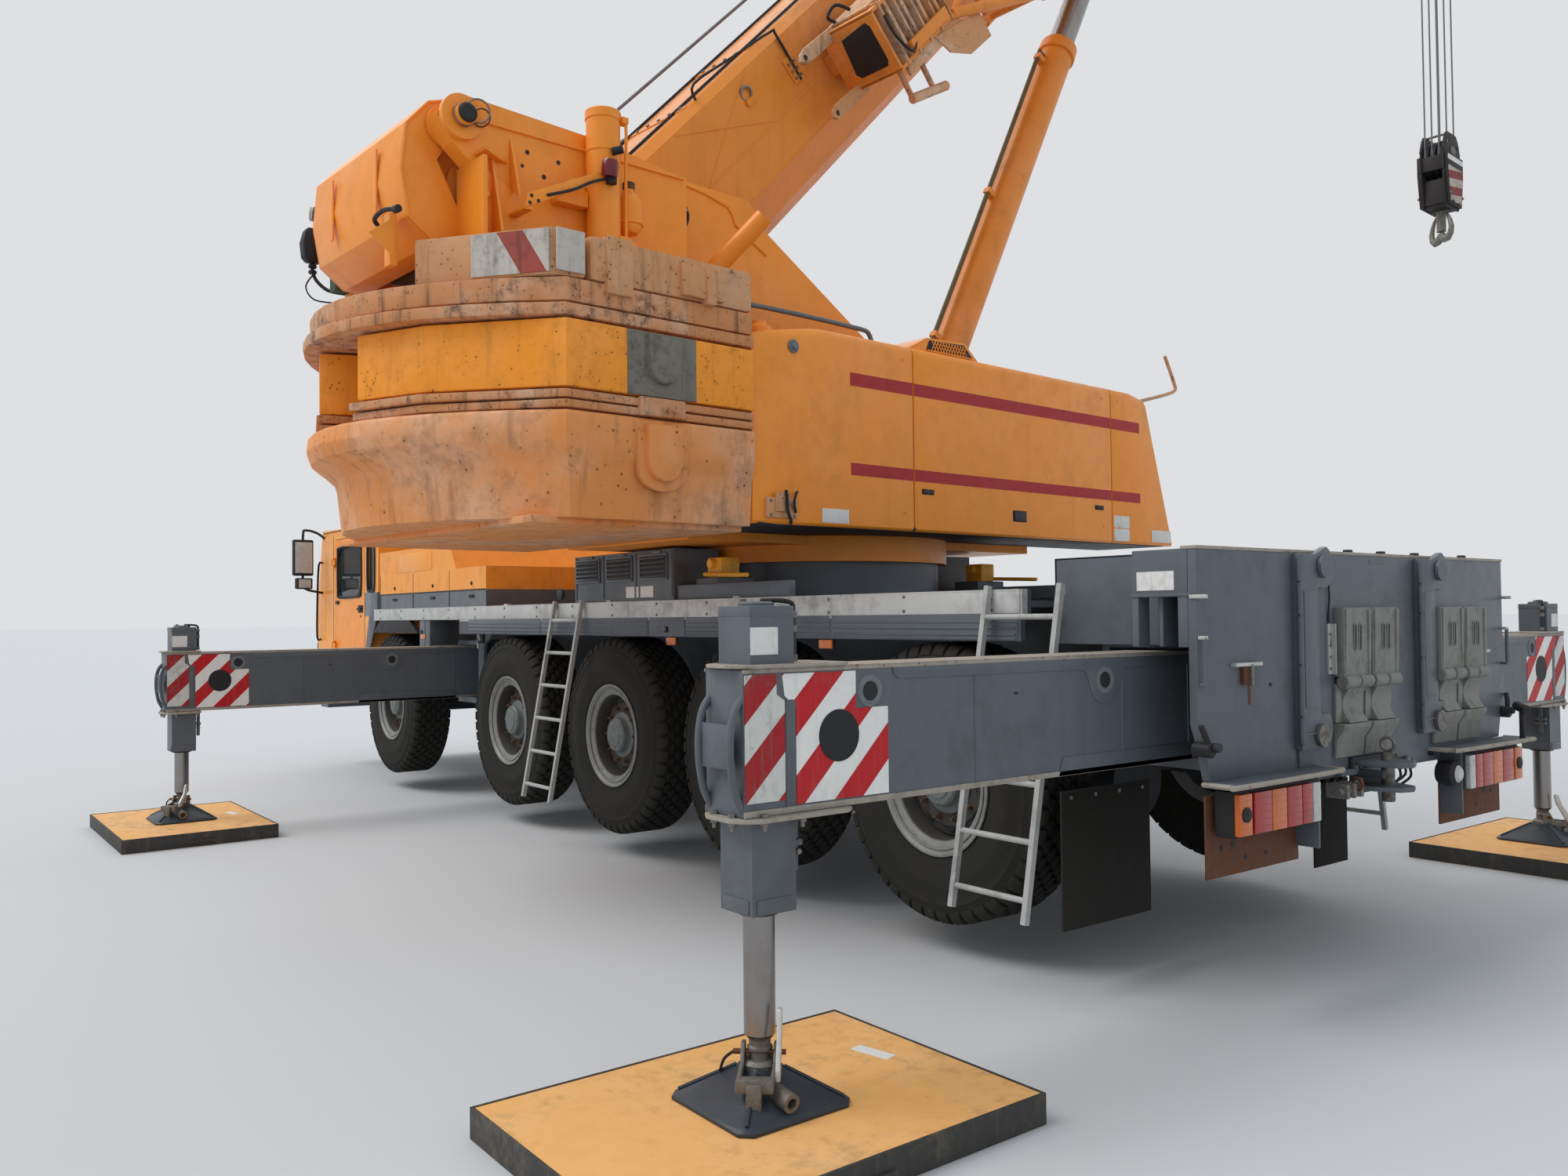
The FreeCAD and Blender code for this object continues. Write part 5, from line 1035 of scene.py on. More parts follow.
    def chocks(self, form: Form, start: float) -> None:
        """Adds a pair of cast wheel chocks and their bracket.

        Args:
            start: y of the left side of the pair.
        """
        wall = self.wall
        lean = Matrix(((1, 0, 0, 0), (0, 1, -0.05, 0.05 * 1.66), (0, 0, 1, 0), (0, 0, 0, 1)))
        tone = "chock_alloy"
        for k in range(2):
            y1 = start - 0.255 * k
            y0 = y1 - 0.238
            form.prism("xz", [(wall, 1.362), (wall, 1.667), (wall - 0.046, 1.667), (wall - 0.052, 1.362)], y0,
                y1, tone, 0.006, lean)
            middle = (y0 + y1) / 2
            for a, b in ((y0 + 0.004, middle - 0.008), (middle + 0.008, y1 - 0.002)):
                form.bar((wall - 0.042, a, 1.340), (wall - 0.042, b, 1.340), 0.031, tone, 14, lean)
                form.box((wall - 0.066, wall - 0.01), (a + 0.004, b - 0.006), (1.318, 1.362), tone, 0.01,
                    lean)
            scoop = [(wall, 1.320), (wall - 0.050, 1.320)]
            scoop += [(wall - 0.018 - 0.034 * (abs(t - 0.5) * 2) ** 2, 1.315 - 0.150 * t)
                for t in (k2 / 8 for k2 in range(1, 8))]
            scoop += [(wall - 0.054, 1.160), (wall, 1.160)]
            form.prism("xz", scoop, y0 + 0.03, y1 - 0.05, tone, 0.002, lean)
            form.box((wall - 0.016, wall), (y0, y1), (1.16, 1.33), tone, 0.003, lean)
            form.prism("xz", [(wall, 1.157), (wall - 0.056, 1.157), (wall - 0.050, 1.130),
                (wall - 0.022, 1.085), (wall - 0.016, 1.005), (wall, 1.005)], y0, y1, tone, 0.005, lean)
            # Black plates in the slots: painted shade inside the hollow chock.
            for y in (middle - 0.02, middle + 0.026):
                form.prism("yz", slot_line(y, 1.535, 0.017, 0.112), wall - 0.0515, wall - 0.040, "black", 0.0,
                    lean)
                form.pipe([(wall - 0.051, *p) for p in slot_line(y, 1.535, 0.022, 0.118, True)], 0.0032, tone,
                    6, 0, lean)
            for a, b in ((y0 + 0.008, y0 + 0.03), (y1 - 0.03, y1 - 0.008)):
                form.box((wall - 0.055, wall - 0.045), (a, b), (1.37, 1.66), tone, 0.004, lean)
        form.box((wall - 0.012, wall), (start + 0.045, start + 0.068), (1.375, 1.597), "bright_alloy", 0.002)
        form.box((wall - 0.035, wall - 0.010), (start + 0.045, start + 0.049), (1.375, 1.597), "bright_alloy",
            0.001)
        for z in (1.40, 1.45, 1.50, 1.55):
            form.lathe([(0.0, 0), (0.006, 0), (0.006, 0.004), (0.0, 0.004)], (wall - 0.012, start + 0.058, z),
                (-1, 0, 0), "nut_steel", 6)

    def coupling(self, form: Form) -> None:
        """Adds the jaw coupling, the hose couplings and the clevis."""
        wall = self.wall
        form.box((wall - 0.022, wall), (-0.055, 0.245), (0.835, 0.998), "dark_frame", 0.006)
        for z0, z1 in ((0.958, 0.984), (0.852, 0.874)):
            line = [(wall, 0.21), (wall - 0.09, 0.20), (wall - 0.19, 0.155), (wall - 0.215, 0.09),
                (wall - 0.19, 0.025), (wall - 0.09, -0.02), (wall, -0.03)]
            form.prism("xy", line, z0, z1, "carrier_grey", 0.008)
        form.bar((wall - 0.10, 0.09, 0.80), (wall - 0.10, 0.09, 1.02), 0.028, "nut_steel", 16)
        form.ring((wall - 0.10, 0.09, 1.055), (0, 1, 0), 0.030, 0.007, "nut_steel", 18)
        form.bar((wall - 0.02, 0.20, 0.93), (wall - 0.14, 0.20, 0.93), 0.020, "dark_frame", 12)
        form.box((wall - 0.03, wall), (-0.20, 0.36), (0.925, 0.950), "carrier_grey", 0.004)
        for y, z in ((-0.115, 0.945), (-0.165, 0.955), (-0.215, 0.940)):
            form.bar((wall, y, z), (wall - 0.075, y, z), 0.020, "nut_steel", 14)
            form.ring((wall - 0.055, y, z), (1, 0, 0), 0.022, 0.006, "dark_frame", 16)
            form.pipe([(wall - 0.05, y, z - 0.015), (wall - 0.055, y, z - 0.06),
                (wall - 0.02, y + 0.03, z - 0.10)], 0.006, "black", 8, 3)
        for y in (0.315, 0.375, 0.435):
            form.box((wall - 0.10, wall), (y - 0.012, y + 0.012), (0.842, 0.905), "nut_steel", 0.006)
        form.bar((wall - 0.07, 0.29, 0.872), (wall - 0.07, 0.475, 0.872), 0.019, "nut_steel", 14)
        form.ring((wall - 0.095, 0.35, 0.90), (0.3, 1, 0), 0.026, 0.007, "rusty", 18)
        for y in (0.22, 0.26):
            for z in (0.86, 0.90, 0.955):
                form.lathe([(0.0, 0), (0.011, 0), (0.011, 0.010), (0.0, 0.010)], (wall - 0.022, y - 0.03, z),
                    (-1, 0, 0), "nut_steel", 6)
        form.bar((wall - 0.03, -0.52, 0.96), (wall + 0.0, -0.52, 0.96), 0.012, "black", 10)
        form.pipe([(wall - 0.004, 0.40, 1.83), (wall - 0.008, 0.392, 1.72), (wall - 0.006, 0.40, 1.62),
            (wall - 0.010, 0.395, 1.50)], 0.004, "black", 6, 3)

    def latch(self, form: Form) -> None:
        """Adds the T-shaped latches with their rust runs."""
        wall = self.wall
        for side in (1, -1):
            form.box((wall - 0.030, wall), (side * 0.962, side * 1.155), (1.432, 1.448), "bright_alloy",
                0.006)
            form.box((wall - 0.020, wall), (side * 1.025, side * 1.085), (1.358, 1.435), "rusty", 0.004)
            form.box((wall - 0.034, wall - 0.018), (side * 1.035, side * 1.05), (1.352, 1.44), "nut_steel",
                0.003)
            form.box((wall - 0.0012, wall), (side * 1.012, side * 1.030), (1.275, 1.358), "rusty", 0.0)
            form.lathe([(0.0, 0), (0.008, 0), (0.006, 0.006), (0.0, 0.006)], (wall, side * 0.865, 1.35),
                (-1, 0, 0), "dark_frame", 10)
        for y in (0.18, -0.12, -0.45, -0.95):
            form.box((wall + 0.002, wall + 0.03), (y - 0.02, y + 0.02), (self.top + 0.008, self.top + 0.022),
                "black", 0.004)
        form.box((wall - 0.0015, wall), (0.02, -0.12), (1.868, 1.886), "carrier_grey", 0.0)

    def lamp_group(self, form: Form, side: int) -> None:
        """Adds the lamps, their shelf, the holed plate and the mudflap of one side.

        Args:
            side: 1 for the left and -1 for the right.
        """
        back = self.wall - 0.008
        lenses = ((1.200, 1.288, "lens_amber"), (1.060, 1.185, "lens_red"), (0.950, 1.056, "lens_amber"),
            (0.835, 0.946, "lens_red"), (0.755, 0.831, "lens_red"), (0.690, 0.750, "lens_clear"))
        form.box((back - 0.085, back), (side * 0.66, side * 1.295), (0.772, 0.955), "black", 0.01)
        for near, far, tone in lenses:
            form.box((back - 0.108, back - 0.08), (side * near, side * far), (0.782, 0.945), tone, 0.006)
            for k in range(1, 6):
                z = 0.782 + 0.163 * k / 6
                form.box((back - 0.1092, back - 0.107), (side * (near + 0.008), side * (far - 0.008)),
                    (z - 0.0016, z + 0.0016), tone, 0.0)
        form.lathe([(0.0, 0), (0.030, 0), (0.030, 0.006), (0.012, 0.010), (0.0, 0.010)],
            (back - 0.108, side * 1.244, 0.865), (-1, 0, 0), "black", 16)
        shelf = [(self.wall, side * 0.517), (self.wall - 0.10, side * 0.530),
            (self.wall - 0.135, side * 0.60), (self.wall - 0.145, side * 1.31),
            (self.wall - 0.12, side * 1.352), (self.wall, side * 1.355)]
        form.prism("xy", shelf, 0.968, 0.986, "carrier_grey", 0.004)
        form.pipe([(x, y, 0.980) for x, y in shelf], 0.011, "worn_edge", 8, 4)
        form.box((self.wall + 0.012, self.wall + 0.022), (side * 0.65, side * 1.32), (0.60, 0.93), "rusty",
            0.004)
        for y, z, r in ((1.22, 0.715, 0.012), (1.14, 0.722, 0.014), (0.80, 0.745, 0.013), (0.74, 0.748, 0.009),
                        (1.05, 0.66, 0.010), (0.90, 0.66, 0.010)):
            form.lathe([(0.0, 0), (r, 0), (r, 0.0015), (0.0, 0.0015)], (self.wall + 0.012, side * y, z),
                (-1, 0, 0), "black", 14)
        form.box((self.wall - 0.09, self.wall + 0.02), (side * 0.655, side * 0.668), (0.66, 0.96),
            "carrier_grey", 0.003)
        if side < 0:
            form.lathe([(0.0, 0.0), (0.052, 0.0), (0.062, 0.02), (0.062, 0.075), (0.045, 0.09), (0.0, 0.09)],
                (self.wall - 0.01, -0.60, 0.862), (-1, 0, 0), "black", 24)
            form.lathe([(0.0, 0.0), (0.044, 0.0), (0.03, 0.012), (0.0, 0.016)],
                (self.wall - 0.098, -0.60, 0.862), (-1, 0, 0), "lens_clear", 24)
            form.bar((self.wall - 0.10, -1.335, 0.985), (self.wall - 0.10, -1.335, 1.14), 0.014, "black", 12)
            form.bar((self.wall - 0.13, -1.32, 1.13), (self.wall - 0.06, -1.36, 1.15), 0.024, "black", 12)
        low, high, inner, outer = (0.27, 0.877, 0.74, 1.365) if side > 0 else (0.27, 0.70, 0.705, 1.05)
        form.box((-3.398, -3.388), (side * inner, side * outer), (low, high), "rubber", 0.002)
        for k in range(4):
            y = inner + 0.06 + (outer - inner - 0.12) * k / 3
            form.lathe([(0.0, 0), (0.010, 0), (0.010, 0.006), (0.0, 0.006)], (-3.398, side * y, high - 0.03),
                (-1, 0, 0), "nut_steel", 6)


def arc(centre: Span, radius: float, start: float, end: float, steps: int) -> list[Span]:
    """Returns points of an arc.

    Args:
        centre: its middle, as (across, up).
        radius: its radius.
        start: first angle in degrees from +across, mirrored so that 0 points to -across.
        end: last angle.
        steps: number of runs.

    Returns:
        The points, first to last.
    """
    found = []
    for i in range(steps + 1):
        a = math.radians(start + (end - start) * i / steps)
        found.append((centre[0] - radius * math.cos(a), centre[1] + radius * math.sin(a)))
    return found


def slot_line(across: float, up: float, wide: float, tall: float, closed: bool = False) -> list[Span]:
    """Returns the outline of an upright slot with round ends.

    Args:
        across: its middle.
        up: its middle height.
        wide: its width.
        tall: its height.
        closed: repeats the first point.

    Returns:
        The outline's points.
    """
    r, straight = wide / 2, tall / 2 - wide / 2
    line = [(across + r * math.cos(a), up + straight + r * math.sin(a)) for a in (math.pi * i / 6
        for i in range(7))]
    line += [(across - r * math.cos(a), up - straight - r * math.sin(a)) for a in (math.pi * i / 6
        for i in range(7))]
    return line + line[:1] if closed else line


@dataclass
class Outriggers:
    """Trim of the four outriggers: flanges, warning panels, jack cases, feet and mats."""

    rows: tuple = (("front", "left", 1, 3.65, 3.50, 0.956), ("front", "right", -1, 3.43, 3.50, 0.956),
        ("rear", "left", 1, -3.69, 3.21, 1.027), ("rear", "right", -1, -3.47, 3.48, 1.027))
    face: float = 0.105
    height: float = 0.46

    def build(self) -> None:
        """Builds one trim piece, one foot and one mat for each leg."""
        for end, word, side, lane, reach, bottom in self.rows:
            place = Matrix.Translation((lane, side * reach, bottom)) @ Matrix.Diagonal((1, side, 1, 1))
            form = Form(f"leg_trim_{end}_{word}", Place.CARRIER, 0.004)
            form.turn = place
            inner = -0.12 if end == "front" else -0.30
            self.flanges(form, inner)
            for out in (1, -1):
                self.panels(form, out)
                self.dressing(form, out)
            self.case(form)
            form.make(f"beam_{end}_{word}")
            self.foot(end, word, Matrix.Translation((lane, side * reach, 0)) @ Matrix.Diagonal((1, side, 1,
                1)), bottom)
            self.mat(end, word, lane, side * reach)

    def flanges(self, form: Form, inner: float) -> None:
        """Adds the worn top sheet, the edge strips, the wide outer flanges and the rounded end.

        Args:
            inner: how far in the wide flanges may reach.
        """
        face, high = self.face, self.height
        end = -2.54 - inner
        form.box((-face - 0.003, face + 0.003), (end, 0.10), (high, high + 0.004), "worn_edge", 0.002)
        for out in (1, -1):
            form.box((out * face, out * (face + 0.004)), (end, 0.13), (0.0, 0.020), "worn_edge", 0.002)
            form.box((out * face, out * (face + 0.0035)), (end, 0.13), (high - 0.012, high), "worn_edge",
                0.002)
        for low, thick in ((-0.018, 0.016), (high + 0.003, 0.012)):
            wide = face + (0.034 if low < 0 else 0.022)
            line = [(-wide + 0.02, inner), (-wide, inner + 0.03), (-wide, 0.085), (-wide + 0.035, 0.135),
                (-wide + 0.075, 0.158), (wide - 0.075, 0.158), (wide - 0.035, 0.135), (wide, 0.085),
                (wide, inner + 0.03), (wide - 0.02, inner)]
            form.prism("xy", line, low, low + thick, "worn_edge", 0.005)
        form.box((-face, face), (0.085, 0.128), (0.0, high), "carrier_grey", 0.006)
        for x in (-0.088, 0.088):
            form.pipe([(x, 0.120, 0.02), (x, 0.150, 0.08), (x, 0.166, 0.17), (x, 0.166, 0.26),
                (x, 0.150, 0.33), (x, 0.120, 0.37)], 0.013, "carrier_grey", 10, 4)
        form.box((-0.088, 0.088), (0.156, 0.164), (0.15, 0.29), "carrier_grey", 0.003)
        for x, y in ((-0.12, 0.06), (-0.12, -0.09), (0.12, 0.06), (0.12, -0.09), (-0.05, 0.135), (0.05, 0.135)):
            for z, way in ((-0.018, -1), (-0.002, 1))[:2 if y > 0 else 1]:
                form.lathe([(0.0, 0), (0.0135, 0), (0.0135, 0.011), (0.0, 0.013)], (x, y, z), (0, 0, way),
                    "nut_steel", 6)
            form.bar((x, y, -0.046), (x, y, -0.018), 0.007, "nut_steel", 8)

    def panels(self, form: Form, out: int) -> None:
        """Adds the warning panels, the black disc and the ring bushings of one face.

        Args:
            out: 1 for the face towards the front and -1 for the other.
        """
        face = out * self.face
        right = [(-0.023, 0.443), (-0.033, 0.373), (-0.078, 0.333), (-0.078, 0.025), (-0.474, 0.025),
            (-0.474, 0.318), (-0.331, 0.318), (-0.331, 0.443)]
        left = [(0.124, 0.443), (0.0, 0.443), (-0.001, 0.378), (-0.033, 0.358), (-0.033, 0.043),
            (0.124, 0.043)]
        for outline, tone in ((right, "stripe_sheet"), (left, "stripe_worn")):
            form.prism("yz", outline, face, face + out * 0.002, tone, 0.0)
        form.lathe([(0.0, 0), (0.086, 0), (0.086, 0.0035), (0.0, 0.0035)], (face, -0.257, 0.233), (out, 0, 0),
            "black", 36)
        for y, z in ((-0.394, 0.373), (-1.641, 0.360)):
            form.lathe([(0.031, 0.0), (0.056, 0.0), (0.053, 0.005), (0.034, 0.005), (0.031, 0.0)],
                (face, y, z), (out, 0, 0), "bush_grey", 28)
            form.lathe([(0.0, 0), (0.032, 0), (0.032, 0.0042), (0.0, 0.0042)], (face, y, z), (out, 0, 0),
                "black", 24)

    def dressing(self, form: Form, out: int) -> None:
        """Adds the doubler, the weld seams and the lower strip of one face.

        Args:
            out: 1 for the face towards the front and -1 for the other.
        """
        face, high = out * self.face, self.height
        lobe = [(-1.641 + 0.098 * math.cos(a), 0.362 + 0.098 * math.sin(a)) for a in (math.pi * (1.02 +
            0.96 * i / 10) for i in range(11))]
        line = [(-0.50, high - 0.012), (-0.50, 0.428), (-0.525, 0.408), (-1.49, 0.405), (-1.52, 0.398)]
        line += list(reversed(lobe)) + [(-1.76, 0.398), (-1.79, 0.405), (-2.22, 0.405), (-2.22, high - 0.012)]
        form.prism("yz", line, face, face + out * 0.0035, "carrier_grey", 0.0015)
        for y, low, top in ((-0.90, 0.02, 0.405), (-1.752, 0.02, 0.36), (-2.20, 0.02, 0.405)):
            form.pipe([(face, y, low), (face, y + 0.002, (low + top) / 2), (face, y, top)], 0.004,
                "carrier_grey", 6, 3)
        form.prism("yz", [(-1.35, 0.0), (-1.38, 0.072), (-2.22, 0.072), (-2.22, 0.0)], face,
            face + out * 0.004, "carrier_grey", 0.0015)
        form.prism("yz", [(-1.105, 0.333), (-1.118, 0.337), (-1.135, 0.330), (-1.12, 0.326)], face,
            face + out * 0.0012, "black", 0.0)
        form.box((face, face + out * 0.003), (-0.074, -0.036), (0.02, 0.36), "carrier_grey", 0.001)

    def case(self, form: Form) -> None:
        """Adds the fittings of the jack's case."""
        top, foot = self.height + 0.196, 0.712 - 1.027
        form.box((-0.0895, 0.0895), (-0.0895, 0.0895), (top - 0.030, top + 0.004), "carrier_grey", 0.006)
        form.lathe([(0.0, 0), (0.060, 0), (0.060, 0.010), (0.052, 0.016), (0.0, 0.016)], (0, 0, top + 0.003),
            (0, 0, 1), "carrier_grey", 24)
        form.bar((0.03, 0.03, top + 0.016), (0.03, 0.03, top + 0.028), 0.012, "nut_steel", 6)
        for out in (1, -1):
            form.box((out * 0.087, out * 0.0885), (-0.022, 0.086), (0.505, 0.592), "white_sheet", 0.0)
        form.bar((-0.062, -0.1035, self.height + 0.02), (-0.062, -0.1035, top - 0.02), 0.011, "dark_frame",
            12)
        for z in (self.height + 0.02, self.height + 0.115, top - 0.035):
            form.bar((-0.062, -0.1035, z), (-0.062, -0.1035, z + 0.022), 0.0145, "nut_steel", 6)
        form.pipe([(-0.062, -0.1035, top - 0.02), (-0.062, -0.100, top + 0.012), (-0.045, -0.06, top + 0.022),
            (0.0, -0.02, top + 0.022)], 0.008, "black", 8, 4)
        form.pipe([(-0.095, -0.095, -0.02), (-0.095, 0.095, -0.02), (0.095, 0.095, -0.02),
            (0.095, -0.095, -0.02), (-0.095, -0.095, -0.02)], 0.007, "carrier_grey", 6)
        for out in (1, -1):
            form.box((out * 0.087, out * 0.0905), (-0.07, 0.07), (foot + 0.004, foot + 0.05), "carrier_grey",
                0.002)
            form.box((-0.07, 0.07), (out * 0.087, out * 0.0905), (foot + 0.004, foot + 0.05), "carrier_grey",
                0.002)
        form.ring((0, 0, foot - 0.004), (0, 0, 1), 0.062, 0.008, "black", 28)
        form.box((-0.055, -0.030), (-0.122, -0.100), (-0.20, -0.02), "carrier_grey", 0.004)
        form.box((-0.075, -0.010), (-0.125, -0.088), (-0.115, -0.095), "carrier_grey", 0.004)
        form.bar((-0.075, -0.112, -0.135), (-0.010, -0.112, -0.135), 0.010, "nut_steel", 10)

    def foot(self, end: str, word: str, place: Matrix, bottom: float) -> None:
        """Adds the chromed rod, its neck and yoke and the pyramid-shaped foot.

        Args:
            end: front or rear.
            word: left or right.
            place: matrix of the jack's axis at the ground.
            bottom: height of the beam's underside.
        """
        form = Form(f"foot_detail_{end}_{word}", Place.CARRIER, 0.005)
        form.turn = place
        top = bottom + self.height - 0.255
        drop = 0.034 if end == "front" else 0.0
        form.lathe([(0.0, 0.312), (0.047, 0.312), (0.0515, 0.318), (0.0515, top - 0.003), (0.0, top)],
            (0, 0, 0), (0, 0, 1), "chrome", 40)
        form.lathe([(0.0, 0.20), (0.040, 0.20), (0.034, 0.235), (0.034, 0.262), (0.041, 0.268),
            (0.041, 0.276), (0.034, 0.282), (0.036, 0.300), (0.048, 0.314), (0.0, 0.314)], (0, 0, 0),
            (0, 0, 1), "worn_steel", 28)
        rings = []
        for half, z in ((0.220, 0.101), (0.220, 0.112), (0.203, 0.126), (0.060, 0.212), (0.052, 0.224)):
            cut = half * 0.16
            rings.append([(half - cut, -half, z), (half, cut - half, z), (half, half - cut, z),
                (half - cut, half, z), (cut - half, half, z), (-half, half - cut, z), (-half, cut - half, z),
                (cut - half, -half, z)])
        loft(form, rings, "foot_paint", 0.003)
        form.pipe([(0.205, -0.16, 0.116), (0.205, 0.16, 0.116), (0.16, 0.205, 0.116), (-0.16, 0.205, 0.116),
            (-0.205, 0.16, 0.116), (-0.205, -0.16, 0.116), (-0.16, -0.205, 0.116), (0.16, -0.205, 0.116),
            (0.205, -0.16, 0.116)], 0.007, "foot_paint", 6)
        for x, y in ((1, 1), (-1, 1), (-1, -1), (1, -1)):
            form.pipe([(x * 0.19, y * 0.19, 0.128), (x * 0.055, y * 0.055, 0.215)], 0.006, "foot_paint", 6)
        form.lathe([(0.0, 0.0), (0.062, 0.0), (0.062, 0.022), (0.050, 0.034), (0.0, 0.036)], (0, 0, 0.205),
            (0, 0, 1), "worn_steel", 28)
        for sway in (-1, 1):
            form.prism("xz", [(0.02, 0.222), (0.02, 0.288), (-0.02, 0.292), (-0.045, 0.240), (-0.150, 0.226),
                (-0.150, 0.196), (-0.04, 0.205)], sway * 0.046, sway * 0.060, "worn_steel", 0.004,
                self.swing())
        form.box((-0.185, -0.140), (-0.060, 0.060), (0.190, 0.232), "worn_steel", 0.008, self.swing())
        form.box((-0.205, -0.178), (-0.024, 0.024), (0.118, 0.222), "worn_steel", 0.005, self.swing())
        form.prism("xz", [(-0.150, 0.215), (-0.120, 0.225), (-0.055, 0.345 - drop), (-0.040, 0.405 - drop),
            (-0.052, 0.418 - drop), (-0.068, 0.410 - drop), (-0.090, 0.345 - drop), (-0.150, 0.250)], -0.078,
            -0.062, "bright_alloy", 0.005, self.swing())
        form.bar((-0.015, -0.085, 0.262), (-0.015, 0.085, 0.262), 0.009, "rusty", 12, self.swing())
        form.pipe([(-0.02, 0.085, 0.262), (-0.01, 0.115, 0.235), (0.0, 0.13, 0.19), (0.01, 0.128, 0.172)],
            0.005, "black", 8, 4, self.swing())
        form.lathe([(0.017, 0.0), (0.030, 0.0), (0.030, 0.085), (0.017, 0.085), (0.017, 0.0)],
            (-0.205, 0.030, 0.160), (1, 0, 0.12), "worn_steel", 20)
        form.lathe([(0.0, 0.0), (0.019, 0.0), (0.019, 0.002), (0.0, 0.002)], (-0.190, 0.030, 0.161),
            (1, 0, 0.12), "black", 16)
        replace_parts(form.make(f"jack_body_{end}_{word}"), f"jack_{end}_{word}")

    @staticmethod
    def swing() -> Matrix:
        """Returns the turn of the yoke about the jack's axis."""
        return Matrix.Rotation(math.radians(-42), 4, "Z")

    def mat(self, end: str, word: str, lane: float, across: float) -> None:
        """Adds the steel edge, the lifting loops and the blank plate of a spreader mat.

        Args:
            end: front or rear.
            word: left or right.
            lane: x of its middle.
            across: y of its middle.
        """
        half_x, half_y = (0.75, 0.53) if end == "front" else (0.53, 0.75)
        form = Form(f"mat_trim_{end}_{word}", Place.CARRIER, 0.003)
        form.turn = Matrix.Translation((lane, across, 0))
        for way in (1, -1):
            form.box((way * (half_x - 0.006), way * (half_x + 0.005)), (-half_y - 0.005, half_y + 0.005),
                (0.002, 0.103), "mat_edge", 0.002)
            form.box((-half_x, half_x), (way * (half_y - 0.006), way * (half_y + 0.005)), (0.002, 0.103),
                "mat_edge", 0.002)
            form.box((way * (half_x + 0.004), way * (half_x + 0.018)), (-0.09, 0.09), (0.030, 0.048),
                "mat_edge", 0.006)
            for y in (-0.085, 0.085):
                form.bar((way * half_x, y, 0.039), (way * (half_x + 0.016), y, 0.039), 0.009, "mat_edge", 10)
        form.box((-0.10, 0.06), (-0.60, -0.545) if end == "rear" else (-0.42, -0.365), (0.100, 0.1012),
            "white_sheet", 0.0, Matrix.Rotation(0.2, 4, "Z"))
        form.make("carrier")


def loft(form: Form, rings: Sequence[Sequence[Point]], finish: str, bevel: float = 0.006) -> None:
    """Adds a solid through closed outlines of equal length.

    Args:
        form: the mesh to add to.
        rings: the outlines, first to last.
        finish: name of its finish.
        bevel: edge rounding.
    """
    count = len(rings[0])
    points = [p for ring in rings for p in ring]
    faces = [tuple(range(count)), tuple(range(count * (len(rings) - 1), count * len(rings)))]
    for k in range(len(rings) - 1):
        for i in range(count):
            j = (i + 1) % count
            faces.append((k * count + i, k * count + j, (k + 1) * count + j, (k + 1) * count + i))
    form.shape(points, faces, finish, bevel)
def copies_group() -> bpy.types.NodeTree:
    """Builds the Geometry Nodes tree that repeats a unit in a row or round the z axis.

    Returns:
        The node tree, with its inputs named.
    """
    group_tree = bpy.data.node_groups.new("Copies", "GeometryNodeTree")
    for label, kind in (("Unit", "NodeSocketGeometry"), ("Count", "NodeSocketInt"), ("Step", VECTOR),
                        ("Radius", FLOAT), ("Sweep", FLOAT), ("Jitter", FLOAT), ("Seed", "NodeSocketInt"),
                        ("Finish", "NodeSocketMaterial")):
        group_tree.interface.new_socket(name=label, in_out="INPUT", socket_type=kind)
    group_tree.interface.new_socket(name="Copies", in_out="OUTPUT", socket_type="NodeSocketGeometry")
    tree = Tree(group_tree)
    given = {s.name: s for s in tree.add("NodeGroupInput").outputs}
    index = tree.add("GeometryNodeInputIndex").outputs[0]
    angle = tree.math("MULTIPLY", index, given["Sweep"])
    across = tree.math("MULTIPLY", given["Radius"], tree.math("COSINE", angle))
    along = tree.math("MULTIPLY", given["Radius"], tree.math("SINE", angle))
    round_place = tree.add("ShaderNodeCombineXYZ", {0: across, 1: along}).outputs[0]
    row_place = tree.add("ShaderNodeVectorMath", {0: given["Step"], "Scale": index},
        operation="SCALE").outputs[0]
    place = tree.add("ShaderNodeVectorMath", {0: round_place, 1: row_place}, operation="ADD").outputs[0]
    points = tree.add("GeometryNodePoints", {"Count": given["Count"], "Position": place}).outputs[0]
    chance = tree.add("FunctionNodeRandomValue", {"Seed": given["Seed"], "ID": index}, data_type="FLOAT")
    size = tree.math("SUBTRACT", 1.0, tree.math("MULTIPLY", given["Jitter"], chance.outputs[1]))
    turn = tree.add("ShaderNodeCombineXYZ", {2: angle}).outputs[0]
    copies = tree.add("GeometryNodeInstanceOnPoints", { "Points": points, "Instance": given["Unit"],
        "Rotation": turn, "Scale": size}).outputs[0]
    real = tree.add("GeometryNodeRealizeInstances", {"Geometry": copies}).outputs[0]
    painted = tree.add("GeometryNodeSetMaterial", {"Geometry": real, "Material": given["Finish"]}).outputs[0]
    tree.add("NodeGroupOutput", {0: painted})
    return group_tree


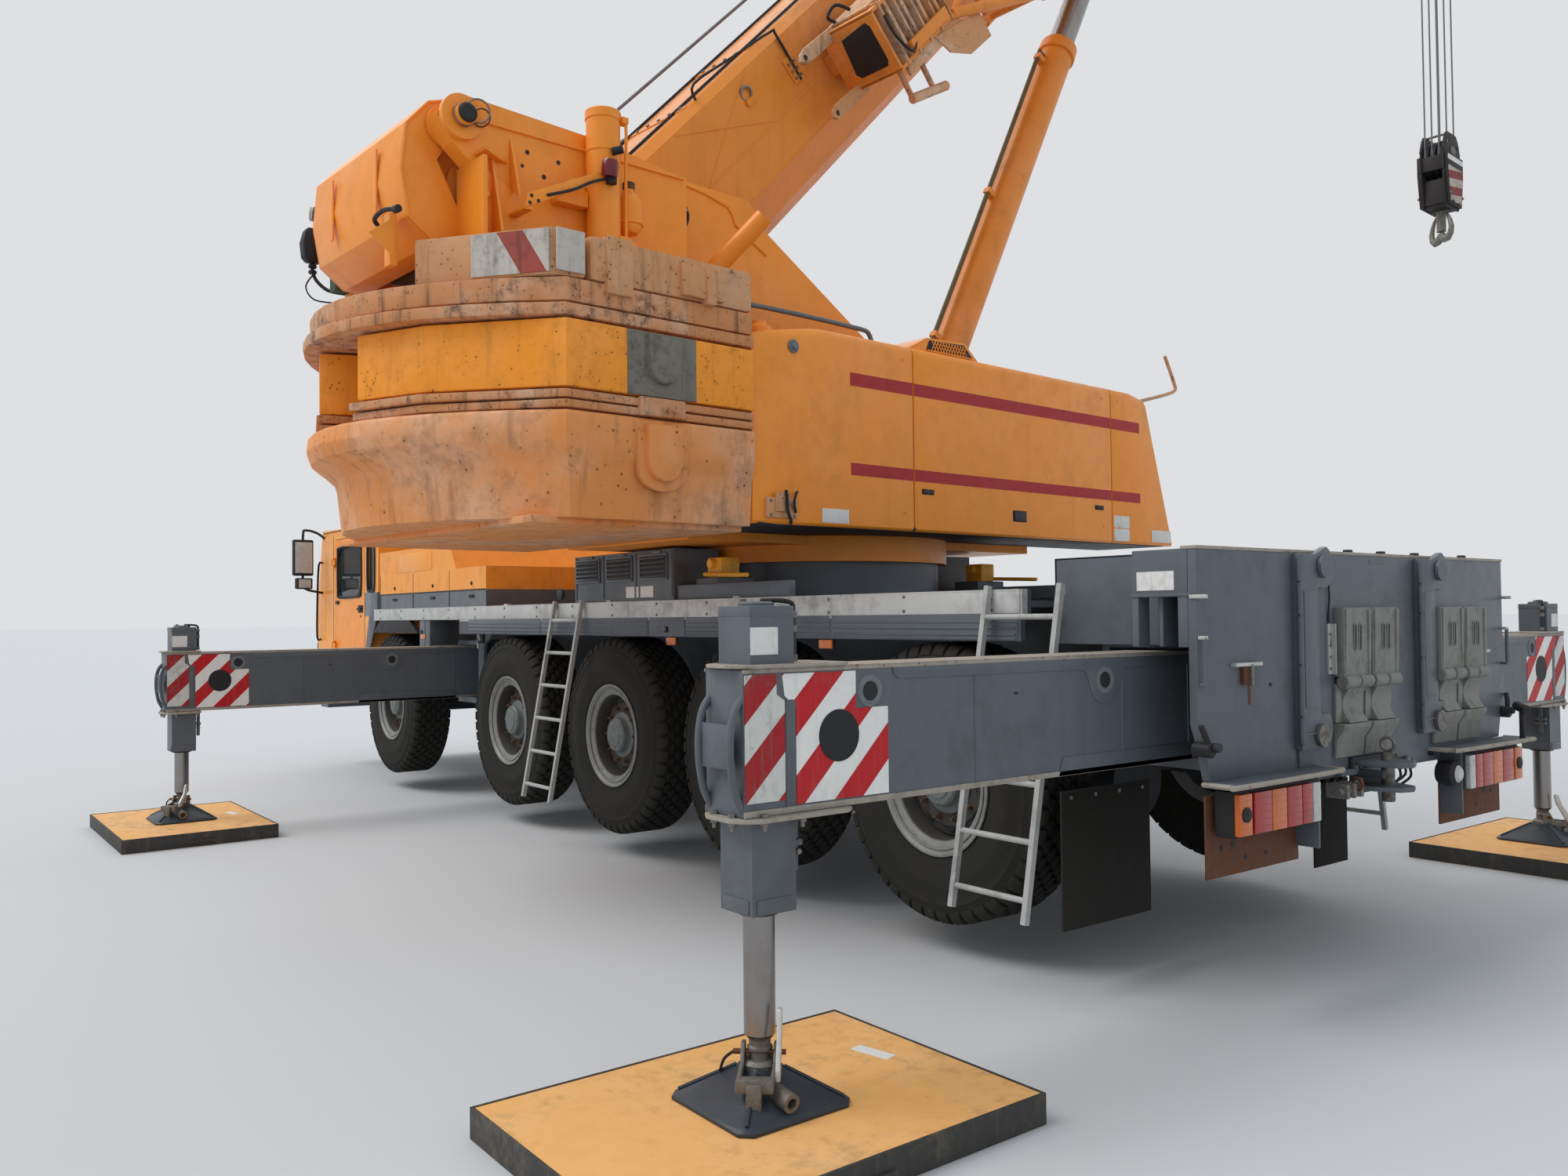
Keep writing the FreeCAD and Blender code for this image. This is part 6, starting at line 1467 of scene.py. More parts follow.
def repeat(form: Form, unit: Form, finish: str, count: int, step: Point = (0, 0, 0), radius: float = 0.0,
           sweep: float = 0.0, jitter: float = 0.0, turn: Matrix | None = None) -> None:
    """Adds copies of a unit to a form by Geometry Nodes, in a row or round the z axis.

    Args:
        form: the form that takes the copies.
        unit: the part that is copied, used up here.
        finish: name of the copies' finish.
        count: number of copies.
        step: offset from each copy to the next.
        radius: distance of the copies from the z axis.
        sweep: angle from each copy to the next.
        jitter: largest shrinking of a copy, by a fixed seed.
        turn: matrix that places the whole.
    """
    if "Copies" not in bpy.data.node_groups:
        copies_group()
    data = bpy.data.meshes.new("unit")
    unit.mesh.to_mesh(data)
    unit.mesh.free()
    holder = bpy.data.objects.new("unit", data)
    bpy.context.scene.collection.objects.link(holder)
    modifier = holder.modifiers.new("copies", "NODES")
    modifier.node_group = bpy.data.node_groups["Copies"]
    values = {"Count": count, "Step": step, "Radius": float(radius), "Sweep": float(sweep),
        "Jitter": float(jitter), "Seed": 7, "Finish": bpy.data.materials[finish]}
    for item in modifier.node_group.interface.items_tree:
        if item.in_out == "INPUT" and item.name in values:
            modifier[item.identifier] = values[item.name]
    baked = bpy.data.meshes.new_from_object(holder.evaluated_get(bpy.context.evaluated_depsgraph_get()))
    holder.modifiers.clear()
    part = bmesh.new()
    part.from_mesh(baked)
    bpy.data.objects.remove(holder)
    for spare in (data, baked):
        bpy.data.meshes.remove(spare)
    form.join(part, finish, turn)


class Wheels:
    """The ten tyres with their block tread, and the rims with hubs and nuts."""

    def build(self) -> None:
        """Makes a tyre and a rim on each wheel body."""
        for axle, along in AXLES:
            for word, side in SIDES:
                spin = Matrix.Rotation(0 if side > 0 else math.pi, 4, "Z") @ Matrix.Rotation(-math.pi / 2, 4,
                    "X")
                turn = Matrix.Translation((along, side * 1.18, 0.835)) @ spin
                tyre = Form(f"tread_{axle}_{word}")
                tyre.turn = turn
                self.tyre(tyre)
                tyre_piece = tyre.make(f"wheel_{axle}_{word}")
                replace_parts(tyre_piece, f"tyre_{axle}_{word}")
                rim = Form(f"hub_{axle}_{word}")
                rim.turn = turn
                self.rim(rim)
                rim_piece = rim.make(f"wheel_{axle}_{word}")
                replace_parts(rim_piece, f"rim_{axle}_{word}")

    def tyre(self, form: Form) -> None:
        """Adds the carcass with its ribs, and five rows of tread blocks."""
        outer = [(0.318, 0.160), (0.352, 0.162), (0.362, 0.170), (0.372, 0.178), (0.380, 0.1765),
            (0.388, 0.182), (0.396, 0.1805), (0.430, 0.1885), (0.470, 0.1915), (0.500, 0.1920),
            (0.504, 0.1900), (0.530, 0.1900), (0.534, 0.1880), (0.575, 0.1845), (0.579, 0.1870),
            (0.590, 0.1855), (0.594, 0.1820), (0.618, 0.1760), (0.640, 0.1660), (0.655, 0.1500),
            (0.664, 0.1280), (0.667, 0.08)]
        line = outer + [(radius, -level) for radius, level in reversed(outer)]
        form.lathe(line + [line[0]], (0, 0, 0), (0, 0, 1), "rubber", 88)
        count = 46
        sweep = 2 * math.pi / count
        for row, (level, shift) in enumerate(((-0.096, 0.5), (-0.048, 0), (0, 0.5), (0.048, 0), (0.096, 0.5))):
            unit = Form("unit")
            wide = 0.0275 if row != 2 else 0.0265
            hexagon = [(wide * 1.35 * math.cos(a), wide * math.sin(a)) for a in (math.pi / 6 * k
                for k in (0.4, 2.6, 5.4, 6.6, 9.4, 11.0))]
            unit.prism("yz", hexagon, 0.655, 0.6835, "rubber", 0.004)
            repeat(form, unit, "rubber", count, sweep=sweep, jitter=0.002, turn=Matrix.Translation((0, 0,
                level)) @ Matrix.Rotation(shift * sweep, 4, "Z"))
        for side in (1, -1):
            unit = Form("unit")
            lug = [(0.654, 0.118), (0.6835, 0.124), (0.6815, 0.142), (0.668, 0.163), (0.645, 0.1765),
                (0.622, 0.1800), (0.618, 0.1700), (0.640, 0.1550)]
            outline = [(radius, side * level) for radius, level in lug]
            unit.prism("xz", outline, -0.034, 0.034, "rubber", 0.003)
            repeat(form, unit, "rubber", count, sweep=sweep)

    def rim(self, form: Form) -> None:
        """Adds the rim, its lock ring, the disc with nuts and the hub; the inner barrel and the disc are
        painted dark as shade.
        """
        barrel = [(0.334, 0.170), (0.356, 0.171), (0.3585, 0.176), (0.3560, 0.1815), (0.346, 0.1825),
            (0.3380, 0.178), (0.330, 0.168), (0.312, 0.162), (0.296, 0.156), (0.286, 0.150), (0.2815, 0.140),
            (0.2805, 0.06), (0.2765, -0.155), (0.300, -0.165), (0.352, -0.172), (0.352, -0.165),
            (0.320, -0.155), (0.284, -0.07), (0.286, 0.09), (0.320, 0.150), (0.334, 0.170)]
        form.lathe(barrel, (0, 0, 0), (0, 0, 1), "rim_lip", 64)
        form.ring((0, 0, 0.1700), (0, 0, 1), 0.3215, 0.0042, "rim_lip", 64)
        # The inner barrel and the disc take the dark finish: painted shade of the rim's hollow, over its rust.
        form.lathe([(0.281, 0.142), (0.2785, 0.138), (0.2755, 0.05), (0.2755, 0.0), (0.279, 0.0),
            (0.281, 0.142)], (0, 0, 0), (0, 0, 1), "rim_dish", 56)
        dish = [(0.2755, 0.035), (0.268, 0.052), (0.245, 0.055), (0.232, 0.060), (0.222, 0.074),
            (0.160, 0.079), (0.150, 0.082), (0.150, -0.03), (0.2755, 0.015), (0.2755, 0.035)]
        form.lathe(dish, (0, 0, 0), (0, 0, 1), "rim_dish", 56)
        form.lathe([(0.158, 0.0), (0.158, 0.088), (0.150, 0.094), (0.128, 0.096), (0.122, 0.104),
            (0.118, 0.135), (0.108, 0.147), (0.082, 0.153), (0.078, 0.1585), (0.045, 0.161), (0, 0.1615)],
            (0, 0, -0.13), (0, 0, 1), "hub_paint", 40, Matrix.Translation((0, 0, 0.13)))
        unit = Form("unit")
        unit.lathe([(0.0195, 0.070), (0.0195, 0.080), (0.0155, 0.082), (0.0155, 0.100), (0.013, 0.103),
            (0.0095, 0.103), (0.0095, 0.116), (0.0075, 0.118), (0, 0.118)], (0, 0, 0), (0, 0, 1),
            "nut_steel", 6)
        repeat(form, unit, "nut_rust", 10, radius=0.1875, sweep=math.pi / 5, jitter=0.04)
        unit = Form("unit")
        unit.lathe([(0.009, 0.140), (0.009, 0.155), (0.007, 0.157), (0, 0.157)], (0, 0, -0.004), (0, 0, 1),
            "nut_steel", 6)
        repeat(form, unit, "hub_paint", 8, radius=0.0965, sweep=math.pi / 4)
        unit = Form("unit")
        unit.lathe([(0.028, 0.05), (0.028, 0.0645), (0.023, 0.0665), (0, 0.0665)], (0, 0, 0), (0, 0, 1),
            "black", 14)
        repeat(form, unit, "black", 10, radius=0.2275, sweep=math.pi / 5, turn=Matrix.Rotation(math.pi / 10,
            4, "Z"))
        form.bar((0.262, 0.0, 0.052), (0.300, 0.03, 0.140), 0.005, "black", 8)
MIRRORED = Matrix.Scale(-1, 4, (0, 1, 0))


def louvres(form: Form, x: Span, z: Span, y: float, finish: str, slats: int = 5) -> None:
    """Adds a framed panel of sloping slats that faces +y, its slats by Geometry Nodes.

    Args:
        form: the form that takes it.
        x: limits along.
        z: limits upwards.
        y: level of the skin behind it.
        finish: name of the slats' finish.
        slats: number of slats.
    """
    (x0, x1), (z0, z1) = x, z
    # A black sheet behind the slats: painted shade inside the vent.
    form.box(x, (y - 0.002, y + 0.003), z, "black", 0.001)
    for span, level in ((x, (z0 - 0.012, z0 + 0.004)), (x, (z1 - 0.004, z1 + 0.012))):
        form.box((span[0] - 0.012, span[1] + 0.012), (y - 0.002, y + 0.012), level, finish, 0.003)
    for edge in (x0 - 0.006, x1 + 0.006):
        form.box((edge - 0.006, edge + 0.006), (y - 0.002, y + 0.011), z, finish, 0.003)
    pitch = (z1 - z0) / slats
    unit = Form("unit")
    outline = [(0.0, pitch * 0.86), (0.004, pitch * 0.90), (0.017, pitch * 0.36), (0.017, pitch * 0.26),
        (0.012, pitch * 0.26)]
    unit.prism("yz", outline, x0 + 0.008, x1 - 0.008, finish, 0.001)
    repeat(form, unit, finish, slats, step=(0, 0, pitch), turn=Matrix.Translation((0, y, z0)))


def window(form: Form, x: Span, z: Span, y: float, corner: float = 0.07) -> None:
    """Adds a pane that faces +y, with its rubber seal.

    Args:
        form: the form that takes it.
        x: limits along.
        z: limits upwards.
        y: level of the skin.
        corner: size of the seal's corners.
    """
    (x0, x1), (z0, z1) = x, z
    form.box(x, (y - 0.022, y - 0.016), z, "window_glass", 0.0)
    path = [(x0 + corner, z0), (x1 - corner, z0), (x1, z0 + corner), (x1, z1 - corner), (x1 - corner, z1),
        (x0 + corner, z1), (x0, z1 - corner), (x0, z0 + corner), (x0 + corner, z0)]
    form.pipe([(a, y + 0.001, b) for a, b in path], 0.015, "black", 8, 3)
    for a, b in ((x0, z0), (x1, z0), (x1, z1), (x0, z1)):
        side_x, side_z = (1 if a == x0 else -1), (1 if b == z0 else -1)
        form.prism("xz", [(a, b), (a + side_x * corner, b), (a, b + side_z * corner)], y - 0.024, y - 0.001,
            "black", 0.0)


class CarrierSides:
    """Rail, skirts, mudguard, lockers, lamps and plates along both sides of the carrier."""

    def build(self) -> None:
        """Makes one piece a side."""
        for word, side in SIDES:
            form = Form(f"side_trim_{word}")
            if side < 0:
                form.turn = MIRRORED
            self.rail(form)
            self.skirt(form)
            self.front(form)
            self.lockers(form)
            self.housing(form)
            form.make("carrier")

    def rail(self, form: Form) -> None:
        """Adds the alloy rail's skin with its joints and screws."""
        joints = (-3.19, -1.35, 0.30, 2.05, 3.72, 5.43)
        for start, end in zip(joints, joints[1:]):
            form.box((start + 0.002, end - 0.002), (1.372, 1.379), (1.656, 1.760), "bright_alloy", 0.002)
            form.box((start + 0.002, end - 0.002), (1.318, 1.380), (1.757, 1.766), "bright_alloy", 0.002)
        for level in (1.672, 1.744):
            unit = Form("unit")
            unit.lathe([(0.009, 0), (0.009, 0.003), (0.006, 0.006), (0, 0.006)], (0, 1.379, level), (0, 1, 0),
                "nut_steel", 8)
            repeat(form, unit, "nut_steel", 15, step=(0.59, 0, 0), turn=Matrix.Translation((-3.02, 0, 0)))

    def skirt(self, form: Form) -> None:
        """Adds the ribbed skirts, their door with its latch and the reflectors."""
        for start, end in ((-3.17, -1.86), (-1.84, -0.42), (-0.40, 0.03), (0.05, 1.62), (1.64, 3.02)):
            form.box((start, end), (1.372, 1.3775), (1.532, 1.654), "carrier_grey", 0.003)
            if end != 0.03:
                for level, depth in ((1.618, 0.004), (1.590, 0.006), (1.560, 0.006), (1.540, 0.005)):
                    form.bar((start + 0.01, 1.3775, level), (end - 0.01, 1.3775, level), depth,
                        "carrier_grey", 8)
        form.box((-0.205, -0.165), (1.377, 1.387), (1.556, 1.596), "black", 0.004)
        form.box((-0.196, -0.174), (1.386, 1.396), (1.570, 1.590), "nut_steel", 0.003)
        for along in (-0.23, -1.80, 4.10):
            form.box((along - 0.062, along + 0.062), (1.352, 1.366), (1.472, 1.534), "black", 0.003)
            form.box((along - 0.055, along + 0.055), (1.364, 1.374), (1.478, 1.524), "lens_amber", 0.004)
        for along in (-0.95, 0.6, 2.3):
            form.box((along - 0.03, along + 0.03), (1.330, 1.366), (1.766, 1.778), "bright_alloy", 0.002)

    def front(self, form: Form) -> None:
        """Adds the mudguard, the tool box and the end plate of the outrigger box."""
        top, low = 1.652, 1.534
        for level, reach in ((0.0, 1.376), (0.002, 1.36)):
            form.prism("xz", [(4.46, top), (5.27, top), (5.36, 1.60), (5.46, low + level),
                (4.26, low + level), (4.36, 1.60)], reach - 0.03, reach, "black", 0.008)
        form.bar((4.24, 1.368, low + 0.004), (5.48, 1.368, low + 0.004), 0.009, "black", 10)
        form.box((3.94, 4.20), (1.165, 1.368), (1.335, 1.652), "carrier_grey", 0.010)
        form.box((4.058, 4.062), (1.366, 1.3705), (1.345, 1.645), "black", 0.0)
        form.box((4.12, 4.16), (1.367, 1.376), (1.52, 1.56), "black", 0.003)
        plate_line = [(3.27, 1.652), (2.90, 1.652), (3.00, 1.50), (3.14, 1.44), (3.19, 0.975), (3.27, 0.965)]
        form.prism("xz", plate_line, 1.155, 1.185, "carrier_grey", 0.004)
        form.box((3.05, 3.26), (1.185, 1.200), (1.585, 1.645), "white_sheet", 0.003)
        form.box((3.13, 3.25), (1.185, 1.202), (1.445, 1.560), "black", 0.006)
        form.bar((3.19, 1.200, 1.47), (3.20, 1.212, 1.54), 0.012, "bright_alloy", 8)
        form.bar((3.262, 1.19, 1.40), (3.258, 1.19, 1.60), 0.010, "bright_alloy", 8)

    def lockers(self, form: Form) -> None:
        """Adds the louvred lockers behind the rail, with their edge strips, hinges and plates."""
        for start in (-0.17, 0.28, 0.73):
            louvres(form, (start, start + 0.33), (1.915, 2.065), 1.360, "carrier_grey")
        for along in (-0.225, 0.228, 0.678, 1.080):
            form.box((along - 0.010, along + 0.010), (1.358, 1.366), (1.79, 2.09), "carrier_grey", 0.003)
        for along in (0.00, 0.19):
            form.box((along, along + 0.165), (1.359, 1.3635), (1.79, 1.865), "white_sheet", 0.003)
        for along in (-0.1, 0.36, 0.82):
            form.box((along, along + 0.10), (1.358, 1.372), (2.078, 2.092), "nut_steel", 0.003)
        form.box((-1.45, -0.27), (1.30, 1.345), (1.766, 1.86), "carrier_grey", 0.006)
        form.box((-0.66, -0.42), (1.02, 1.30), (1.766, 1.90), "carrier_grey", 0.01)
        form.box((-0.62, -0.46), (1.10, 1.24), (1.90, 2.03), "latch_paint", 0.012)
        form.bar((-0.46, 1.26, 1.925), (-0.98, 1.30, 1.905), 0.014, "latch_paint", 10)
        form.bar((-0.54, 1.06, 1.99), (-0.54, 1.28, 1.99), 0.030, "latch_paint", 16)
        form.lathe([(0.0, 0), (0.045, 0), (0.045, 0.02), (0.02, 0.028), (0, 0.028)], (1.45, 1.29, 1.84),
            (0, 1, 0), "dark_frame", 20)

    def housing(self, form: Form) -> None:
        """Adds the seams, the trim and the vents of the housing behind the cab."""
        face = 1.3152
        form.box((2.81, 5.43), (face - 0.003, face + 0.004), (1.908, 1.918), "black", 0.001)
        for along in (3.60, 4.50, 5.415):
            form.box((along, along + 0.006), (face - 0.003, face + 0.0015), (1.92, 2.10), "black", 0.0)
            form.box((along, along + 0.012), (face - 0.003, face + 0.006), (1.77, 1.905), "carrier_grey",
                0.002)
        for along in (3.05, 3.95, 4.95):
            form.box((along, along + 0.10), (face - 0.003, face + 0.010), (1.845, 1.870), "black", 0.005)
            form.lathe([(0.016, 0), (0.016, 0.006), (0.010, 0.009), (0, 0.009)], (along + 0.05, face, 1.97),
                (0, 1, 0), "black", 16)
        form.box((4.02, 4.98), (face - 0.003, face + 0.003), (2.12, 2.30), "cab_paint", 0.004)
        form.box((3.70, 5.30), (0.55, 1.20), (2.338, 2.352), "cab_paint", 0.006)
        # Black strips on the vent plate: painted shade in its slots.
        unit = Form("unit")
        unit.box((0, 0.012), (0.62, 1.14), (2.351, 2.362), "black", 0.001)
        repeat(form, unit, "black", 36, step=(0.04, 0, 0), turn=Matrix.Translation((3.78, 0, 0)))


class CarrierCab:
    """Glass, seals, mirrors, lamps, bumper and seats of the driver's cab, and its two doors."""

    def build(self) -> None:
        """Makes the shell's trim, the doors' trim and the seats."""
        for word, side in SIDES:
            form = Form(f"cab_trim_{word}")
            door = Form(f"door_trim_{word}")
            if side < 0:
                form.turn = door.turn = MIRRORED
            self.side(form)
            self.nose(form)
            self.mirror(form)
            form.make("carrier")
            self.door(door)
            door.make(f"door_{word}")
            self.seat(word, side)
        self.middle()

    def side(self, form: Form) -> None:
        """Adds the rear side window, the slanted grey band, the sill and the door's seams."""
        window(form, (5.665, 5.885), (1.965, 2.535), 1.290, 0.05)
        band = [(5.57, 1.945), (5.74, 1.945), (5.86, 1.62), (6.00, 1.20), (5.975, 1.02), (5.84, 1.02),
            (5.84, 1.30), (5.57, 1.72)]
        form.prism("xz", band, 1.289, 1.297, "carrier_grey", 0.004)
        form.box((7.055, 7.60), (1.288, 1.2925), (1.02, 1.14), "carrier_grey", 0.002)
        for low, high in (((5.978, 5.984), (1.12, 2.57)), ((7.04, 7.046), (1.14, 2.60))):
            form.box(low, (1.2885, 1.2915), high, "black", 0.0)
        form.box((5.60, 7.42), (1.262, 1.291), (2.652, 2.664), "black", 0.002)
        form.pipe([(7.52, 1.290, 1.45), (7.52, 1.332, 1.47), (7.50, 1.336, 1.9), (7.46, 1.332, 2.3),
            (7.45, 1.290, 2.32)], 0.012, "black", 8, 3)
        form.box((7.02, 7.06), (1.289, 1.31), (1.30, 1.36), "lens_amber", 0.004)

    def door(self, form: Form) -> None:
        """Adds the pane, the handle and the pressed lines of one door."""
        window(form, (6.085, 6.885), (1.915, 2.465), 1.290)
        form.prism("xz", [(6.085, 1.915), (6.26, 1.915), (6.085, 2.11)], 1.262, 1.286, "black", 0.002)
        form.box((6.04, 6.20), (1.289, 1.294), (1.74, 1.82), "black", 0.004)
        form.box((6.06, 6.18), (1.300, 1.316), (1.768, 1.792), "black", 0.006)
        for along in (6.07, 6.17):
            form.box((along - 0.01, along + 0.01), (1.290, 1.308), (1.768, 1.792), "black", 0.003)
        form.bar((6.12, 1.290, 1.70), (6.12, 1.296, 1.70), 0.012, "nut_steel", 14)
        form.box((6.02, 6.95), (1.289, 1.2925), (1.165, 1.171), "black", 0.0)
        form.box((5.995, 6.975), (1.289, 1.294), (1.132, 1.158), "carrier_grey", 0.002)
        form.box((6.84, 6.94), (1.290, 1.304), (1.84, 1.88), "black", 0.008)
        form.box((6.02, 6.95), (1.238, 1.243), (1.16, 1.88), "cloth", 0.004)

    def mirror(self, form: Form) -> None:
        """Adds the tall mirror on its bracket and the small one under it."""
        form.pipe([(7.38, 1.285, 2.60), (7.42, 1.36, 2.665), (7.36, 1.50, 2.69), (7.33, 1.545, 2.62),
            (7.33, 1.545, 2.10), (7.36, 1.50, 2.02), (7.42, 1.36, 1.99), (7.46, 1.285, 1.98)], 0.014,
            "black", 10, 4)
        form.prism("xy", [(7.30, 1.44), (7.345, 1.425), (7.385, 1.46), (7.39, 1.62), (7.35, 1.66),
            (7.30, 1.65)], 2.17, 2.58, "black", 0.018)
        form.box((7.294, 7.300), (1.452, 1.638), (2.20, 2.55), "lens_clear", 0.004)
        form.prism("xy", [(7.29, 1.45), (7.345, 1.435), (7.385, 1.47), (7.39, 1.59), (7.35, 1.63),
            (7.29, 1.62)], 2.02, 2.145, "black", 0.016)
        form.box((7.286, 7.292), (1.468, 1.602), (2.035, 2.13), "lens_clear", 0.004)
        form.bar((7.36, 1.53, 2.30), (7.36, 1.56, 2.30), 0.030, "black", 12)

    def nose(self, form: Form) -> None:
        """Adds one half of the bumper, the lamps, the grille and the wiper."""
        form.prism("xz", [(7.60, 1.03), (7.655, 1.05), (7.70, 1.10), (7.70, 1.36), (7.655, 1.40),
            (7.60, 1.40)], 0.001, 1.255, "carrier_grey", 0.010)
        form.box((7.62, 7.66), (1.25, 1.2935), (1.03, 1.40), "carrier_grey", 0.008)
        form.box((7.698, 7.705), (0.70, 1.18), (1.14, 1.31), "black", 0.004)
        for across in (0.81, 1.00):
            form.lathe([(0.0, 0.0), (0.070, 0.0), (0.070, 0.010), (0.062, 0.016), (0.0, 0.020)],
                (7.700, across, 1.225), (1, 0, 0), "lens_clear", 28)
            form.ring((7.712, across, 1.225), (1, 0, 0), 0.071, 0.006, "bright_alloy", 28)
        form.box((7.703, 7.716), (1.09, 1.16), (1.17, 1.28), "lens_amber", 0.006)
        form.box((7.698, 7.703), (0.001, 0.26), (1.15, 1.27), "white_sheet", 0.002)
        # A black sheet behind the grille's slats: painted shade behind the grille.
        form.box((7.664, 7.676), (0.001, 1.05), (1.45, 1.74), "black", 0.004)
        unit = Form("unit")
        unit.prism("xz", [(7.668, 0.0), (7.692, 0.004), (7.694, 0.016), (7.668, 0.034)], 0.001, 1.03,
            "carrier_grey", 0.002)
        repeat(form, unit, "carrier_grey", 6, step=(-0.001, 0, 0.047), turn=Matrix.Translation((0.001, 0,
            1.455)))
        form.shape([(7.632, 0.0, 1.835), (7.622, 0.0, 1.835), (7.462, 0.0, 2.545), (7.472, 0.0, 2.545),
            (7.632, 1.185, 1.835), (7.622, 1.185, 1.835), (7.462, 1.185, 2.545), (7.472, 1.185, 2.545)],
            [(0, 1, 2, 3), (4, 5, 6, 7), (0, 1, 5, 4), (1, 2, 6, 5), (2, 3, 7, 6), (3, 0, 4, 7)],
            "window_glass", 0.0)
        form.pipe([(7.652, 0.0, 1.825), (7.652, 1.12, 1.825), (7.640, 1.188, 1.90), (7.508, 1.188, 2.48),
            (7.490, 1.12, 2.556), (7.490, 0.0, 2.556)], 0.016, "black", 8, 3)
        form.pipe([(7.67, 0.62, 1.80), (7.675, 0.60, 1.86), (7.62, 0.20, 2.14)], 0.007, "black", 8, 2)
        form.bar((7.655, 0.28, 1.915), (7.570, 0.13, 2.360), 0.009, "black", 8)
        form.box((7.38, 7.60), (0.001, 1.22), (2.585, 2.607), "black", 0.008)
        form.bar((7.45, 0.82, 2.688), (7.45, 0.82, 2.712), 0.05, "black", 16)
        form.lathe([(0.045, 0), (0.048, 0.05), (0.040, 0.072), (0.0, 0.078)], (7.45, 0.82, 2.700), (0, 0, 1),
            "lens_amber", 20)
        form.bar((7.69, 0.48, 1.08), (7.73, 0.48, 1.08), 0.035, "dark_frame", 16)

    def seat(self, word: str, side: int) -> None:
        """Makes one padded seat.

        Args:
            word: side's name.
            side: 1 on the left and -1 on the right.
        """
        form = Form(f"seat_{word}", bevel=0.03)
        y = side * 0.72
        form.box((6.02, 6.50), (y - 0.24, y + 0.24), (1.56, 1.68), "cloth", 0.045)
        lean = Matrix.Translation((6.05, 0, 1.66)) @ Matrix.Rotation(math.radians(-12), 4, "Y")
        form.box((-0.06, 0.06), (y - 0.23, y + 0.23), (0.0, 0.60), "cloth", 0.045, lean)
        form.box((-0.05, 0.05), (y - 0.13, y + 0.13), (0.61, 0.80), "cloth", 0.04, lean)
        form.make("carrier")

    def middle(self) -> None:
        """Makes the dashboard, the wheel, the pedestals and the rear window's pane."""
        form = Form("cab_inside")
        form.prism("xz", [(7.20, 1.55), (7.58, 1.20), (7.60, 1.76), (7.52, 1.80), (7.24, 1.76)], -1.22, 1.22,
            "black", 0.03)
        for side in (1, -1):
            form.box((6.08, 6.44), (side * 0.60, side * 0.84), (1.07, 1.56), "black", 0.02)
        tilt = Matrix.Translation((7.02, 0.72, 1.86)) @ Matrix.Rotation(math.radians(-32), 4, "Y")
        form.ring((0, 0, 0), (0, 0, 1), 0.215, 0.014, "black", 36, tilt)
        form.bar((0, 0, -0.30), (0, 0, 0.01), 0.03, "black", 12, tilt)
        for spin in (0, 2.1, 4.2):
            form.bar((0, 0, 0), (0.205 * math.cos(spin), 0.205 * math.sin(spin), 0), 0.010, "black", 8, tilt)
        form.box((5.58, 5.588), (-0.72, 0.72), (2.36, 2.58), "window_glass", 0.0)
        form.make("carrier")
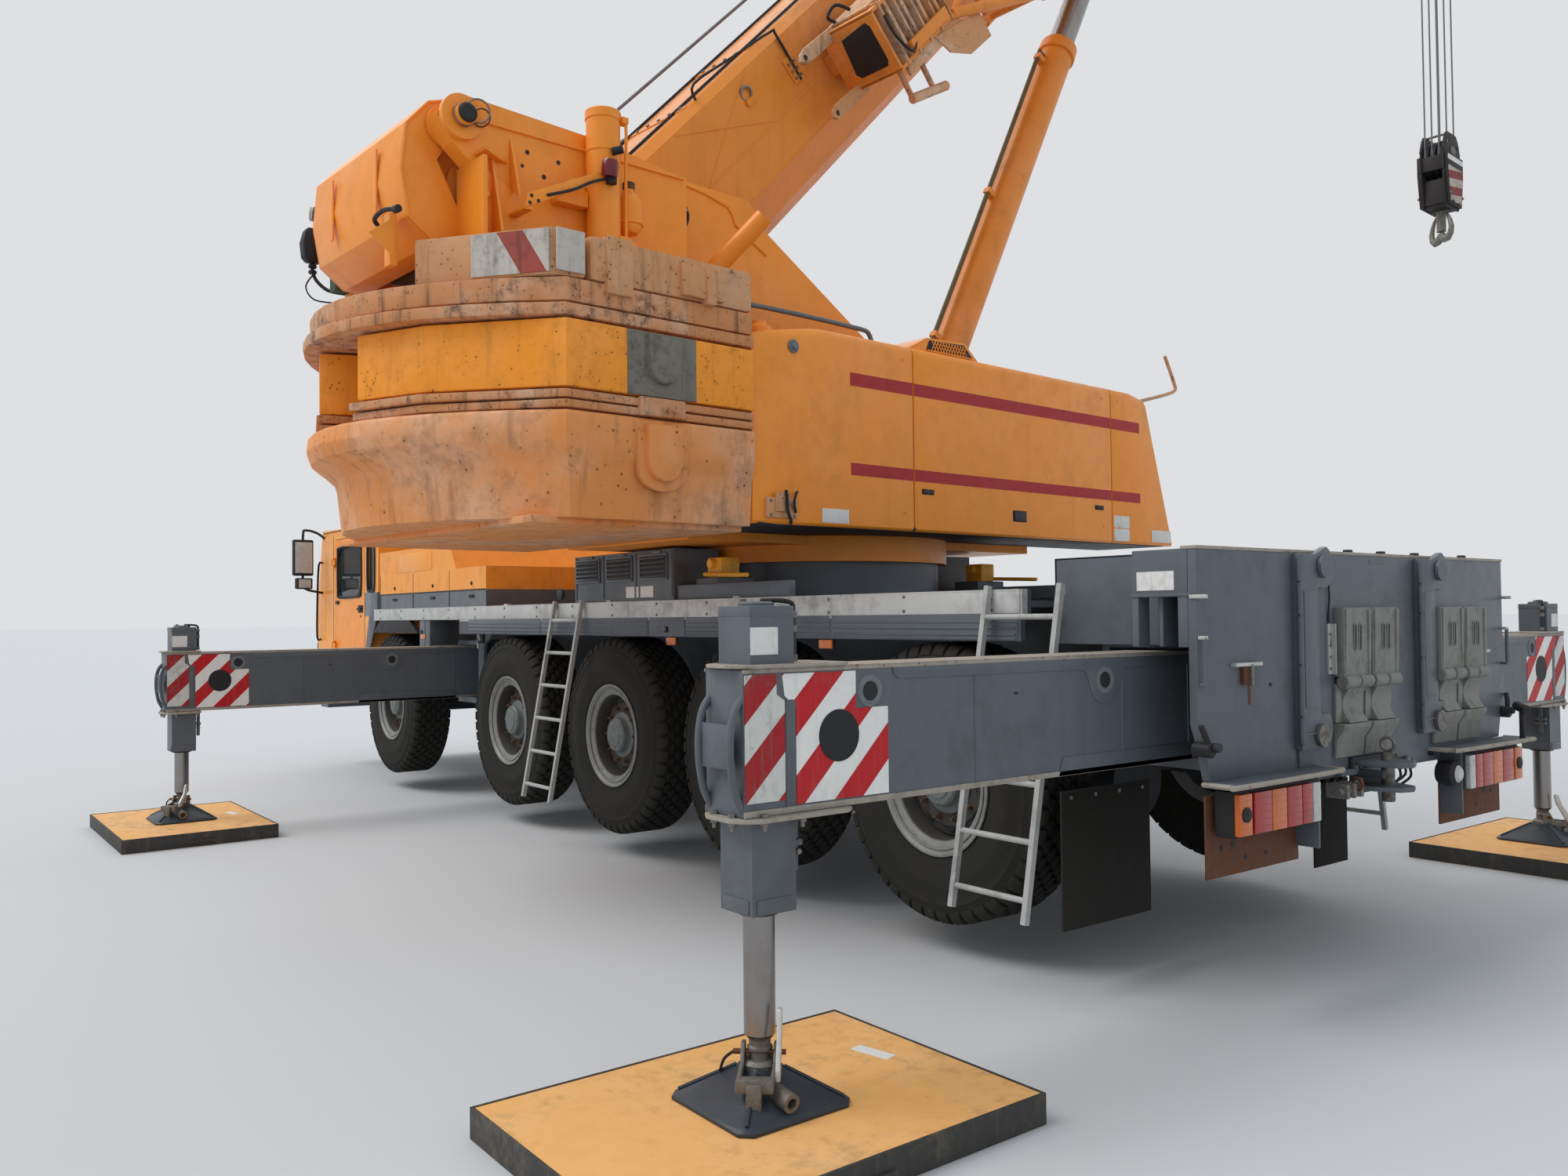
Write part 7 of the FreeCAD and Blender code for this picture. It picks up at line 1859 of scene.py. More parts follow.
class Covers:
    """The panelled cover on the right with its stripes and plates, and the tank on the left."""

    side: float = -1.300

    def build(self) -> None:
        """Makes the covers, which replace the CAD node, and their trim."""
        form = Form("cover_panels", Place.UPPER)
        self.shell(form)
        self.tank(form)
        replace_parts(form.make("upper"), "side_covers")
        trim = Form("cover_trim", Place.UPPER)
        self.stripes(trim)
        self.plates(trim)
        self.hood(trim)
        self.rails(trim)
        trim.make("upper")

    def section(self, along: float, side: float, top: float, lean: float = 0.0) -> list[Point]:
        """Returns one cross-section of the cover, rounded along its top edge.

        Args:
            along: where it stands at the cover's floor.
            side: level of its outer face.
            top: its height.
            lean: how far it leans back for each metre up.

        Returns:
            Its corners.
        """
        low = 2.181
        line = [(-0.645, low), (side + 0.012, low), (side, low + 0.014), (side, top - 0.060),
            (side + 0.008, top - 0.030), (side + 0.028, top - 0.008), (side + 0.060, top), (-0.645, top)]
        return [(along - lean * (z - low), y, z) for y, z in line]

    def shell(self, form: Form) -> None:
        """Adds the three panels of the right cover, parted by narrow gaps."""
        rear = [(-1.640, -1.272, 3.262, 0.0), (-1.50, -1.280, 3.30, 0.0), (-1.16, -1.299, 3.352, 0.0),
            (-1.10, self.side, 3.358, 0.0), (-0.336, self.side, 3.358, 0.0)]
        middle = [(-0.326, self.side, 3.358, 0.0), (1.852, self.side, 3.352, 0.0)]
        front = [(1.862, self.side, 3.352, 0.0), (2.20, self.side, 3.350, 0.05), (2.695, -1.298, 3.318, 0.33)]
        for panel in (rear, middle, front):
            loft(form, [self.section(*station) for station in panel], "orange_gloss", 0.004)
        form.box((-1.60, 2.60), (-1.27, -0.67), (2.176, 2.19), "dark_frame", 0.002)
        # A black box inside the cover shows through the gaps: painted shade of the cover's inside.
        form.box((-1.58, 1.90), (-1.262, -0.65), (2.20, 3.25), "black", 0.0)

    def tank(self, form: Form) -> None:
        """Adds the tank housing behind the operator's cab."""
        form.box((-1.640, 0.285), (0.645, 1.300), (2.181, 3.000), "orange_gloss", 0.035)
        form.box((-1.55, 0.20), (1.298, 1.304), (2.26, 2.92), "orange_gloss", 0.003)
        for along in (-0.98, -0.36):
            form.box((along, along + 0.006), (1.303, 1.3055), (2.27, 2.91), "black", 0.0)
        for along in (-1.40, -0.76, -0.10):
            form.box((along, along + 0.09), (1.303, 1.310), (2.74, 2.80), "black", 0.004)
            form.box((along + 0.02, along + 0.07), (1.308, 1.316), (2.76, 2.78), "nut_steel", 0.003)
        form.lathe([(0.0, 0), (0.085, 0), (0.085, 0.03), (0.075, 0.04), (0.075, 0.07), (0.06, 0.08),
            (0, 0.08)], (-1.35, 0.98, 3.0), (0, 0, 1), "black", 24)
        form.box((-0.95, -0.15), (0.72, 1.20), (2.998, 3.012), "plate_steel", 0.003)

    def stripes(self, form: Form) -> None:
        """Adds the two red stripes, which stop at each gap between panels."""
        for low, high in ((3.040, 3.119), (2.499, 2.573)):
            for start, end in ((-0.889, -0.338), (-0.324, 1.850), (1.864, 2.240)):
                form.box((start, end), (self.side - 0.0012, self.side + 0.001), (low, high), "red_stripe",
                    0.0)

    def plates(self, form: Form) -> None:
        """Adds the latches, the blank plates, the bolt and the cable bracket."""
        face = self.side
        sheets = ((-1.131, -0.912, 2.203, 2.287), (1.880, 2.085, 2.296, 2.388), (1.880, 2.085, 2.198, 2.290),
            (2.392, 2.668, 2.203, 2.297))
        for x0, x1, z0, z1 in sheets:
            form.box((x0, x1), (face - 0.0022, face), (z0, z1), "white_sheet", 0.0008)
        latches = ((-0.26, -0.147, 2.420, 2.455), (0.663, 0.810, 2.288, 2.365), (1.637, 1.743, 2.419, 2.453))
        for x0, x1, z0, z1 in latches:
            form.box((x0, x1), (face - 0.004, face), (z0, z1), "black", 0.003)
            form.box((x0 + 0.012, x1 - 0.022), (face - 0.010, face - 0.003), (z0 + 0.009, z1 - 0.009),
                "plate_steel", 0.004)
            form.ring(((x0 + x1) / 2, face - 0.004, (z0 + z1) / 2), (0, 1, 0), 0.009, 0.003, "nut_steel", 14)
        form.lathe([(0.0, 0.0), (0.040, 0.0), (0.040, 0.004), (0.034, 0.008), (0.022, 0.008), (0.022, 0.020),
            (0.018, 0.024), (0.0, 0.024)], (-1.338, -1.292, 3.215), (0, -1, 0), "bush_grey", 24)
        form.box((-1.555, -1.33), (-1.302, -1.276), (2.215, 2.33), "block_paint", 0.006)
        form.box((-1.50, -1.40), (-1.318, -1.30), (2.25, 2.36), "block_paint", 0.005)
        form.pipe([(-1.43, -1.320, 2.37), (-1.435, -1.334, 2.33), (-1.43, -1.332, 2.26),
            (-1.40, -1.324, 2.20), (-1.39, -1.310, 2.185)], 0.010, "black", 8, 4)
        form.pipe([(-1.33, -1.304, 2.37), (-1.36, -1.322, 2.345), (-1.37, -1.322, 2.30),
            (-1.345, -1.306, 2.25)], 0.008, "black", 8, 4)
        for x, z in ((-1.53, 2.23), (-1.53, 2.31), (-1.35, 2.23), (-1.35, 2.31)):
            form.lathe([(0.009, 0), (0.009, 0.005), (0, 0.007)], (x, -1.302, z), (0, -1, 0), "nut_steel", 8)
        for x in (-0.42, 1.75, 1.95):
            for z in (2.30, 3.26):
                form.lathe([(0.010, 0), (0.010, 0.003), (0.006, 0.005), (0, 0.005)], (x, face, z), (0, -1, 0),
                    "orange_gloss", 12)
        form.box((-0.341, -0.321), (face - 0.0025, face + 0.02), (2.185, 2.205), "black", 0.002)

    def hood(self, form: Form) -> None:
        """Adds the air hood on the cover's top, its opening meshed by Geometry Nodes."""
        form.prism("xz", [(-0.32, 3.352), (-0.12, 3.455), (0.26, 3.470), (0.41, 3.352)], -1.235, -0.78,
            "orange_gloss", 0.012)
        # A black plate fills the hood's opening behind the mesh: painted shade inside the hood.
        form.prism("xz", [(-0.13, 3.372), (-0.10, 3.440), (0.245, 3.452), (0.335, 3.372)], -1.238, -1.20,
            "black", 0.002)
        lean = Matrix.Rotation(math.radians(32), 4, "Y")
        for turn in (lean, lean.inverted()):
            unit = Form("unit")
            unit.bar((0, -1.2405, -0.038), (0, -1.2405, 0.038), 0.0035, "orange_gloss", 6)
            place = Matrix.Translation((-0.062, 0, 3.408)) @ turn
            repeat(form, unit, "orange_gloss", 12, step=(0.028 * math.cos(0.56), 0,
                0.028 * math.sin(0.56) * (1 if turn is lean else -1)), turn=place)
        form.box((-0.125, 0.33), (-1.243, -1.236), (3.366, 3.374), "orange_gloss", 0.002)
        form.box((0.62, 1.60), (-1.16, -0.74), (3.350, 3.362), "plate_steel", 0.003)
        form.box((-1.05, -0.48), (-1.16, -0.74), (3.356, 3.368), "plate_steel", 0.003)
        for x, y in ((-1.42, -1.08), (-1.30, -0.94), (-1.47, -0.86)):
            form.lathe([(0.075, 0), (0.080, 0.02), (0.075, 0.05), (0.045, 0.065), (0.045, 0.085),
                (0.0, 0.088)], (x, y, 3.30), (0, 0, 1), "orange_gloss", 24)

    def rails(self, form: Form) -> None:
        """Adds the bent grab bar at the front, the hand rail and the exhaust pipe."""
        form.pipe([(2.33, -1.22, 3.305), (2.60, -1.235, 3.372), (2.80, -1.245, 3.428), (2.865, -1.245, 3.462),
            (2.855, -1.245, 3.51), (2.72, -1.245, 3.715)], 0.014, "block_paint", 10, 5)
        form.lathe([(0.0, 0.0), (0.058, 0.0), (0.058, 0.50), (0.052, 0.50), (0.052, 0.30), (0.0, 0.30)],
            (-1.512, -0.702, 3.71), (0.25, -0.35, 0.40), "orange_gloss", 28)
        form.lathe([(0.0, 0.0), (0.0515, 0.0), (0.0515, 0.19), (0.0, 0.19)], (-1.385, -0.881, 3.914),
            (0.25, -0.35, 0.40), "black", 28)
        form.lathe([(0.075, 0.0), (0.075, 0.42), (0.06, 0.46), (0.0, 0.46)], (-1.53, -0.725, 3.28), (0, 0, 1),
            "stack_dark", 24)
        form.pipe([(-1.40, -0.70, 3.30), (-1.40, -0.70, 3.52), (-1.28, -0.70, 3.60), (-0.30, -0.70, 3.60),
            (-0.10, -0.70, 3.56), (-0.08, -0.70, 3.35)], 0.016, "bush_grey", 10, 4)


class RearFrame:
    """Lugs, gussets, winch cover, lamps, hose reel and rope drum of the rear arms."""

    def build(self) -> None:
        """Makes the fittings of both arms and the winch's rope."""
        form = Form("arm_fittings", Place.UPPER)
        for side in (1, -1):
            form.turn = MIRRORED if side > 0 else Matrix.Identity(4)
            self.arm(form)
        form.turn = Matrix.Identity(4)
        self.winch_cover(form)
        self.near(form)
        self.far(form)
        form.make("upper")
        drum = Form("drum_rope", Place.UPPER)
        self.drum(drum)
        drum.make("winch")

    def arm(self, form: Form) -> None:
        """Adds the lug, the flange, the gussets and the tower of one arm, drawn for the right."""
        outer = -0.762
        for y0, y1 in ((outer - 0.035, outer), (-0.640, -0.612)):
            form.lathe([(0.058, 0.0), (0.115, 0.0), (0.115, y1 - y0), (0.058, y1 - y0), (0.058, 0.0)],
                (-3.150, y0, 4.230), (0, 1, 0), "orange_gloss", 32)
        form.lathe([(0.0, 0.0), (0.050, 0.0), (0.050, 0.085), (0.040, 0.095), (0.0, 0.095)],
            (-3.150, -0.775, 4.230), (0, -1, 0), "black", 28)
        form.ring((-3.150, -0.815, 4.230), (0, 1, 0), 0.052, 0.008, "nut_steel", 24)
        form.ring((-3.085, -0.835, 4.260), (0.4, 1, 0.1), 0.060, 0.005, "nut_steel", 28)
        form.ring((-3.060, -0.825, 4.235), (0.1, 1, 0.6), 0.045, 0.004, "rusty", 24)
        form.box((-3.09, -3.065), (-0.90, -0.60), (3.60, 4.02), "orange_gloss", 0.004)
        form.prism("yz", [(-0.895, 3.60), (-0.763, 4.12), (-0.763, 3.60)], -2.98, -2.962, "orange_gloss",
            0.003)
        form.prism("xz", [(-3.06, 3.62), (-2.60, 3.62), (-2.60, 3.80), (-3.06, 4.02)], -0.775, -0.763,
            "orange_gloss", 0.003)
        form.prism("xy", [(-3.07, -0.763), (-2.88, -0.763), (-3.07, -0.885)], 4.055, 4.070, "orange_gloss",
            0.003)
        form.prism("yz", [(-0.763, 4.20), (-0.763, 3.92), (-0.86, 3.86), (-0.795, 4.10)], -2.865, -2.850,
            "orange_gloss", 0.003)
        form.box((-3.05, -1.72), (-0.775, -0.625), (4.238, 4.252), "orange_gloss", 0.004,
            Matrix.Translation((0, 0, 0.0)))
        for x, z, r in ((-2.76, 4.15, 0.013), (-2.79, 4.07, 0.010), (-2.66, 4.04, 0.013), (-2.57, 4.14, 0.012)):
            form.bar((x, -0.7605, z), (x, -0.7625, z), r, "black", 12)
        form.lathe([(0.030, 0), (0.030, 0.014), (0.018, 0.026), (0, 0.026)], (-3.02, -0.775, 3.86),
            (0, -1, 0), "orange_gloss", 20)
        form.prism("xz", [(-2.62, 3.98), (-2.52, 4.05), (-2.43, 3.98), (-2.43, 3.90), (-2.62, 3.90)], -0.84,
            -0.763, "orange_gloss", 0.006)
        form.lathe([(0.0, 0.0), (0.088, 0.0), (0.100, 0.006), (0.100, 0.05), (0.096, 0.056), (0.0, 0.056)],
            (-2.33, -0.835, 4.40), (0, 0, 1), "orange_gloss", 40)
        for level in (3.70, 4.22):
            form.lathe([(0.094, 0.0), (0.099, 0.004), (0.099, 0.016), (0.094, 0.02), (0.094, 0.0)],
                (-2.33, -0.835, level), (0, 0, 1), "orange_gloss", 40)
        form.lathe([(0.0, 0.0), (0.075, 0.0), (0.070, 0.006), (0.0, 0.006)], (-2.33, -0.835, 4.454),
            (0, 0, 1), "stack_dark", 32)
        form.pipe([(-2.245, -0.885, 4.43), (-2.225, -0.905, 4.40), (-2.228, -0.905, 4.1),
            (-2.228, -0.905, 3.66)], 0.009, "orange_gloss", 8, 3)
        form.box((-2.255, -2.215), (-0.92, -0.865), (4.395, 4.43), "orange_gloss", 0.004)

    def winch_cover(self, form: Form) -> None:
        """Adds the bent plate that closes the winch off behind."""
        outer = [(-3.04, 4.405), (-3.08, 4.402), (-3.25, 4.345), (-3.375, 4.20), (-3.400, 3.95),
            (-3.36, 3.72), (-3.22, 3.61), (-3.10, 3.60)]
        inner = [(-3.10, 3.612), (-3.215, 3.622), (-3.348, 3.726), (-3.388, 3.95), (-3.363, 4.195),
            (-3.243, 4.333), (-3.078, 4.390), (-3.04, 4.393)]
        form.prism("xz", outer + inner, -0.610, 0.610, "orange_gloss", 0.003)
        for y in (-0.598, 0.598):
            web = outer + [(-3.00, 3.60), (-3.05, 3.75), (-3.20, 4.05), (-3.04, 4.30)]
            form.prism("xz", web, y - 0.006, y + 0.006, "orange_gloss", 0.002)
        for y in (-0.30, 0.30):
            form.box((-3.408, -3.398), (y - 0.02, y + 0.02), (3.80, 4.14), "orange_gloss", 0.003)
        form.box((-3.43, -3.39), (-0.545, -0.475), (3.47, 3.74), "orange_gloss", 0.005)
        form.prism("xz", [(-3.43, 3.50), (-3.43, 3.70), (-3.56, 3.60)], -0.60, -0.585, "orange_gloss", 0.003)
        form.pipe([(-3.44, -0.42, 3.70), (-3.47, -0.45, 3.72), (-3.47, -0.56, 3.735), (-3.45, -0.66, 3.72)],
            0.012, "black", 8, 4)
        form.bar((-3.45, -0.65, 3.72), (-3.45, -0.70, 3.715), 0.020, "black", 12)

    def near(self, form: Form) -> None:
        """Adds the red lamp on its bracket, the canister, the hose reel and hoses of the near side."""
        form.prism("xz", [(-2.88, 3.78), (-2.86, 3.86), (-2.42, 4.075), (-2.40, 4.02)], -0.945, -0.933,
            "orange_gloss", 0.003)
        form.box((-2.88, -2.83), (-0.94, -0.76), (3.775, 3.79), "orange_gloss", 0.003)
        for x, z in ((-2.85, 3.81), (-2.80, 3.83), (-2.84, 3.85)):
            form.bar((x, -0.944, z), (x, -0.9475, z), 0.010, "black", 12)
        form.pipe([(-2.75, -0.95, 3.87), (-2.60, -0.965, 3.93), (-2.48, -0.96, 4.00), (-2.36, -0.95, 4.05)],
            0.008, "black", 8, 4)
        form.lathe([(0.0, 0.0), (0.042, 0.0), (0.046, 0.010), (0.046, 0.075), (0.036, 0.092), (0, 0.095)],
            (-2.375, -0.965, 4.05), (0, -0.15, 1), "lens_dark_red", 20)
        form.lathe([(0.0, 0.0), (0.030, 0.0), (0.030, 0.03), (0, 0.035)], (-2.355, -0.955, 4.02), (0, 0, 1),
            "black", 16)
        form.bar((-2.34, -0.94, 4.205), (-2.29, -0.975, 4.22), 0.022, "black", 12)
        form.lathe([(0.0, 0.0), (0.05, 0.01), (0.072, 0.04), (0.075, 0.08), (0.075, 0.17), (0.068, 0.205),
            (0.045, 0.232), (0.03, 0.24), (0.03, 0.262), (0.0, 0.265)], (-2.165, -0.84, 3.80), (0, 0, 1),
            "orange_gloss", 28)
        form.bar((-2.165, -0.84, 4.06), (-2.165, -0.84, 4.10), 0.035, "stack_dark", 12)
        form.ring((-2.165, -0.84, 3.86), (0, 0, 1), 0.078, 0.006, "orange_gloss", 28)
        form.prism("xz", [(-2.28, 3.60), (-2.28, 3.76), (-2.22, 3.76), (-2.05, 3.66), (-2.05, 3.60)], -0.925,
            -0.765, "orange_gloss", 0.006)
        for i in range(6):
            form.ring((-1.68, -0.535 - 0.013 * i, 4.09), (0.04 * i - 0.1, 1, 0.03), 0.112 - 0.004 * (i % 3),
                0.0085, "black", 36)
        form.bar((-1.68, -0.505, 4.09), (-1.68, -0.62, 4.09), 0.035, "block_paint", 14)
        for spin in (0.4, 2.5, 4.6):
            form.bar((-1.68, -0.615, 4.09), (-1.68 + 0.11 * math.cos(spin), -0.615,
                4.09 + 0.11 * math.sin(spin)), 0.008, "block_paint", 8)
        form.pipe([(-1.79, -0.54, 4.05), (-1.90, -0.60, 4.08), (-2.00, -0.68, 4.02), (-2.05, -0.72, 3.95)],
            0.007, "orange_gloss", 8, 4)
        seam = [(-2.12, 4.34), (-1.60, 4.345), (-1.18, 4.27), (-1.12, 4.17), (-0.86, 4.02)]
        form.pipe([(x, -0.503, z) for x, z in seam], 0.012, "orange_gloss", 8, 2)
        form.box((-1.62, 1.30), (-0.512, -0.500), (2.20, 2.30), "orange_gloss", 0.003)

    def far(self, form: Form) -> None:
        """Adds the beacon, the mirror and the work lamps of the far side."""
        form.bar((-3.12, 0.86, 4.125), (-3.27, 0.95, 4.150), 0.050, "green_cast", 24)
        form.bar((-3.265, 0.947, 4.149), (-3.285, 0.959, 4.152), 0.045, "lens_clear", 24)
        form.bar((-3.12, 0.88, 4.12), (-3.06, 0.82, 4.08), 0.032, "orange_gloss", 16)
        form.pipe([(-3.06, 0.77, 3.62), (-3.07, 0.84, 3.80), (-3.06, 0.84, 4.00), (-3.05, 0.80, 4.10)], 0.018,
            "orange_gloss", 10, 3)
        form.box((-3.10, -3.04), (0.80, 0.90), (3.62, 3.98), "orange_gloss", 0.006)
        loft(form, [[(-3.27 + dx * s, 0.97 + dy * s, z) for dx, dy in ((-0.052, -0.03), (0.0, -0.045),
            (0.052, -0.03), (0.052, 0.03), (0.0, 0.045), (-0.052, 0.03))] for z,
            s in ((3.85, 0.75), (3.88, 1.15), (3.97, 1.3), (4.04, 1.0), (4.065, 0.6))], "black", 0.01)
        form.pipe([(-3.27, 0.97, 3.86), (-3.27, 0.965, 3.80), (-3.25, 0.95, 3.74), (-3.20, 0.90, 3.68),
            (-3.12, 0.84, 3.66)], 0.011, "black", 8, 4)
        for level in (3.82, 3.785):
            form.lathe([(0.0, 0), (0.022, 0.0), (0.026, 0.01), (0.022, 0.02), (0, 0.02)],
                (-3.27, 0.967, level), (0, 0, 1), "black", 14)
        form.pipe([(-3.27, 0.95, 3.78), (-3.31, 0.97, 3.70), (-3.27, 0.94, 3.62), (-3.16, 0.86, 3.60)], 0.005,
            "black", 6, 4)
        form.box((-3.20, -3.10), (0.79, 0.88), (3.66, 3.78), "green_cast", 0.012)
        form.pipe([(-3.14, 0.84, 3.80), (-3.18, 0.90, 3.92), (-3.13, 0.92, 4.02), (-3.10, 0.86, 4.08)], 0.014,
            "bush_grey", 8, 4)
        form.ring((-3.215, 0.84, 4.14), (0.3, 1, 0), 0.04, 0.005, "nut_steel", 20)

    def drum(self, form: Form) -> None:
        """Adds the layered rope on the drum, one turn beside the next by Geometry Nodes."""
        unit = Form("unit")
        unit.ring((0, 0, 0), (0, 0, 1), 0.244, 0.0125, "wire", 48)
        across = Matrix.Translation((-2.98, -0.385, 3.98)) @ Matrix.Rotation(-math.pi / 2, 4, "X")
        repeat(form, unit, "wire", 33, step=(0, 0, 0.024), turn=across)
        for y in (-0.4425, 0.4325):
            form.lathe([(0.315, 0.0), (0.329, 0.0), (0.329, 0.010), (0.315, 0.010), (0.315, 0.0)],
                (-2.98, y, 3.98), (0, 1, 0), "orange_gloss", 56)
class BoomTrim:
    """Seams, plates, rope, jib head and sheaves of the boom and its sections."""

    def build(self) -> None:
        """Makes the trim of the base, the sections, the head and the hoist rope."""
        base = Form("boom_trim", Place.BOOM)
        for side in (1, -1):
            base.turn = MIRRORED if side > 0 else Matrix.Identity(4)
            self.flank(base)
        base.turn = Matrix.Identity(4)
        self.top(base)
        self.jib_head(base)
        base.make("boom")
        for number, word in enumerate(("one", "two", "three"), start=1):
            form = Form(f"collar_trim_{word}", Place.BOOM)
            self.collar(form, 11.9 + number * 2.313, 0.4 - number * 0.021 + 0.026)
            if word == "three":
                self.head(form)
            form.make(f"section_{word}")
        rope = Form("hoist_rope", Place.BOOM)
        rope.pipe([(-0.485 + 1.53 * i, 0.0, 0.852 - 0.014 * i) for i in range(9)], 0.011, "wire", 10)
        piece = rope.make("")
        matrix = Place.BOOM.matrix()
        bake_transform(piece)

    def flank(self, form: Form) -> None:
        """Adds the seams, the foot's doubler and the bolted plate of the right flank."""
        face = -0.4005
        form.pipe([(1.03, face, 0.17), (6.0, face, 0.168), (11.62, face, 0.17)], 0.006, "boom_orange", 6)
        form.box((0.5, 11.62), (face - 0.004, face + 0.004), (-0.096, -0.084), "boom_orange", 0.002)
        for x0, x1, low, high in ((1.03, 1.86, 0.17, 0.55), (1.86, 1.03, 0.17, 0.55), (2.9, 3.7, 0.17, 0.55),
                                  (3.7, 2.9, 0.17, 0.55), (0.55, 1.02, 0.55, 0.17)):
            form.pipe([(x0, face, low), (x1, face, high)], 0.005, "boom_orange", 6)
        form.lathe([(0.0, 0.0), (0.26, 0.0), (0.26, 0.010), (0.24, 0.016), (0.11, 0.016), (0.11, 0.05),
            (0.095, 0.058), (0.0, 0.058)], (0, face, 0), (0, -1, 0), "boom_orange", 40)
        form.prism("xz", [(-0.52, -0.16), (-0.52, 0.36), (-0.05, 0.56), (0.42, 0.56), (0.42, -0.30),
            (-0.14, -0.22)], face - 0.010, face, "boom_orange", 0.004)
        form.box((2.19, 2.30), (face - 0.012, face), (0.25, 0.43), "boom_orange", 0.004)
        for z in (0.28, 0.33, 0.38):
            for x in (2.215, 2.25, 2.28):
                form.lathe([(0.010, 0), (0.010, 0.008), (0, 0.010)], (x, face - 0.012, z), (0, -1, 0),
                    "nut_steel", 6)
        for x in (4.6, 6.8, 9.0):
            form.box((x, x + 0.14), (face - 0.010, face), (0.30, 0.52), "boom_orange", 0.004)
            form.box((x + 0.02, x + 0.12), (face - 0.018, face - 0.008), (0.34, 0.36), "boom_orange", 0.003)
        for x in (11.68, 11.84):
            unit = Form("unit")
            unit.lathe([(0.016, 0), (0.016, 0.012), (0, 0.014)], (x, -0.430, -0.36), (0, -1, 0), "nut_steel",
                6)
            repeat(form, unit, "nut_steel", 8, step=(0, 0, 0.135))

    def top(self, form: Form) -> None:
        """Adds the joints with their screws, the guide bar, the eye and the rope guide of the top."""
        for x in (1.25, 2.05, 3.6, 5.6, 7.6, 9.6):
            form.box((x, x + 0.07), (-0.34, 0.34), (0.619, 0.627), "boom_orange", 0.003)
            unit = Form("unit")
            unit.lathe([(0.013, 0), (0.013, 0.009), (0, 0.011)], (x + 0.035, -0.30, 0.627), (0, 0, 1),
                "nut_steel", 6)
            repeat(form, unit, "nut_steel", 6, step=(0, 0.12, 0))
        form.pipe([(1.395, -0.345, 0.615), (1.42, -0.39, 0.70), (1.80, -0.412, 0.665), (2.22, -0.418, 0.62),
            (2.258, -0.418, 0.58), (2.254, -0.412, 0.25)], 0.009, "black", 8, 4)
        form.ring((1.745, -0.405, 0.434), (0.2, 1, 0.2), 0.045, 0.009, "nut_steel", 24)
        form.box((1.70, 1.79), (-0.416, -0.40), (0.36, 0.40), "boom_orange", 0.003)
        for y in (-0.06, 0.06):
            form.prism("xz", [(11.62, 0.648), (11.69, 0.80), (11.81, 0.80), (11.88, 0.648)], y - 0.006,
                y + 0.006, "boom_orange", 0.002)
        form.lathe([(0.0, -0.05), (0.055, -0.05), (0.042, -0.014), (0.042, 0.014), (0.055, 0.05),
            (0.0, 0.05)], (11.75, 0, 0.697), (0, 1, 0), "nut_steel", 24)
        for y in (-0.10, 0.10):
            form.pipe([(0.3, y * 2.6, 0.63), (4.0, y * 2.6, 0.632), (11.5, y * 2.6, 0.63)], 0.010, "black", 6)
        form.lathe([(0.0, 0.0), (0.34, 0.0), (0.34, 0.012), (0.30, 0.012), (0.30, 0.075), (0.34, 0.075),
            (0.34, 0.09), (0.0, 0.09)], (1.35, 0.405, 0.28), (0, 1, 0), "block_paint", 36)
        form.lathe([(0.0, 0.0), (0.30, 0.0), (0.30, 0.06), (0.0, 0.06)], (1.35, 0.419, 0.28), (0, 1, 0),
            "black", 36)

    def jib_head(self, form: Form) -> None:
        """Adds the folded jib's plated head with its lugs, sheaves and the struts that reach the lattice."""
        near, far = -0.50, -0.985
        opening = [(-0.66, 0.30), (-0.58, 0.335), (-0.90, 0.335), (-0.925, 0.30), (-0.925, 0.055),
            (-0.90, 0.02), (-0.66, 0.02), (-0.625, 0.055)]
        form.box((2.52, 2.545), (near, far), (-0.05, 0.385), "boom_orange", 0.004)
        # A black plate on the end plate marks its opening: painted shade of the hole.
        form.prism("yz", [opening[0]] + opening[2:], 2.512, 2.5205, "black", 0.004)
        for level in (0.375, -0.040):
            form.box((2.52, 3.42), (near, far), (level - 0.012, level + 0.012), "boom_orange", 0.004)
            lug = [(2.14, level), (2.17, level + 0.035), (2.24, level + 0.05), (2.60, level + 0.03),
                (2.60, level - 0.05), (2.30, level - 0.05), (2.17, level - 0.035)]
            form.prism("xz", lug, -0.60, -0.57, "block_paint", 0.006)
            form.ring((2.195, -0.585, level), (0, 1, 0), 0.030, 0.010, "block_paint", 20)
            form.bar((2.195, -0.60, level), (2.195, -0.57, level), 0.022, "black", 14)
        for i, x in enumerate((2.61, 2.69, 2.77, 2.85, 2.93, 3.01, 3.09, 3.17, 3.25)):
            form.box((x, x + (0.034 if i % 2 else 0.018)), (near - 0.02, far - 0.01 + 0.02 * (i % 2)),
                (-0.06, 0.40), "block_paint", 0.004)
        for x in (2.68, 2.90, 3.14):
            form.lathe([(0.0, 0), (0.185, 0), (0.165, 0.02), (0.165, 0.035), (0.185, 0.055), (0.0, 0.055)],
                (x, -0.74, 0.165), (1, 0, 0), "stack_dark", 28)
        form.box((2.58, 3.30), (-0.92, -0.56), (0.39, 0.408), "block_paint", 0.004)
        form.box((2.62, 3.36), (-0.955, -0.93), (-0.13, -0.05), "block_paint", 0.006)
        form.box((2.70, 3.20), (-1.02, -0.985), (-0.02, 0.06), "boom_orange", 0.006)
        for y in (near - 0.03, far + 0.03):
            for low, high in ((0.34, 0.330), (-0.03, -0.42)):
                form.bar((3.30, y, low), (4.34, -0.47 if y > -0.7 else -1.03, high), 0.040, "boom_orange", 16)
            form.bar((3.35, y, -0.03), (4.36, -0.47 if y > -0.7 else -1.03, 0.33), 0.022, "boom_orange", 10)
        form.bar((2.64, -0.84, -0.28), (3.04, -0.84, -0.40), 0.034, "block_paint", 16)
        form.bar((2.70, -0.80, -0.27), (2.72, -0.80, -0.05), 0.020, "block_paint", 10)
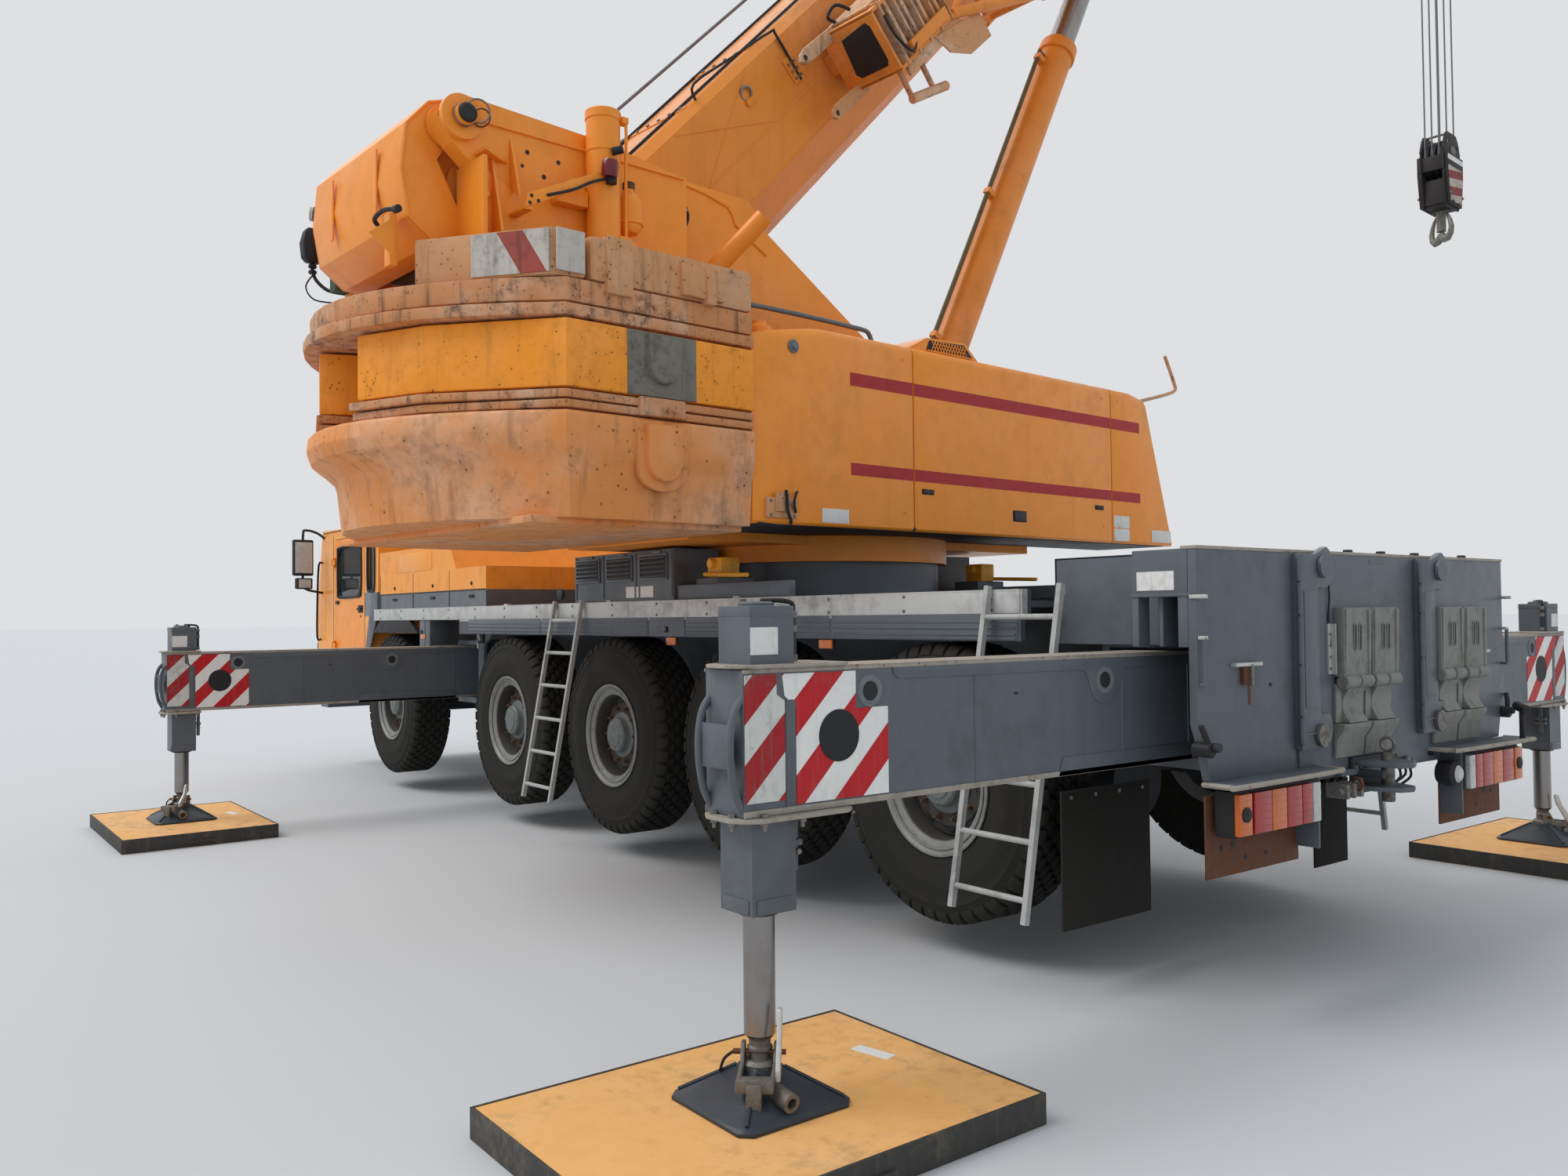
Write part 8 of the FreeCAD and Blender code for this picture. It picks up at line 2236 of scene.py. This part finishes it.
        form.bar((2.95, -0.80, -0.36), (2.97, -0.80, -0.05), 0.020, "block_paint", 10)
        form.prism("xz", [(3.02, -0.06), (3.60, -0.16), (3.60, -0.36), (3.30, -0.34), (3.10, -0.22)], -0.965,
            -0.95, "block_paint", 0.004)
        form.pipe([(2.60, -0.62, 0.41), (2.56, -0.62, 0.47), (2.64, -0.66, 0.50), (2.70, -0.70, 0.42)], 0.012,
            "black", 8, 4)
        form.pipe([(2.62, -0.99, 0.30), (2.58, -1.03, 0.15), (2.66, -1.03, 0.0), (2.80, -1.0, 0.05)], 0.010,
            "black", 8, 4)
        for x in (2.56, 3.34):
            form.box((x, x + 0.08), (-0.52, -0.40), (0.10, 0.24), "boom_orange", 0.006)

    def collar(self, form: Form, end: float, half: float) -> None:
        """Adds the bolt rows and wear strips of one section's collar.

        Args:
            end: where the section ends.
            half: half of the collar's width.
        """
        for side in (1, -1):
            unit = Form("unit")
            unit.lathe([(0.014, 0), (0.014, 0.010), (0, 0.012)], (end - 0.06, side * half, -0.30),
                (0, side, 0), "nut_steel", 6)
            repeat(form, unit, "nut_steel", 7, step=(0, 0, 0.13))
            form.box((end - 0.015, end + 0.006), (side * (half - 0.02), side * (half - 0.09)), (-0.10, 0.40),
                "black", 0.003)

    def head(self, form: Form) -> None:
        """Adds the head's ribs, the sheaves' rims, the top sheave and the rope that leads to it."""
        centre = 13.0 + 3 * 2.153
        for i in range(3):
            y = (i - 1) * 0.09
            form.lathe([(0.225, -0.032), (0.268, -0.032), (0.268, -0.024), (0.238, -0.007), (0.238, 0.007),
                (0.268, 0.024), (0.268, 0.032), (0.225, 0.032), (0.225, -0.032)], (centre, y, -0.35),
                (0, 1, 0), "plate_steel", 40)
        for side in (1, -1):
            form.lathe([(0.0, 0.0), (0.10, 0.0), (0.10, 0.012), (0.062, 0.022), (0.0, 0.022)],
                (centre, side * 0.330, -0.35), (0, side, 0), "boom_orange", 28)
            form.prism("xz", [(centre - 0.30, 0.0), (centre - 0.30, 0.30), (centre + 0.18, 0.28),
                (centre + 0.22, -0.06)], side * 0.330, side * 0.340, "boom_orange", 0.003)
            form.prism("xz", [(centre - 0.42, 0.42), (centre - 0.30, 0.78), (centre - 0.16, 0.78),
                (centre - 0.02, 0.40)], side * 0.055, side * 0.067, "boom_orange", 0.003)
        form.lathe([(0.0, -0.045), (0.20, -0.045), (0.165, -0.012), (0.165, 0.012), (0.20, 0.045),
            (0.0, 0.045)], (centre - 0.22, 0, 0.60), (0, 1, 0), "plate_steel", 36)
        form.pipe([(11.98, 0.036, 0.768), (15.0, 0.036, 0.768), (centre - 0.24, 0.0, 0.775)], 0.011, "wire",
            8)
        form.pipe([(centre - 0.06, 0.0, 0.62), (centre + 0.02, 0.0, 0.10), (centre + 0.06, 0.02, -0.10)],
            0.011, "wire", 8)
        form.box((centre - 0.25, centre - 0.05), (0.20, 0.32), (0.38, 0.46), "black", 0.01)


class CylinderTrim:
    """Gland bolts, side pipe and valve block of the luffing cylinder."""

    def build(self) -> None:
        """Makes the barrel's trim."""
        form = Form("barrel_trim", Place.CYLINDER)
        form.pipe([(0.42, -0.03, 0.20), (0.62, -0.03, 0.235), (1.0, -0.03, 0.222), (2.6, -0.03, 0.215),
            (4.42, -0.03, 0.222), (4.56, -0.03, 0.215), (4.60, -0.02, 0.160)], 0.020, "olive_pipe", 12, 3)
        for x in (1.45, 2.95, 4.50):
            form.box((x, x + 0.05), (-0.062, 0.002), (0.148, 0.242), "boom_orange", 0.006)
        unit = Form("unit")
        unit.lathe([(0.013, 0), (0.013, 0.018), (0, 0.020)], (0.143, 0, 0), (0, 0, 1), "nut_steel", 6)
        face = Matrix.Translation((4.85, 0, 0)) @ Matrix.Rotation(math.pi / 2, 4, "Y")
        repeat(form, unit, "nut_steel", 14, radius=0.0, sweep=math.pi / 7, turn=face)
        form.lathe([(0.1690, 0.0), (0.1735, 0.004), (0.1735, 0.045), (0.169, 0.05), (0.169, 0.0)],
            (4.735, 0, 0), (1, 0, 0), "boom_orange", 44)
        form.lathe([(0.1215, 0.0), (0.140, 0.0), (0.136, 0.022), (0.1215, 0.022), (0.1215, 0.0)],
            (4.850, 0, 0), (1, 0, 0), "black", 44)
        form.bar((4.62, -0.05, -0.12), (4.70, -0.05, -0.12), 0.03, "black", 12)
        form.box((0.62, 0.98), (-0.13, 0.10), (0.150, 0.275), "block_paint", 0.010)
        valves = ((0.67, -0.09, 0.34), (0.77, -0.03, 0.37), (0.88, -0.08, 0.33), (0.71, 0.05, 0.35),
            (0.92, 0.04, 0.36))
        for i, (x, y, tall) in enumerate(valves):
            form.bar((x, y, 0.25), (x, y, tall), 0.030 - 0.002 * i, "block_paint", 12)
            form.lathe([(0.02, 0), (0.02, 0.016), (0, 0.018)], (x, y, tall), (0, 0, 1), "stack_dark", 6)
        for y, bend in ((-0.10, 0.30), (-0.04, 0.34), (0.05, 0.32)):
            form.pipe([(0.63, y, 0.20), (0.45, y, bend - 0.06), (0.26, y * 1.2, bend - 0.10),
                (0.10, y * 1.1, 0.17)], 0.014, "black", 8, 4)
        form.box((0.80, 0.84), (-0.05, 0.02), (0.150, 0.20), "block_paint", 0.004)
        form.make("barrel")


class HookBlock:
    """The hook block with its cheeks, sheaves, weights and double hook."""

    def build(self) -> None:
        """Makes the block and the rope falls, which replace the CAD nodes."""
        falls = Form("rope_falls", Place.HOOK)
        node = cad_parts["hook_falls"]
        levels = [(node.matrix_world @ vertex.co).z for vertex in node.data.vertices]
        low, high = min(levels), max(levels)
        for side in (1, -1):
            for y in (-0.09, 0.0, 0.09):
                falls.pipe([(side * 0.271, y, low + (high - low) * i / 32) for i in range(33)], 0.011, "wire",
                    8)
        ropes = falls.make("")
        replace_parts(ropes, "hook_falls")
        matrix = Place.HOOK.matrix()
        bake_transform(ropes)
        form = Form("hook_detail", Place.HOOK)
        cheek = [(-0.17, 8.27), (-0.13, 8.28), (0.13, 8.28), (0.17, 8.27), (0.235, 8.19), (0.300, 8.03),
            (0.280, 7.98), (0.308, 7.95), (0.308, 7.74), (0.290, 7.71), (0.300, 7.69), (0.235, 7.27),
            (0.205, 7.23), (-0.205, 7.23), (-0.235, 7.27), (-0.300, 7.69), (-0.290, 7.71), (-0.308, 7.74),
            (-0.308, 7.95), (-0.280, 7.98), (-0.300, 8.03), (-0.235, 8.19)]
        for side in (1, -1):
            form.prism("xz", cheek, side * 0.132, side * 0.160, "hook_paint", 0.005)
            weight = [(-0.285, 7.96), (0.285, 7.96), (0.285, 7.70), (0.215, 7.26), (-0.215, 7.26),
                (-0.285, 7.70)]
            form.prism("xz", weight, side * 0.158, side * 0.200, "hook_paint", 0.010)
            form.box((-0.27, 0.27), (side * 0.1995, side * 0.2025), (7.86, 7.93), "white_sheet", 0.001)
            panel = [(-0.26, 7.78), (0.26, 7.78), (0.255, 7.70), (0.20, 7.30), (-0.20, 7.30), (-0.255, 7.70)]
            form.prism("xz", panel, side * 0.1995, side * 0.2025, "hook_stripes", 0.0)
            form.lathe([(0.0, 0.0), (0.075, 0.0), (0.075, 0.012), (0.045, 0.03), (0.0, 0.03)],
                (0, side * 0.160, 8.02), (0, side, 0), "worn_steel", 24)
            for x, z in ((-0.2, 8.12), (0.2, 8.12), (-0.22, 7.40), (0.22, 7.40), (-0.1, 7.30), (0.1, 7.30)):
                form.lathe([(0.020, 0), (0.020, 0.016), (0, 0.018)], (x, side * (0.160 if z > 8 else 0.202),
                    z), (0, side, 0), "nut_steel", 6)
            form.box((side * 0.255, side * 0.285), (-0.130, 0.130), (7.74, 7.94), "hook_paint", 0.004)
            form.box((side * 0.205, side * 0.225), (-0.130, 0.130), (7.28, 7.62), "hook_paint", 0.004)
            form.bar((side * 0.15, -0.15, 8.245), (side * 0.15, 0.15, 8.245), 0.016, "worn_steel", 12)
        unit = Form("unit")
        unit.lathe([(0.05, -0.030), (0.262, -0.030), (0.262, -0.024), (0.232, -0.007), (0.232, 0.007),
            (0.262, 0.024), (0.262, 0.030), (0.05, 0.030), (0.05, -0.030)], (0, -0.09, 7.94), (0, 1, 0),
            "plate_steel", 36)
        repeat(form, unit, "plate_steel", 3, step=(0, 0.09, 0))
        form.bar((0, -0.19, 7.94), (0, 0.19, 7.94), 0.050, "worn_steel", 24)
        form.lathe([(0.0, 0.0), (0.115, 0.0), (0.125, 0.03), (0.125, 0.12), (0.10, 0.15), (0.0, 0.15)],
            (0, 0, 7.22), (0, 0, 1), "hook_paint", 28)
        form.box((-0.205, 0.205), (-0.128, 0.128), (7.24, 7.30), "hook_paint", 0.008)
        form.lathe([(0.0, 0.0), (0.060, 0.01), (0.062, 0.30), (0.070, 0.34), (0.0, 0.34)], (0, 0, 6.93),
            (0, 0, 1), "worn_steel", 24)
        form.turn = Matrix.Rotation(math.radians(52.5), 4, "Z")
        for side in (1, -1):
            spine = [(0.0, 6.88), (0.07, 6.83), (0.145, 6.82), (0.205, 6.87), (0.225, 6.95), (0.20, 7.04),
                (0.155, 7.12), (0.110, 7.17)]
            girth = [0.060, 0.060, 0.052, 0.046, 0.041, 0.034, 0.026, 0.016]
            rings = []
            for i, ((x, z), r) in enumerate(zip(spine, girth)):
                nx, nz = spine[min(i + 1, 7)]
                px, pz = spine[max(i - 1, 0)]
                ahead = Vector((nx - px, 0, nz - pz)).normalized()
                across = Vector((-ahead.z, 0, ahead.x))
                rings.append([(side * (x + r * math.cos(a) * across.x), r * 0.8 * math.sin(a),
                    z + r * math.cos(a) * across.z) for a in (math.pi * k / 6 for k in range(12))])
            loft(form, rings, "worn_steel", 0.004)
            form.pipe([(side * 0.10, 0, 7.17), (side * 0.085, 0, 7.185), (side * 0.062, 0.03, 7.16)], 0.010,
                "worn_steel", 8, 3)
        form.turn = Matrix.Identity(4)
        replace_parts(form.make("hook"), "hook_block")
class OperatorCab:
    """Panes, seals, wipers, lamps, handles and the inside of the upper's cab, and its sliding door's pane."""

    def build(self) -> None:
        """Makes the trim of the shell, of the door and of the inside."""
        form = Form("operator_trim", Place.UPPER)
        self.panes(form)
        self.fittings(form)
        form.make("upper")
        self.door()
        self.inside()
        seat = Form("operator_seat", Place.UPPER, bevel=0.03)
        seat.box((0.86, 1.32), (0.80, 1.22), (2.60, 2.73), "cloth", 0.045)
        lean = Matrix.Translation((0.84, 1.01, 2.70)) @ Matrix.Rotation(math.radians(-11), 4, "Y")
        seat.box((-0.06, 0.06), (-0.21, 0.21), (0.0, 0.58), "cloth", 0.045, lean)
        seat.box((-0.05, 0.05), (-0.13, 0.13), (0.59, 0.74), "cloth", 0.04, lean)
        for y in (0.76, 1.22):
            seat.box((0.90, 1.24), (y, y + 0.07), (2.86, 2.91), "cloth", 0.02)
        seat.make("upper")

    def panes(self, form: Form) -> None:
        """Glazes the front, the inner side, the rear and the roof."""
        across, rise = Vector((0, -1, 0)), Vector((-0.2296, 0, 0.9733))
        out = Vector((0.9733, 0, 0.2296))
        east, north, up = Vector((1, 0, 0)), Vector((0, 1, 0)), Vector((0, 0, 1))
        for corner, axes, x, z in (
                ((2.23, 0, 2.60), (across, out, rise), (-1.31, -0.71), (0.103, 0.976)),
                ((0.33, 0, 0), (north, -east, up), (0.73, 1.29), (2.98, 3.55)),
                ((0, 0.62, 0), (-east, -north, up), (-1.81, -0.58), (2.80, 3.55)),
                ((0, 0, 3.72), (east, up, -north), (0.83, 1.67), (-1.29, -0.73))):
            form.turn = Matrix.Translation(corner) @ Matrix(axes).transposed().to_4x4()
            window(form, x, z, 0.0, 0.06)
        form.turn = Matrix.Translation((2.23, 0, 2.60)) @ Matrix((across, out, rise)).transposed().to_4x4()
        form.bar((-1.00, 0.0, 0.05), (-1.00, 0.045, 0.05), 0.020, "black", 14)
        form.pipe([(-1.00, 0.038, 0.05), (-0.90, 0.040, 0.45), (-0.865, 0.030, 0.62)], 0.007, "black", 8)
        form.box((-0.875, -0.853), (0.004, 0.022), (0.28, 0.92), "black", 0.003)
        for low in (0.015, 0.985):
            form.box((-1.36, -0.66), (-0.002, 0.006), (low, low + 0.03), "orange_gloss", 0.002)
        form.turn = Matrix.Identity(4)

    def fittings(self, form: Form) -> None:
        """Adds the belts, the lamps, the mirror, the handles, the rail's ends, the vents and the roof wiper."""
        form.prism("xz", [(0.34, 2.19), (1.93, 2.19), (2.22, 2.60), (0.34, 2.60)], 0.612, 0.621,
            "orange_gloss", 0.004)
        form.prism("xz", [(0.34, 2.66), (2.205, 2.66), (2.198, 2.69), (0.34, 2.69)], 0.612, 0.621,
            "dark_frame", 0.002)
        louvres(form, (0.42, 0.66), (2.26, 2.52), 0.612, "dark_frame", 6)
        form.prism("xz", [(1.60, 2.62), (2.205, 2.62), (2.19, 2.68), (1.60, 2.68)], 1.40, 1.409, "dark_frame",
            0.002)
        for z in (2.24, 3.645):
            form.box((0.02, 1.90), (1.40, 1.407), (z - 0.012, z + 0.012), "black", 0.002)
        for x in (0.02, 1.575):
            form.box((x, x + 0.016), (1.388, 1.446), (3.622, 3.668), "black", 0.003)
        form.pipe([(1.66, 1.40, 2.75), (1.66, 1.450, 2.78), (1.66, 1.452, 3.32), (1.66, 1.40, 3.35)], 0.012,
            "black", 10, 4)
        form.pipe([(2.02, 0.62, 2.60), (2.02, 0.585, 2.63), (1.94, 0.585, 3.40), (1.94, 0.62, 3.43)], 0.011,
            "black", 10, 4)
        form.pipe([(2.02, 1.40, 3.42), (2.06, 1.46, 3.43), (2.13, 1.56, 3.42), (2.14, 1.57, 3.30)], 0.011,
            "black", 10, 4)
        form.box((2.115, 2.150), (1.48, 1.65), (3.05, 3.31), "black", 0.018)
        form.box((2.111, 2.115), (1.495, 1.635), (3.07, 3.29), "chrome", 0.0)
        for y in (0.74, 1.28):
            form.box((1.84, 1.86), (y - 0.012, y + 0.012), (3.70, 3.80), "black", 0.003)
            form.lathe([(0.0, 0.0), (0.060, 0.01), (0.078, 0.05), (0.078, 0.075), (0.0, 0.075)],
                (1.84, y, 3.80), (1, 0, -0.25), "black", 28)
            form.lathe([(0.0, 0.0), (0.068, 0.0), (0.060, 0.010), (0.0, 0.014)], (1.913, y, 3.782),
                (1, 0, -0.25), "lens_clear", 28)
        form.lathe([(0.07, 0), (0.07, 0.02), (0.05, 0.03), (0.05, 0.10), (0.035, 0.13), (0.0, 0.14)],
            (0.52, 1.12, 3.72), (0, 0, 1), "lens_amber", 28)
        form.box((0.40, 0.72), (0.72, 0.98), (3.72, 3.80), "black", 0.02)
        unit = Form("unit")
        unit.box((0.43, 0.69), (0.745, 0.757), (3.798, 3.808), "dark_frame", 0.0)
        repeat(form, unit, "dark_frame", 8, step=(0, 0.030, 0))
        form.bar((1.68, 1.01, 3.72), (1.68, 1.01, 3.765), 0.018, "black", 14)
        form.pipe([(1.68, 1.01, 3.755), (1.30, 1.05, 3.755), (1.20, 1.06, 3.745)], 0.007, "black", 8)
        form.box((0.95, 1.45), (1.045, 1.066), (3.726, 3.742), "black", 0.003)
        form.prism("xz", [(1.86, 3.722), (1.995, 3.672), (2.15, 3.652), (2.15, 3.662), (1.99, 3.69),
            (1.86, 3.735)], 0.66, 1.36, "dark_frame", 0.003)
        for x, z in ((0.40, 2.30), (0.40, 2.90), (0.40, 3.50)):
            form.box((x - 0.076, x - 0.066), (0.64, 0.69), (z, z + 0.10), "black", 0.004)
        for z in (2.42, 2.56):
            form.lathe([(0.0, 0.0), (0.055, 0.0), (0.055, 0.018), (0.046, 0.024), (0.0, 0.026)],
                (0.33, 1.30, z), (-1, 0, 0), "lens_red" if z < 2.5 else "lens_amber", 24)
        form.box((0.322, 0.33), (0.80, 1.20), (2.30, 2.80), "orange_gloss", 0.004)
        form.box((0.300, 0.324), (0.98, 1.10), (2.53, 2.56), "black", 0.006)

    def door(self) -> None:
        """Makes the sliding door's pane, its handle, its rollers and its pressed lower panel."""
        form = Form("operator_door_trim", Place.UPPER)
        window(form, (0.76, 1.50), (2.80, 3.54), 1.444, 0.07)
        form.box((0.76, 1.50), (1.442, 1.452), (2.36, 2.70), "orange_gloss", 0.006)
        form.box((1.42, 1.56), (1.443, 1.456), (2.71, 2.775), "black", 0.008)
        form.pipe([(1.45, 1.45, 2.755), (1.45, 1.488, 2.75), (1.54, 1.488, 2.75), (1.54, 1.45, 2.755)], 0.009,
            "black", 8, 3)
        form.pipe([(0.72, 1.443, 2.45), (0.72, 1.486, 2.47), (0.72, 1.486, 2.72), (0.72, 1.443, 2.74)], 0.010,
            "black", 8, 3)
        for x in (0.80, 1.46):
            form.box((x - 0.035, x + 0.035), (1.444, 1.454), (3.56, 3.61), "dark_frame", 0.004)
            form.box((x - 0.03, x + 0.03), (1.444, 1.454), (2.26, 2.31), "dark_frame", 0.004)
        form.make("slide_door")

    def inside(self) -> None:
        """Makes the floor mat, the seat's base, the consoles with their levers, the pedals and the panel."""
        form = Form("operator_inside", Place.UPPER)
        form.box((0.42, 1.90), (0.68, 1.35), (2.222, 2.232), "black", 0.0)
        form.box((0.92, 1.26), (0.86, 1.16), (2.23, 2.60), "black", 0.02)
        for y in (0.72, 1.24):
            form.box((1.02, 1.42), (y - 0.045, y + 0.055), (2.50, 2.82), "dark_frame", 0.02)
            form.pipe([(1.34, y, 2.82), (1.37, y, 2.92), (1.375, y, 2.98)], 0.012, "black", 10)
            form.lathe([(0.0, 0.0), (0.022, 0.01), (0.028, 0.05), (0.020, 0.09), (0.0, 0.10)],
                (1.375, y, 2.97), (0, 0, 1), "black", 18)
            for i in range(3):
                form.box((1.10 + 0.06 * i, 1.13 + 0.06 * i), (y - 0.02, y + 0.02), (2.82, 2.832),
                    "lens_clear", 0.003)
        form.prism("xz", [(1.86, 2.23), (1.95, 2.24), (2.17, 2.60), (2.15, 2.74), (2.00, 2.78)], 0.70, 1.32,
            "black", 0.02)
        form.pipe([(2.05, 0.74, 2.76), (2.03, 0.74, 2.92), (1.98, 0.76, 2.98)], 0.014, "black", 10)
        form.box((1.955, 1.985), (0.68, 0.92), (2.93, 3.13), "black", 0.012)
        form.box((1.950, 1.956), (0.70, 0.90), (2.95, 3.11), "window_glass", 0.0)
        for y in (0.90, 1.06, 1.20):
            form.box((1.66, 1.82), (y - 0.035, y + 0.035), (2.31, 2.33), "dark_frame", 0.004,
                Matrix.Translation((1.243, 0, -0.537)) @ Matrix.Rotation(math.radians(-27), 4, "Y"))
        form.make("upper")


ASSEMBLIES: tuple[type, ...] = (Counterweight, RearEnd, Outriggers, Wheels, CarrierSides, CarrierCab, Covers,
    RearFrame, BoomTrim, CylinderTrim, HookBlock, OperatorCab,)


def main() -> None:
    """Builds the materials, the pieces and the studio."""
    logging.basicConfig(level=logging.INFO, format="%(message)s")
    weathering_group()
    band_group()
    stripe_group()
    for finish in FINISHES:
        finish.build()
    glass()
    dress_cad()
    for assembly in ASSEMBLIES:
        LOG.info("building %s", assembly.__name__)
        assembly().build()
    Studio().build()


if __name__ == "__main__":
    main()
